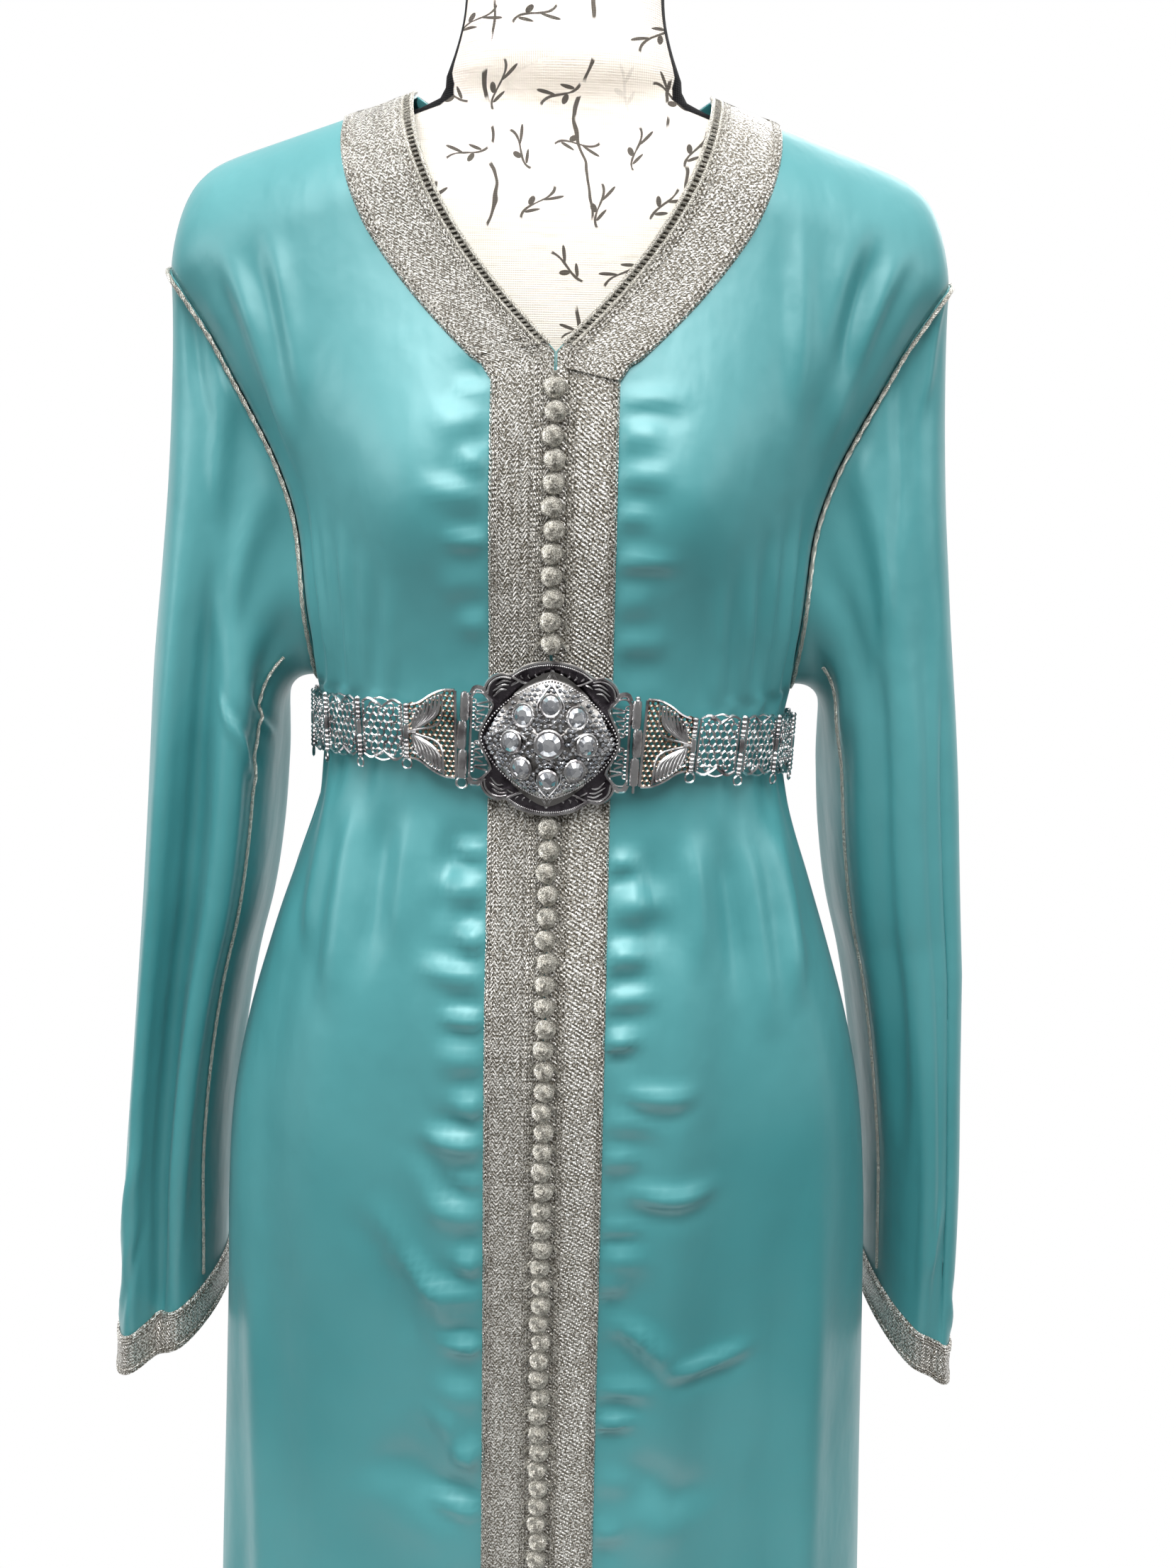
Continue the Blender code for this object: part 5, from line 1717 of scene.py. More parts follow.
def resample(grid: Array, at: Array, axis: int, loop: bool = False) -> Array:
    """Read rows or columns of a grid between its own ones, in straight shares.

    Args:
        grid: points of a surface or a path.
        at: fractional row or column numbers.
        axis: 0 for rows, 1 for columns.
        loop: whether the last joins the first.

    Returns:
        The points at those places.
    """
    count = grid.shape[axis]
    low = np.floor(at).astype(int)
    if loop:
        low, high = low % count, (low + 1) % count
    else:
        low = np.clip(low, 0, count - 2)
        high = low + 1
    shape = [1] * grid.ndim
    shape[axis] = len(at)
    part = (at - (low if not loop else np.floor(at))).reshape(shape)
    return np.take(grid, low, axis=axis) * (1 - part) + np.take(grid, high, axis=axis) * part


def braid_relief(share: Array) -> Array:
    """Height of a braid over its width: flat, with three round cords beside each edge."""
    body = TRIM * smooth(0.0, 0.02, share) * smooth(0.0, 0.02, 1.0 - share)
    cords = sum(np.exp(-((share - place) / CORD_SPREAD) ** 2) for place in CORD_PLACES)
    field = smooth(0.16, 0.24, share) * smooth(0.16, 0.24, 1.0 - share)
    return body * (0.42 + 0.75 * cords + 0.42 * field)


def braid_columns(start: float, end: float) -> Array:
    """Places across a braid, close together where its edge cords lie."""
    edge = np.linspace(0.0, 0.172, 20)
    share = np.concatenate((edge, np.linspace(0.172, 0.828, 16)[1:-1], 1.0 - edge[::-1]))
    return start + (end - start) * share


def trim(section: Array, name: str, finish: Finish, node: str, flip: bool) -> Piece:
    """Make a sewn-on trim from the closed section that runs round it.

    Args:
        section: points whose columns run round the section.
        name: the piece's name.
        finish: the finish it wears.
        node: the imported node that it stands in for.
        flip: whether the faces are turned round.

    Returns:
        The trim's piece.
    """
    return Shape().surface(section, ring=True, flip=flip).make(name, finish, node, weld=True)


def twisted_cord(name: str, node: str, path: Array, reference: Array, radius: float,
                 closed: bool = False) -> Piece:
    """A cord whose two strands wind round each other.

    The section is r (0.72 + 0.28 |cos a|), turned a half turn every twist length of the path.

    Args:
        name: the piece's name.
        node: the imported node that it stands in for.
        path: points of the cord's middle.
        reference: the way out of the cloth at each point.
        radius: the cord's radius.
        closed: whether it is a loop.

    Returns:
        The cord's piece.
    """
    walked = run_lengths(path[:, None], 0)[:, 0]
    total = walked[-1]
    count = int(total / (radius * 0.9))
    at = np.interp(np.linspace(0.0, total, count, endpoint=not closed), walked, np.arange(len(path)))
    path, reference = (resample(net, at, 0, closed) for net in (path, reference))
    windings = round(total / (radius * 7.0))
    spin = np.linspace(0.0, windings * math.pi, len(path), endpoint=not closed)
    sides = 8
    angle = turns(sides)
    ring = carried(path, round_profile(1.0, sides), reference, closed, caps=False)
    ring = ring[:len(path)]
    middle = path[:, None]
    size = radius * (0.72 + 0.28 * np.abs(np.cos(angle[None, :] - spin[:, None])))
    grid = middle + (ring - middle) * size[..., None]
    if closed:
        grid = np.concatenate((grid, grid[:1]))
    else:
        grid = np.concatenate((path[None, :1].repeat(sides, 1), grid, path[None, -1:].repeat(sides, 1)))
    return trim(grid, name, CORD, node, True)


def band_shell(base: Array, out: Array, relief: Array, low: float = SEAM) -> Array:
    """Closed section of a trim on a panel: its raised top, then its underside.

    Args:
        base: the panel's points under the trim.
        out: the panel's normals there.
        relief: height of the trim over its width.
        low: how far the underside lies from the panel.

    Returns:
        A grid whose columns run round the section and whose first and last rows close it.
    """
    top = base + out * (low + relief)[None, :, None]
    under = (base + out * low)[:, ::-1][:, 1:-1:4]
    grid = np.concatenate((top, under), axis=1)
    first = np.broadcast_to(grid[:1].mean(axis=1, keepdims=True), grid[:1].shape)
    last = np.broadcast_to(grid[-1:].mean(axis=1, keepdims=True), grid[-1:].shape)
    return np.concatenate((first, grid, last))


@dataclass
class FrontTrims:
    """Braid and neck band of one front, laid on the panel's own points."""

    front: Front
    inner_column: float = 0.25
    lap: float = 0.0011
    lap_rows: int = 7
    edging: tuple[float, float, float] = (0.05, 1.0, 2.1)
    edging_lift: float = 0.0012
    rung: float = 0.00075
    rung_pitch: float = 0.0027

    def build(self, grid: Array) -> list[Piece]:
        """Make the braid from the V to the hem and the neck band up to the shoulder."""
        sign = self.front.side.value
        normals = sign * grid_normals(grid)
        return [self.braid(grid, normals), self.neck_band(grid, normals), self.ladder(grid, normals)]

    def finish(self) -> Finish:
        """The left braid is of plaits side by side, the right one of slanting strands."""
        return CHAIN_BRAID if self.front.side is Side.LEFT else BRAID

    def braid(self, grid: Array, normals: Array) -> Piece:
        """The upright braid, with a low strip under the buttons at its inner side."""
        sign, word = self.front.side.value, self.front.side.word
        rows = slice(0, self.front.rows_up_to(V_SHARE) + 2)
        braid_start = float(self.front.column_cells)
        braid_end = braid_start + self.front.band_cells
        columns = np.concatenate((np.linspace(self.inner_column, braid_start - 0.2, 7),
                                  braid_columns(braid_start, braid_end)))
        share = (columns - braid_start) / (braid_end - braid_start)
        low_strip = 0.0005 + 0.0003 * np.cos(columns * 2 * math.pi / 1.4)
        relief = np.where(share < 0.0, low_strip, braid_relief(np.clip(share, 0.0, 1.0)))
        relief[0] = 0.0
        base, out = (resample(net[rows], columns, 1) for net in (grid, normals))
        shell = band_shell(base, out, relief)
        piece = trim(shell, f"{word}_front_braid", self.finish(), f"front_braid_{word}", sign < 0)
        declare_cloth(piece, base)
        return piece

    def neck_band(self, grid: Array, normals: Array) -> Piece:
        """The band beside the neckline; the right one laps over the upright braid's end."""
        sign, word = self.front.side.value, self.front.side.word
        start = self.front.rows_up_to(V_SHARE)
        lap_rows = 3 if sign > 0 else 0
        rows = slice(start - lap_rows, None)
        last = self.front.column_cells + self.front.band_cells
        columns = braid_columns(2.2, last)
        share = braid_columns(0.0, 1.0)
        base, out = (resample(net[rows], columns, 1) for net in (grid, normals))
        if sign > 0:
            left = self.lap_rows - np.arange(base.shape[0], dtype=float)
            base = base + out * (self.lap * smooth(0.0, self.lap_rows, left))[:, None, None]
        shell = band_shell(base, out, braid_relief(share))
        piece = trim(shell, f"{word}_neck_braid", self.finish(), f"neck_band_{word}", sign < 0)
        declare_cloth(piece, base)
        return piece

    def ladder(self, grid: Array, normals: Array) -> Piece:
        """The open edging inside the neck band: two cords with short rungs over a dark strip that paints
        the shade in the gaps.
        """
        sign, word = self.front.side.value, self.front.side.word
        start = self.front.rows_up_to(V_SHARE)
        rows = np.arange(start, grid.shape[0])
        edge, out = (resample(net[rows], np.array(self.edging), 1) for net in (grid, normals))
        raised = edge + out * self.edging_lift
        shape = Shape()
        for column, radius in ((0, 0.0011), (2, 0.0009)):
            cord = carried(raised[:, column], round_profile(radius, 6), out[:, column])
            shape.surface(cord, ring=True, flip=True)
        walked = run_lengths(edge[:, 1][:, None], 0)[:, 0]
        stations = np.arange(0.002, walked[-1] - 0.001, self.rung_pitch)
        at = np.interp(stations, walked, np.arange(len(walked)))
        inner, outer, lift = (resample(net, at, 0) for net in (raised[:, 0], raised[:, 2], out[:, 1]))
        shape.copies(unit_bar(), bars_between(inner, outer, lift, self.rung), flip=True)
        piece = shape.make(f"{word}_neck_ladder", CORD, f"neck_band_{word}", weld=True)
        # The dark strip under the rungs is painted shade: a dark shell that stands for the shadow seen
        # through the gaps.
        columns = np.linspace(0.10, 2.15, 6)
        base, lift = (resample(net[rows], columns, 1) for net in (grid, normals))
        relief = np.array((0.0, 0.0002, 0.0002, 0.0002, 0.0002, 0.0))
        shell = band_shell(base, lift, relief)
        trim(shell, f"{word}_neck_lining", SHADE, f"neck_band_{word}", sign < 0)
        return piece


def bars_between(start: Array, end: Array, up: Array, radius: float) -> Array:
    """Matrices that lay a unit bar between two rows of points.

    Args:
        start: where each bar starts.
        end: where each bar ends.
        up: a way out of the cloth for each bar.
        radius: half its thickness.

    Returns:
        One 4 by 4 matrix for each bar: X runs from start to end, Y and Z carry the radius.
    """
    ahead = end - start
    way = ahead / np.linalg.norm(ahead, axis=-1, keepdims=True)
    side = np.cross(up, way)
    side /= np.linalg.norm(side, axis=-1, keepdims=True)
    over = np.cross(way, side)
    places = np.zeros((len(start), 4, 4))
    places[:, :3, 0] = ahead
    places[:, :3, 1] = side * radius
    places[:, :3, 2] = over * radius
    places[:, :3, 3] = start
    places[:, 3, 3] = 1.0
    return places


@dataclass
class BackBand:
    """The neck band across the back."""

    back: Back
    half_width: float = 0.110
    cells: int = 120
    rounding: float = 0.985

    def build(self, grid: Array) -> Piece:
        """Lay the band on the back's top rows, as wide as the front bands are at the shoulder.

        Beyond the neck its height falls as sqrt(1 - c t^2), where t is the share of the way out
        along the shoulder and c is just below 1, so that its lower edge rounds up to the seam.
        """
        rows = self.back.band_rows()
        middle = self.back.half_cells
        reach = 5 / 11 * self.back.half_cells
        columns = np.linspace(middle - reach, middle + reach, self.cells)
        normals = grid_normals(grid)
        base, out = (resample(net[rows], columns, 1) for net in (grid, normals))
        last = base.shape[0] - 1.0
        neck = NECK_POINT[0]
        beyond = np.clip((np.abs(base[-1, :, 0]) - neck) / (self.half_width - neck), 0.0, 1.0)
        height = np.sqrt(1.0 - self.rounding * beyond ** 2)
        at = last - (last - braid_columns(0.0, last)[:, None]) * height
        low = np.minimum(np.floor(at), last - 1.0).astype(int)
        share = (at - low)[..., None]
        across = np.arange(self.cells)[None, :]
        base, out = (np.swapaxes(net[low, across] * (1.0 - share) + net[low + 1, across] * share, 0, 1)
                     for net in (base, out))
        shell = band_shell(base, out, braid_relief(braid_columns(0.0, 1.0)))
        piece = trim(shell, "back_neck_braid", BRAID, "neck_band_back", True)
        declare_cloth(piece, base)
        return piece


@dataclass
class ButtonRows:
    """Knotted thread balls in one column, with the cord loops that hold them."""

    pitch: float = 0.0114
    ball: float = 0.0052
    rows: int = 15
    columns: int = 22
    squash: float = 0.92
    loop: float = 0.0010
    spans: tuple[tuple[str, float, float], ...] = (("upper", 1.325, 1.186), ("lower", 1.104, 0.038))

    def knot(self) -> Array:
        """A ball wound from crossing strands.

        Radius r (0.84 + 0.24 max(sin(3 p + 5 q), sin(3 p - 5 q + 1)) sqrt(sin q)), where p is
        the turn and q the angle from the front. The ball is a little flatter from front to back.
        """
        q = np.linspace(0.0, math.pi, self.rows)[:, None]
        p = turns(self.columns)[None, :]
        strands = np.maximum(np.sin(3 * p + 5 * q), np.sin(3 * p - 5 * q + 1.0))
        radius = self.ball * (0.84 + 0.24 * strands * np.sin(q) ** 0.5)
        return np.stack((radius * np.sin(q) * np.cos(p), -radius * np.cos(q) * self.squash,
                         radius * np.sin(q) * np.sin(p)), axis=-1)

    def build(self, middle: Array) -> list[Piece]:
        """Make the balls above the belt and below it.

        Args:
            middle: points of the front's inner edge from hem to V.

        Returns:
            The two pieces.
        """
        made = []
        for word, top, bottom in self.spans:
            count = int((top - bottom) / self.pitch)
            number = np.arange(count)
            z = top - (number + 0.5) * self.pitch
            y = np.interp(z, middle[:, 2], middle[:, 1]) - self.ball * math.cos(math.pi / 6) - 0.0004
            sway = 0.0007 * np.sin(number * 2.3)
            centre = np.stack((sway, y, z), axis=-1)
            turn = number * 1.9 + 0.6 * np.sin(number * 5.1)
            places = np.zeros((count, 4, 4))
            places[:, 0, 0] = places[:, 2, 2] = np.cos(turn)
            places[:, 0, 2] = np.sin(turn)
            places[:, 2, 0] = -np.sin(turn)
            places[:, 1, 1] = places[:, 3, 3] = 1.0
            places[:, :3, 3] = centre
            shape = Shape().copies(self.knot(), places)
            for side in (-1, 1):
                outer = centre + np.array((side * 0.0066, 0.0040, -0.0012))
                inner = centre + np.array((side * 0.0012, 0.0034, self.pitch / 2 - 0.0004))
                out = np.tile(OUTWARD, (count, 1))
                shape.copies(unit_bar(0.4), bars_between(outer, inner, out, self.loop), flip=True)
            made.append(shape.make(f"knot_buttons_{word}", CORD, f"buttons_{word}", weld=True))
        return made


@dataclass
class DressForm:
    """The padded torso with its velvet sides, the neck cap, the pole and the base."""

    rows: int = 150
    columns: int = 120
    squareness: float = 2.2
    bust_share: float = 0.85

    def build(self) -> list[Piece]:
        """Make the torso as one closed smooth surface, and finish the cap, pole and base."""
        angle = turns(self.columns)
        z = np.linspace(FORM["height"][0], FORM["height"][-1], self.rows)[:, None]
        power = 2 / self.squareness
        across = np.sign(np.sin(angle)) * np.abs(np.sin(angle)) ** power
        ahead = -np.sign(np.cos(angle)) * np.abs(np.cos(angle)) ** power
        x = along(FORM, "half_width", z) * across[None, :]
        depth = np.where(ahead[None, :] < 0, along(FORM, "front", z), along(FORM, "back", z))
        hill = bust(x, z) * np.abs(ahead)[None, :] * self.bust_share
        lift = np.where(ahead[None, :] < 0, hill, 0.0)
        grid = np.stack((x, depth * ahead[None, :] - lift, np.broadcast_to(z, x.shape)), axis=-1)
        first, last = (np.broadcast_to(UPWARD * float(z[end, 0]), grid[:1].shape) for end in (0, -1))
        closed = np.concatenate((first, grid, last))
        torso = trim(closed, "form_torso_cover", LINEN, "form_torso", False)
        for node, finish in (("form_neck_cap", WOOD), ("form_pole", STAND), ("form_base", STAND)):
            dress_node(node, finish)
        return [torso]


def dress_node(node: str, finish: Finish) -> None:
    """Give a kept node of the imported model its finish."""
    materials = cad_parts[node].data.materials
    materials.clear()
    materials.append(finish.material())


@dataclass
class Filigree:
    """Bars, rings and beads of a belt piece, laid in its own frame and copied to its places.

    In that frame X runs along the belt, -Y points away from the waist and Z is up. Depth is how
    far something lies towards -Y.
    """

    shape: Shape
    places: Array

    def add(self, grid: Array, flip: bool, spots: Array | None = None) -> None:
        """Add a small surface at each place, or at each of some spots inside each place.

        Args:
            grid: points of the surface.
            flip: whether its faces are turned round.
            spots: matrices of the spots in the piece's own frame.
        """
        places = self.places
        if spots is not None:
            places = np.einsum("nij,mjk->nmik", places, spots).reshape(-1, 4, 4)
        mirrored = float(np.linalg.det(places[0, :3, :3])) < 0.0
        self.shape.copies(grid, places, flip=flip != mirrored)

    def bar(self, points: list[tuple[float, float]], radius: float, depth: float = 0.0,
            count: int = 9, closed: bool = False, taper: float = 0.0, sides: int = 5,
            flat: float = 1.0) -> None:
        """Add a bar on a smooth curve through a few places.

        Args:
            points: the places, each (x, z).
            radius: half the bar's thickness.
            depth: how far it lies towards the viewer.
            count: points along it.
            closed: whether it is a loop.
            taper: how much thinner its ends are, from 0 to 1.
            sides: sides of its section.
            flat: its height as a share of its width.
        """
        curve = smooth_path(points, count, closed)
        path = np.stack((curve[:, 0], np.full(len(curve), -depth), curve[:, 1]), axis=-1)
        scale = 1.0 - taper * (2.0 * np.linspace(0.0, 1.0, len(path)) - 1.0) ** 2
        self.add(carried(path, round_profile(radius, sides, flat), OUTWARD, closed, scale), True)

    def rings(self, middles: list[tuple[float, float]], reach: float, radius: float,
              depth: float = 0.0, count: int = 10) -> None:
        """Add small rings round some places.

        Args:
            middles: the places, each (x, z).
            reach: a ring's radius.
            radius: half the wire's thickness.
            depth: how far they lie towards the viewer.
            count: points round a ring.
        """
        angle = turns(count)
        path = np.stack((reach * np.cos(angle), np.zeros(count), reach * np.sin(angle)), axis=-1)
        ring = carried(path, round_profile(radius, 4), OUTWARD, closed=True)
        self.add(ring, True, spots_at(middles, depth))

    def beads(self, middles: list[tuple[float, float]], radius: float, depth: float = 0.0) -> None:
        """Add small balls at some places."""
        self.add(ball(5, 6) * radius, False, spots_at(middles, depth))

    def scroll(self, middle: tuple[float, float], reach: float, start: float, sweep: float,
               radius: float, depth: float = 0.0) -> None:
        """Add a spiral bar: its reach falls to a quarter while its bearing turns by the sweep.

        Args:
            middle: the spiral's middle (x, z).
            reach: its outer radius.
            start: the bearing in radians where it starts.
            sweep: how far it turns, in radians.
            radius: half the bar's thickness.
            depth: how far it lies towards the viewer.
        """
        t = np.linspace(0.0, 1.0, 10)
        bearing = start + sweep * t
        size = reach * (1.0 - 0.75 * t)
        path = np.stack((middle[0] + size * np.cos(bearing), np.full(10, -depth),
                         middle[1] + size * np.sin(bearing)), axis=-1)
        self.add(carried(path, round_profile(radius, 5), OUTWARD), True)

    def barrel(self, x: float, low: float, high: float, radius: float, ribs: int = 0) -> None:
        """Add an upright barrel: radius r (1 - 0.22 |cos|) where it has ribs, with rounded ends.

        Args:
            x: its place along the belt.
            low: the height of its foot.
            high: the height of its top.
            radius: r.
            ribs: how many ribs it has.
        """
        rows, sides = max(8, ribs * 6 + 4), 10
        t = np.linspace(0.0, 1.0, rows)
        size = np.full(rows, radius)
        if ribs:
            size = radius * (1.0 - 0.22 * np.abs(np.cos(t * ribs * math.pi)))
        size = size * np.minimum(1.0, np.minimum(t, 1.0 - t) * 60.0 + 0.85)
        angle = turns(sides)
        z = low + (high - low) * t
        grid = np.stack((x + size[:, None] * np.cos(angle), size[:, None] * np.sin(angle),
                         np.broadcast_to(z[:, None], (rows, sides))), axis=-1)
        ends = [np.broadcast_to(np.array((x, 0.0, end)), (1, sides, 3)) for end in (low, high)]
        self.add(np.concatenate((ends[0], grid, ends[1])), False)


def spots_at(middles: list[tuple[float, float]], depth: float) -> Array:
    """Unturned matrices at places (x, z) of a belt piece."""
    spots = np.tile(np.eye(4), (len(middles), 1, 1))
    spots[:, 0, 3] = [x for x, _ in middles]
    spots[:, 1, 3] = -depth
    spots[:, 2, 3] = [z for _, z in middles]
    return spots


def ball(rows: int, columns: int) -> Array:
    """A ball of radius 1: (sin q cos p, sin q sin p, -cos q)."""
    q = np.linspace(0.0, math.pi, rows)[:, None]
    p = turns(columns)[None, :]
    across, ahead = np.sin(q) * np.cos(p), np.sin(q) * np.sin(p)
    return np.stack(np.broadcast_arrays(across, ahead, -np.cos(q)), axis=-1)


def gem(sides: int, table_share: float, top: float = 0.85) -> Array:
    """A cut stone of radius 1 with its underside at 0: girdle, slanting crown and flat table.

    Args:
        sides: how many sides the girdle has.
        table_share: the table's radius.
        top: the table's height.

    Returns:
        Points by row and column.
    """
    reach = np.array((0.0, 1.0, 1.0, table_share, 0.0))
    level = np.array((0.0, 0.0, 0.30, top, top * 1.04))
    angle = turns(sides)
    return np.stack((reach[:, None] * np.cos(angle), reach[:, None] * np.sin(angle),
                     np.broadcast_to(level[:, None], (5, sides))), axis=-1)


def belt_corners() -> Array:
    """Points of the belt's line where its pieces meet, from the right hinge round to the left.

    The line is a flattened ring of the waist's size; z falls to the back and to the right and
    bows up a little at both ends.
    """
    angle = np.linspace(0.0, 2 * math.pi, 1441)
    power = 2 / BELT_ROUNDNESS
    x = BELT_HALF * np.sign(np.sin(angle)) * np.abs(np.sin(angle)) ** power
    reach = np.where(np.cos(angle) > 0, BELT_FRONT, BELT_BACK)
    y = -reach * np.sign(np.cos(angle)) * np.abs(np.cos(angle)) ** power
    bow = BELT_BOW * (np.hypot(y, BELT_BOW_REACH) - BELT_BOW_REACH)
    points = np.stack((x, y, BELT_Z - BELT_FALL_BACK * y + bow - BELT_FALL_RIGHT * x), axis=-1)
    run = run_lengths(points[:, None], 0)[:, 0]
    start = float(np.interp(HINGE_X, points[:400, 0], run[:400]))
    total = float(run[-1])
    wedge_end = start + WEDGE_LENGTH
    count = int(round((total - 2 * wedge_end) / LINK_PITCH))
    stations = np.linspace(wedge_end, total - wedge_end, count + 1)
    stations = np.concatenate(([start], stations, [total - start]))
    return np.stack([np.interp(stations, run, points[:, axis]) for axis in range(3)], axis=-1)


def belt_frames(start: Array, end: Array) -> Array:
    """Matrices of belt pieces: X along the belt, -Y away from the waist, at the middle."""
    along_x = (end - start) / np.linalg.norm(end - start, axis=-1, keepdims=True)
    inward = np.cross(UPWARD, along_x)
    inward /= np.linalg.norm(inward, axis=-1, keepdims=True)
    places = np.tile(np.eye(4), (len(start), 1, 1))
    places[:, :3, 0] = along_x
    places[:, :3, 1] = inward
    places[:, :3, 2] = np.cross(along_x, inward)
    places[:, :3, 3] = (start + end) / 2
    return places


@dataclass
class BeltBand:
    """The pierced links and the two winged wedges beside the buckle."""

    tall: float = LINK_HEIGHT
    wedge_tall: float = 0.0290
    knuckle: float = 0.0040
    cell: tuple[float, float] = (0.0043, 0.0037)
    wedge_cell: tuple[float, float] = (0.0030, 0.0026)

    def build(self, corners: Array) -> list[Piece]:
        """Make every link and both wedges between neighbouring corners."""
        places = belt_frames(corners[:-1], corners[1:])
        half = float(np.linalg.norm(corners[3] - corners[2])) / 2
        shape = Shape()
        self.link(Filigree(shape, places[1:-1]), half)
        self.joint(Filigree(shape, places[1:-2]), half, self.tall)
        nodes = [f"belt_link_{number:02d}" for number in range(1, len(places) - 1)]
        made = [shape.make("belt_links_lace", METAL, *nodes, weld=True)]
        mirror = np.diag((-1.0, 1.0, 1.0, 1.0))
        wedge_half = float(np.linalg.norm(corners[1] - corners[0])) / 2
        for word, place in (("right", places[:1]), ("left", places[-1:] @ mirror)):
            shape, plate = Shape(), Shape()
            self.wedge(Filigree(shape, place), Filigree(plate, place))
            self.joint(Filigree(shape, place), wedge_half, self.wedge_tall)
            for part, name, finish in ((shape, "wings", METAL), (plate, "lace", BRONZE)):
                made.append(part.make(f"{word}_wedge_{name}", finish, f"belt_wedge_{word}", weld=True))
        return made

    def link(self, lace: Filigree, half: float) -> None:
        """One link: a scalloped rim with curls, filled with rings, scrolls and beads."""
        left, right, top = -half + 0.0031, half - 0.0030, self.tall / 2
        for sign in (-1, 1):
            for end, neck, tip in ((left, -0.0022, 0.0006), (right, 0.0030, 0.0004)):
                curl = ((end, top - 0.0022), (end * 0.62, top - 0.0004), (neck, top - 0.0026),
                        (tip, top - 0.0046))
                lace.bar(flipped(curl, 1, sign), 0.0010, 0.0004, taper=0.35)
            crest = ((-0.0046, top - 0.0006), (0.0, top + 0.0004), (0.0046, top - 0.0006))
            lace.bar(flipped(crest, 1, sign), 0.0007, 0.0009, taper=0.4, count=7)
            lace.scroll((-0.0060, sign * (top - 0.0044)), 0.0026, 0.3, 5.4 * sign, 0.00060, 0.0004)
            lace.scroll((0.0066, sign * (top - 0.0044)), 0.0026, 2.6, -5.4 * sign, 0.00060, 0.0004)
        for x in (left, right):
            lace.bar([(x, -top + 0.0022), (x, 0.0), (x, top - 0.0022)], 0.00075, 0.0, count=4)
        pitch, step = self.cell
        spots = [(left + 0.0024 + pitch * column + pitch / 2 * (row % 2), -0.0092 + step * row)
                 for row in range(6) for column in range(5)]
        spots = [spot for spot in spots if spot[0] < right - 0.0012]
        lace.rings(spots, 0.0022, 0.00052, 0.0002, count=8)
        lace.beads([(x + 0.0021, z + 0.0018) for x, z in spots[::2]], 0.00075, 0.0007)
        for number, (x, z) in enumerate(spots[::3]):
            turn = 1.7 * number
            lace.scroll((x, z), 0.0031, turn, 4.2 if number % 2 else -4.2, 0.00050, 0.0008)
        for x in (left + 0.0009, right - 0.0009):
            lace.beads([(x, z) for z in np.linspace(-top + 0.0036, top - 0.0036, 9)], 0.00062, 0.0006)

    def joint(self, lace: Filigree, half: float, tall: float) -> None:
        """The ribbed barrel at a piece's end, with its plain middle knuckle and hanging ring.

        Args:
            lace: where it is added.
            half: half the piece's length.
            tall: the barrel's height.
        """
        edge = tall / 2
        lace.barrel(half, self.knuckle, edge, 0.0020, ribs=5)
        lace.barrel(half, -edge, -self.knuckle, 0.0020, ribs=5)
        lace.barrel(half, -0.0036, 0.0036, 0.0018)
        lace.rings([(half, -edge - 0.0027)], 0.0026, 0.00055, 0.0004, count=14)

    def wedge(self, wings: Filigree, lace: Filigree) -> None:
        """One wedge: two fans of leaves over a pierced plate that widens towards the buckle."""
        for sign in (-1, 1):
            rim = ((-0.0118, 0.0229), (-0.0055, 0.0224), (0.0010, 0.0196), (0.0070, 0.0156),
                   (0.0124, 0.0136))
            wings.bar(flipped(rim, 1, sign), 0.00075, 0.0003, count=14)
            for number in range(7):
                share = number / 6
                tip = (-0.0042 + 0.0122 * share, sign * (0.0206 - 0.0078 * share ** 1.3))
                middle = (-0.0030 + 0.0125 * share + 0.0012, sign * (0.0098 - 0.0042 * share))
                root = (0.0112 - 0.0010 * (1 - share), sign * 0.0010)
                radius = 0.00125 - 0.0003 * share
                wings.bar([root, middle, tip], radius, 0.0010, count=10, taper=0.55, flat=0.8)
                wings.beads([(tip[0] + 0.0007, tip[1] - sign * 0.0012)], 0.0007, 0.0017)
            vein = ((0.0106, 0.0006), (-0.0036, 0.0058), (-0.0058, 0.0212))
            wings.bar(flipped(vein, 1, sign), 0.00060, 0.0013, count=12)
            wings.rings([(0.0098, sign * 0.0094)], 0.0021, 0.00055, 0.0008, count=10)
            wings.beads([(0.0098, sign * 0.0094), (0.0066, sign * 0.0132)], 0.0008, 0.0010)
        post = [(-0.0120, -0.0224), (-0.0120, 0.0), (-0.0120, 0.0224)]
        wings.bar(post, 0.0011, 0.0002, count=4, flat=0.6)
        wings.bar([(0.0090, 0.0), (0.0136, 0.0)], 0.0012, 0.0012, count=4)
        pitch, step = self.wedge_cell
        spots = [(-0.0106 + pitch * column + pitch / 2 * (row % 2), -0.0208 + step * row)
                 for row in range(17) for column in range(8)]
        spots = [(x, z) for x, z in spots if abs(z) < 0.0225 - 0.36 * (x + 0.0118) and x < 0.0125]
        lace.rings(spots, 0.00158, 0.00068, 0.0, count=8)


@dataclass(frozen=True)
class Seat:
    """Size of a shape seated on the dome: across, upwards, along its lean, and its foot's lift."""

    wide: float
    tall: float
    deep: float
    lift: float


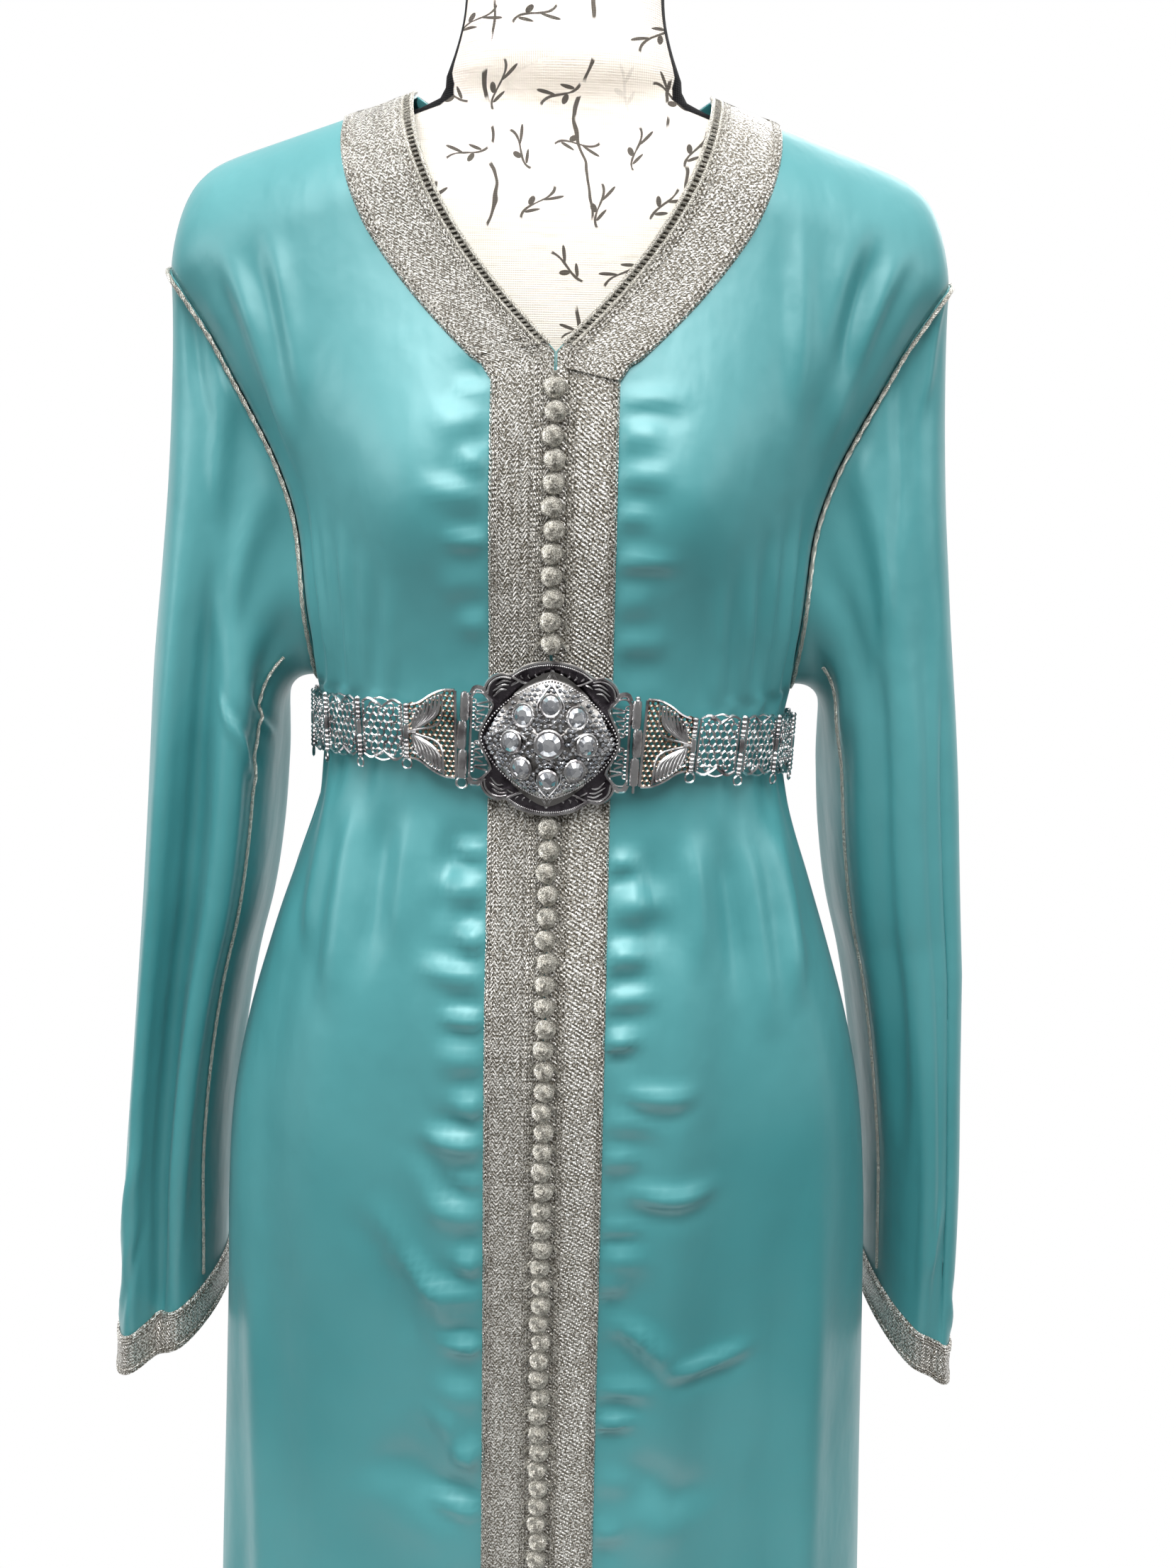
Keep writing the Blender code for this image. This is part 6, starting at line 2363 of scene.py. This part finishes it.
@dataclass
class Buckle:
    """Medallion with its rims, the side plates, both hinges, the dome and its stones."""

    face: float = 0.0017
    ring: float = 0.0190
    small: float = 0.00118
    squat: float = 1.13
    dome_half: float = 0.0350
    dome_power: float = 1.5
    dome_rim: float = 0.0010
    dome_rise: float = 0.0105
    groove: float = 0.0009
    lean: float = 14.0
    jitter: float = 0.00025
    clear_ring: float = 0.0066
    clear_middle: float = 0.0102
    inner_ring: float = 0.0090
    edge_cells: int = 132
    ring_rim: Seat = Seat(0.0049, 0.0055, 0.0042, 0.0009)
    middle_rim: Seat = Seat(0.0067, 0.0067, 0.0052, 0.0008)
    ring_stone: Seat = Seat(0.0043, 0.0049, 0.0030, 0.0007)
    middle_stone: Seat = Seat(0.0060, 0.0060, 0.0032, 0.0006)
    grain: Seat = Seat(0.00042, 0.00042, 0.00042, 0.0002)
    edge_bead: Seat = Seat(0.00062, 0.00062, 0.00062, 0.0)

    def outline(self) -> list[tuple[float, float]]:
        """The medallion's edge from its top round to the right: crescent, lobe, dome's side."""
        quarter = [(0.0, 0.0394), (0.0078, 0.0386), (0.0148, 0.0362), (0.0207, 0.0318),
                   (0.0250, 0.0324), (0.0294, 0.0310), (0.0328, 0.0272), (0.0336, 0.0222),
                   (0.0292, 0.0166), (0.0322, 0.0100), (0.0348, 0.0042), (0.0354, 0.0)]
        right = quarter + [(x, -z) for x, z in quarter[-2::-1]]
        return right + [(-x, z) for x, z in right[-2:0:-1]]

    def build(self, right: Array, left: Array) -> list[Piece]:
        """Make the buckle between the two hinge corners."""
        place = belt_frames(left[None], right[None])
        reach = float(np.linalg.norm(right - left)) / 2
        made = [self.plate(place), self.rims(place)]
        for word, side in (("left", -1), ("right", 1)):
            made += self.side(place @ np.diag((side, 1.0, 1.0, 1.0)), word, reach)
        made += [self.dome(place), self.settings(place), self.pave(place)]
        made += self.large_stones(place)
        return made

    def plate(self, place: Array) -> Piece:
        """The dark plate behind: its edge is the outline, its front a little hollow; its darkness is
        partly patina and partly painted shade behind the rims.
        """
        edge = smooth_path(self.outline(), self.edge_cells, closed=True)
        rows = []
        steps = ((0.0, 0.0004), (0.97, 0.0004), (1.0, 0.0010), (1.0, -0.0010), (0.0, -0.0010))
        for share, depth in steps:
            level = np.full(len(edge), -depth)
            rows.append(np.stack((edge[:, 0] * share, level, edge[:, 1] * share), axis=-1))
        shape = Shape().copies(np.stack(rows), place)
        return shape.make("medallion_plate", RECESS_PATINA_AND_SHADE, "buckle_medallion", weld=True)

    def rims(self, place: Array) -> Piece:
        """Beaded crescents, lobed rims and flame strokes over the plate."""
        shape = Shape()
        lace = Filigree(shape, place)
        edge = smooth_path(self.outline(), self.edge_cells, closed=True)
        rim = [tuple(point) for point in edge[::2]]
        lace.bar(rim, 0.00095, 0.0012, count=self.edge_cells, closed=True, sides=6)
        arc = ((-0.0200, 0.0315), (-0.0144, 0.0350), (-0.0076, 0.0373), (0.0, 0.0381),
               (0.0076, 0.0373), (0.0144, 0.0350), (0.0200, 0.0315))
        scallop = ((0.0, 0.0358), (0.0026, 0.0312), (0.0062, 0.0290), (0.0128, 0.0282), (0.0204, 0.0314))
        inner = tuple((x, z - 0.0014) for x, z in scallop[:-1])
        drops = (((0.0040, 0.0338), (0.0052, 0.0326)), ((0.0086, 0.0332), (0.0074, 0.0318)),
                 ((0.0122, 0.0328), (0.0112, 0.0308)), ((0.0158, 0.0322), (0.0146, 0.0306)))
        lobe = ((0.0207, 0.0304), (0.0250, 0.0309), (0.0288, 0.0296), (0.0314, 0.0266), (0.0322, 0.0226))
        flames = (((0.0205, 0.0288), (0.0244, 0.0290), (0.0282, 0.0268)),
                  ((0.0216, 0.0270), (0.0250, 0.0268), (0.0296, 0.0236)),
                  ((0.0226, 0.0246), (0.0258, 0.0244), (0.0292, 0.0208)),
                  ((0.0170, 0.0288), (0.0188, 0.0280), (0.0206, 0.0268)))
        for up in (-1, 1):
            beads = smooth_path(flipped(arc, 1, up), 44)
            lace.beads([tuple(point) for point in beads], 0.00052, 0.0018)
            for side in (-1, 1):
                lace.bar(flipped(scallop, side, up), 0.00070, 0.0019, count=18)
                lace.bar(flipped(inner, side, up), 0.00055, 0.0020, count=15)
                for head, tail in drops:
                    middle = ((head[0] + tail[0]) / 2 + 0.0006, (head[1] + tail[1]) / 2)
                    drop = flipped((head, middle, tail), side, up)
                    lace.bar(drop, 0.00048, 0.0013, count=6, taper=0.5)
                lace.bar(flipped(lobe, side, up), 0.00060, 0.0018, count=16)
                for flame in flames:
                    lace.bar(flipped(flame, side, up), 0.00072, 0.0016, count=9, taper=0.6)
        return shape.make("medallion_rims", METAL, "buckle_medallion", weld=True)

    def side(self, place: Array, word: str, reach: float) -> list[Piece]:
        """The pierced side plate and the three knuckles of its hinge.

        Args:
            place: the buckle's matrix, mirrored for the left side.
            word: left or right.
            reach: distance of the hinge from the buckle's middle.

        Returns:
            The plate and the hinge.
        """
        shape = Shape()
        lace = Filigree(shape, place)
        end = reach - 0.0048
        for up in (-1, 1):
            rim = ((0.0326, 0.0214), (0.0352, 0.0244), (0.0386, 0.0246), (end, 0.0216))
            lace.bar(flipped(rim, 1, up), 0.0016, 0.0008, count=14, flat=0.6)
            wire = ((0.0318, 0.0196), (0.0350, 0.0222), (0.0386, 0.0222), (end, 0.0198))
            lace.bar(flipped(wire, 1, up), 0.00055, 0.0016, count=12)
            for number, level in enumerate((0.0024, 0.0066, 0.0108, 0.0150)):
                inner = 0.0350 - 0.0004 * number ** 2
                hoop = ((inner, level), (end - 0.0022, level + 0.0009), (inner, level + 0.0030))
                lace.bar(flipped(hoop, 1, up), 0.00060, 0.0004, count=9)
                lace.rings([(end - 0.0012, up * (level + 0.0028))], 0.0011, 0.00045, 0.0004, count=8)
        lace.bar([(end, -0.0214), (end, 0.0), (end, 0.0214)], 0.0008, 0.0003, count=4)
        plate = shape.make(f"{word}_side_lace", METAL, f"buckle_side_{word}", weld=True)
        shape = Shape()
        hinge = Filigree(shape, place)
        middle = reach - 0.0012
        for low, shift in ((0.0078, -0.0003), (-0.0070, 0.0007), (-0.0220, 0.0)):
            hinge.barrel(middle + shift, low, low + 0.0142, 0.0026)
        hinge.barrel(middle, -0.0226, 0.0226, 0.0012)
        if word == "left":
            hinge.rings([(middle, -0.0252)], 0.0028, 0.0006, 0.0, count=14)
        else:
            hinge.barrel(middle, -0.0262, -0.0222, 0.0008)
            hinge.beads([(middle, 0.0230)], 0.0015)
        node = f"buckle_hinge_{word}"
        return [plate, shape.make(f"{word}_hinge_knuckles", METAL, node, weld=True)]

    def dome_reach(self, bearing: Array) -> Array:
        """How far the dome's edge lies from its middle: a rounded lozenge."""
        power = self.dome_power
        upward = np.abs(self.squat * np.sin(bearing))
        return self.dome_half / (np.abs(np.cos(bearing)) ** power + upward ** power) ** (1 / power)

    def dome_depth(self, x: Array, z: Array) -> Array:
        """Depth of the dome's surface: a thin rim that swells to the middle."""
        share = np.hypot(x, z) / self.dome_reach(np.arctan2(z, x))
        swell = np.clip(1.0 - share ** 2, 0.0, 1.0) ** 0.8
        return self.face + SEAM + self.dome_rim + self.dome_rise * swell

    def dome(self, place: Array) -> Piece:
        """The dome's body: shallow grooves along eight bearings part its petals, and its darker metal
        paints the shade under the small stones.
        """
        bearing = turns(96)
        share = np.concatenate((np.linspace(0.0, 1.0, 26), (1.0, 0.0)))[:, None]
        reach = self.dome_reach(bearing)[None, :] * share
        x, z = reach * np.sin(bearing), reach * np.cos(bearing)
        groove = self.groove * np.abs(np.cos(4 * bearing))[None, :] ** 6
        groove = groove * np.sin(np.clip(share, 0, 1) * math.pi)
        depth = self.dome_depth(x, z) - groove - 0.0004
        depth[-2:] = self.face + SEAM
        grid = np.stack((x, -depth, z), axis=-1)
        return Shape().copies(grid, place).make("dome_body", DOME_PAINTED_SHADE, "buckle_dome", weld=True)

    def seats(self, places: Array, x: Array, z: Array, seat: Seat) -> Array:
        """Matrices that seat unit shapes on the dome, with their Z along its lean.

        Args:
            places: the buckle's matrix.
            x: distances from the dome's middle.
            z: heights from the dome's middle.
            seat: the size of each shape and its lift.

        Returns:
            One 4 by 4 matrix for each shape.
        """
        away = np.stack((x * self.lean, -np.ones_like(x), z * self.lean), axis=-1)
        away /= np.linalg.norm(away, axis=-1, keepdims=True)
        across = np.cross(UPWARD, away)
        across /= np.linalg.norm(across, axis=-1, keepdims=True)
        local = np.tile(np.eye(4), (len(x), 1, 1))
        local[:, :3, 0] = across * seat.wide
        local[:, :3, 1] = np.cross(away, across) * seat.tall
        local[:, :3, 2] = away * seat.deep
        local[:, :3, 3] = np.stack((x, -self.dome_depth(x, z), z), axis=-1) + away * seat.lift
        return places @ local

    def ring_places(self) -> tuple[Array, Array]:
        """Middles of the eight large stones round the middle one."""
        bearing = np.arange(8) * math.pi / 4
        return self.ring * np.cos(bearing), self.ring * np.sin(bearing)

    def settings(self, place: Array) -> Piece:
        """Rims round the large stones, leaf-shaped wires and the beads between the small stones."""
        shape = Shape()
        angle = turns(16)
        loop = np.stack((np.cos(angle), np.sin(angle), np.zeros(16)), axis=-1)
        rim = carried(loop, round_profile(0.16, 5), UPWARD, closed=True)
        shape.copies(rim, self.seats(place, *self.ring_places(), self.ring_rim), flip=True)
        shape.copies(rim, self.seats(place, *self.middle_place(), self.middle_rim), flip=True)
        lace = Filigree(shape, place)
        half_leaf = ((0.0150, 0.0052), (0.0215, 0.0066), (0.0275, 0.0038))
        outline = ((0.0108, 0.0), *half_leaf, (0.0322, 0.0), *((x, -z) for x, z in half_leaf[::-1]))
        for number in range(4):
            bearing = number * math.pi / 2
            cosine, sine = math.cos(bearing), math.sin(bearing)
            leaf = np.array(outline) @ np.array(((cosine, -sine), (sine, cosine))).T
            leaf[:, 1] /= self.squat
            curve = smooth_path([tuple(point) for point in leaf], 44, closed=True)
            depth = -self.dome_depth(curve[:, 0], curve[:, 1]) - 0.0004
            path = np.stack((curve[:, 0], depth, curve[:, 1]), axis=-1)
            lace.add(carried(path, round_profile(0.00055, 5), OUTWARD, closed=True), True)
        x, z = self.small_places()
        shape.copies(ball(4, 5), self.seats(place, x + self.small * 1.1, z, self.grain))
        edge = turns(120)
        reach = self.dome_reach(edge) - 0.0004
        beads = self.seats(place, reach * np.cos(edge), reach * np.sin(edge), self.edge_bead)
        shape.copies(ball(5, 6), beads)
        return shape.make("dome_settings", METAL, "buckle_dome", weld=True)

    def middle_place(self) -> tuple[Array, Array]:
        """Middle of the middle stone, a hair above the dome's own."""
        return np.zeros(1), np.full(1, 1e-5)

    def small_places(self) -> tuple[Array, Array]:
        """Middles of the small stones: a staggered field that leaves out the large stones."""
        pitch = self.small * 2.3
        row, column = np.meshgrid(np.arange(-19, 20), np.arange(-18, 19), indexing="ij")
        x = (column + 0.5 * (row % 2)) * pitch + self.jitter * np.sin(row * 12.9 + column * 4.1)
        z = row * pitch * 0.87 + self.jitter * np.sin(row * 7.3 + column * 9.7)
        x, z = x.ravel(), z.ravel()
        inside = np.hypot(x, z) < self.dome_reach(np.arctan2(z, x)) - 0.0016
        ring_x, ring_z = self.ring_places()
        gap = np.hypot(x[:, None] - ring_x, z[:, None] - ring_z).min(axis=1)
        keep = inside & (gap > self.clear_ring) & (np.hypot(x, z) > self.clear_middle)
        around = turns(14)
        x = np.concatenate((x[keep], self.inner_ring * np.cos(around)))
        return x, np.concatenate((z[keep], self.inner_ring * np.sin(around)))

    def pave(self, place: Array) -> Piece:
        """The field of small stones."""
        seat = Seat(self.small, self.small, self.small * 1.2, -0.0002)
        seats = self.seats(place, *self.small_places(), seat)
        return self.stones(seats, gem(6, 0.55), "dome_small_stones", "buckle_dome")

    def stones(self, seats: Array, cut: Array, name: str, node: str) -> Piece:
        """Set stones of one cut on their seats, with sharp edges between their facets.

        Args:
            seats: one 4 by 4 matrix for each stone.
            cut: the surface of one stone.
            name: the piece's name.
            node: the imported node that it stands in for.

        Returns:
            The stones' piece.
        """
        return Shape().copies(cut, seats).make(name, STONE, node, weld=True, sharp=8.0)

    def large_stones(self, place: Array) -> list[Piece]:
        """The nine large stones, each cut with a table and a slanting crown."""
        made = []
        x, z = self.ring_places()
        for number in range(8):
            one = slice(number, number + 1)
            seat = self.seats(place, x[one], z[one], self.ring_stone)
            name, node = f"large_stone_{number + 1}", f"buckle_stone_{number + 1}"
            made.append(self.stones(seat, gem(12, 0.58), name, node))
        seat = self.seats(place, *self.middle_place(), self.middle_stone)
        made.append(self.stones(seat, gem(16, 0.58), "large_stone_middle", "buckle_stone_middle"))
        return made


@dataclass(frozen=True)
class Lamp:
    """A square soft light that faces its target, with its spread in degrees."""

    name: str
    place: tuple[float, float, float]
    target: tuple[float, float, float]
    size: float
    power: float
    spread: float = 180.0


LAMPS = (
    Lamp("key_light", (-0.15, -1.45, 3.30), (0.0, 0.0, 1.2), 1.8, 74.0),
    Lamp("fill_light", (1.9, -1.0, 2.0), (0.0, 0.0, 1.1), 1.0, 9.0),
    Lamp("side_light", (-2.0, -0.9, 1.9), (0.0, 0.0, 1.1), 1.0, 13.0),
    Lamp("back_light", (0.9, 2.0, 2.4), (0.0, 0.0, 1.2), 1.4, 24.0),
    Lamp("collar_light", (0.0, -1.2, 1.75), (0.0, 0.0, 1.53), 0.12, 0.15, spread=12.0),
)


@dataclass
class Studio:
    """Pale floor, soft lights and the camera of the photo."""

    eye: tuple[float, float, float] = (0.0200, -0.930, 1.323)
    pitch: float = 13.5
    roll: float = 1.2
    upright_view: float = 50.0
    sensor: float = 36.0
    front_glow: float = 0.18
    top_glow: float = 1.34
    floor_glow: float = 0.03
    floor_reach: float = 0.72

    def camera(self) -> None:
        """Place the camera: it looks down by the pitch and is turned by the roll."""
        pitch, roll = math.radians(self.pitch), math.radians(self.roll)
        ahead = Vector((0.0, math.cos(pitch), -math.sin(pitch)))
        right = Vector((1.0, 0.0, 0.0))
        up = right.cross(ahead)
        across = right * math.cos(roll) + up * math.sin(roll)
        above = up * math.cos(roll) - right * math.sin(roll)
        data = bpy.data.cameras.new("photo_camera")
        data.sensor_width = self.sensor
        data.lens = self.sensor / 2 / math.tan(math.radians(self.upright_view / 2))
        data.clip_start = 0.01
        camera = bpy.data.objects.new("photo_camera", data)
        turn = Matrix((across, above, -ahead)).transposed().to_4x4()
        camera.matrix_world = Matrix.Translation(self.eye) @ turn
        bpy.context.scene.collection.objects.link(camera)
        bpy.context.scene.camera = camera

    def light(self, lamp: Lamp) -> None:
        """Add one light."""
        data = bpy.data.lights.new(lamp.name, "AREA")
        data.shape = "SQUARE"
        data.size = lamp.size
        data.energy = lamp.power
        data.spread = math.radians(lamp.spread)
        light = bpy.data.objects.new(lamp.name, data)
        light.location = lamp.place
        way = Vector(lamp.target) - Vector(lamp.place)
        light.rotation_euler = way.to_track_quat("-Z", "Y").to_euler()
        bpy.context.scene.collection.objects.link(light)

    def floor(self) -> None:
        """A pale disc under the stand: rings of growing radius, all below the photo's frame."""
        radius = np.linspace(0.0, self.floor_reach, 8)[:, None]
        angle = turns(64)[None, :]
        level = np.full((8, 64), -0.0005)
        grid = np.stack((radius * np.cos(angle), radius * np.sin(angle), level), axis=-1)
        mesh = bpy.data.meshes.new("studio_floor")
        mesh.from_pydata(grid.reshape(-1, 3).tolist(), [], quads_of(8, 64, True)[:, ::-1].tolist())
        merge_points(mesh)
        material = bpy.data.materials.new("studio_paper")
        material.use_nodes = True
        nodes = Nodes(material)
        nodes.dress(base_color=(0.78, 0.78, 0.78, 1.0), roughness=0.9,
                    emission_color=(1.0, 1.0, 1.0, 1.0), emission_strength=self.floor_glow)
        mesh.materials.append(material)
        floor = bpy.data.objects.new("studio_floor", mesh)
        bpy.context.scene.collection.objects.link(floor)

    def build(self) -> None:
        """Set up the whole studio."""
        self.camera()
        self.floor()
        for lamp in LAMPS:
            self.light(lamp)
        self.surround()
        bpy.context.scene.view_settings.view_transform = "Standard"

    def surround(self) -> None:
        """A world that is white behind the form and over it, and dimmer in front of it."""
        world = bpy.data.worlds.new("studio_world")
        world.use_nodes = True
        nodes, links = world.node_tree.nodes, world.node_tree.links
        way = nodes.new("ShaderNodeTexCoord")
        parts = nodes.new("ShaderNodeSeparateXYZ")
        larger = nodes.new("ShaderNodeMath")
        larger.operation = "MAXIMUM"
        links.new(way.outputs["Generated"], parts.inputs[0])
        ramps = (("Y", 0.05, 0.60, 1.0), ("Z", 0.30, 0.95, self.top_glow))
        for number, (axis, low, high, most) in enumerate(ramps):
            level = nodes.new("ShaderNodeMapRange")
            level.interpolation_type = "SMOOTHSTEP"
            values = {"From Min": low, "From Max": high, "To Min": self.front_glow, "To Max": most}
            for name, value in values.items():
                level.inputs[name].default_value = value
            links.new(parts.outputs[axis], level.inputs["Value"])
            links.new(level.outputs[0], larger.inputs[number])
        links.new(larger.outputs[0], nodes["Background"].inputs["Strength"])
        nodes["Background"].inputs["Color"].default_value = (1.0, 1.0, 1.0, 1.0)
        bpy.context.scene.world = world


def main() -> None:
    """Build the studio, the garment, its trims, the belt and the form, and report each piece."""
    logging.basicConfig(level=logging.INFO, format="%(name)s %(message)s")
    Studio().build()
    DressForm().build()
    for side in Side:
        front = Front(side)
        grid = front.grid()
        front.build(grid)
        FrontTrims(front).build(grid)
        if side is Side.RIGHT:
            ButtonRows().build(grid[:, 0])
        sleeve = Sleeve(side)
        sleeve.build(sleeve.grid())
    back = Back()
    grid = back.grid()
    back.build(grid)
    BackBand(back).build(grid)
    corners = belt_corners()
    BeltBand().build(corners)
    Buckle().build(corners[0], corners[-1])


if __name__ == "__main__":
    main()
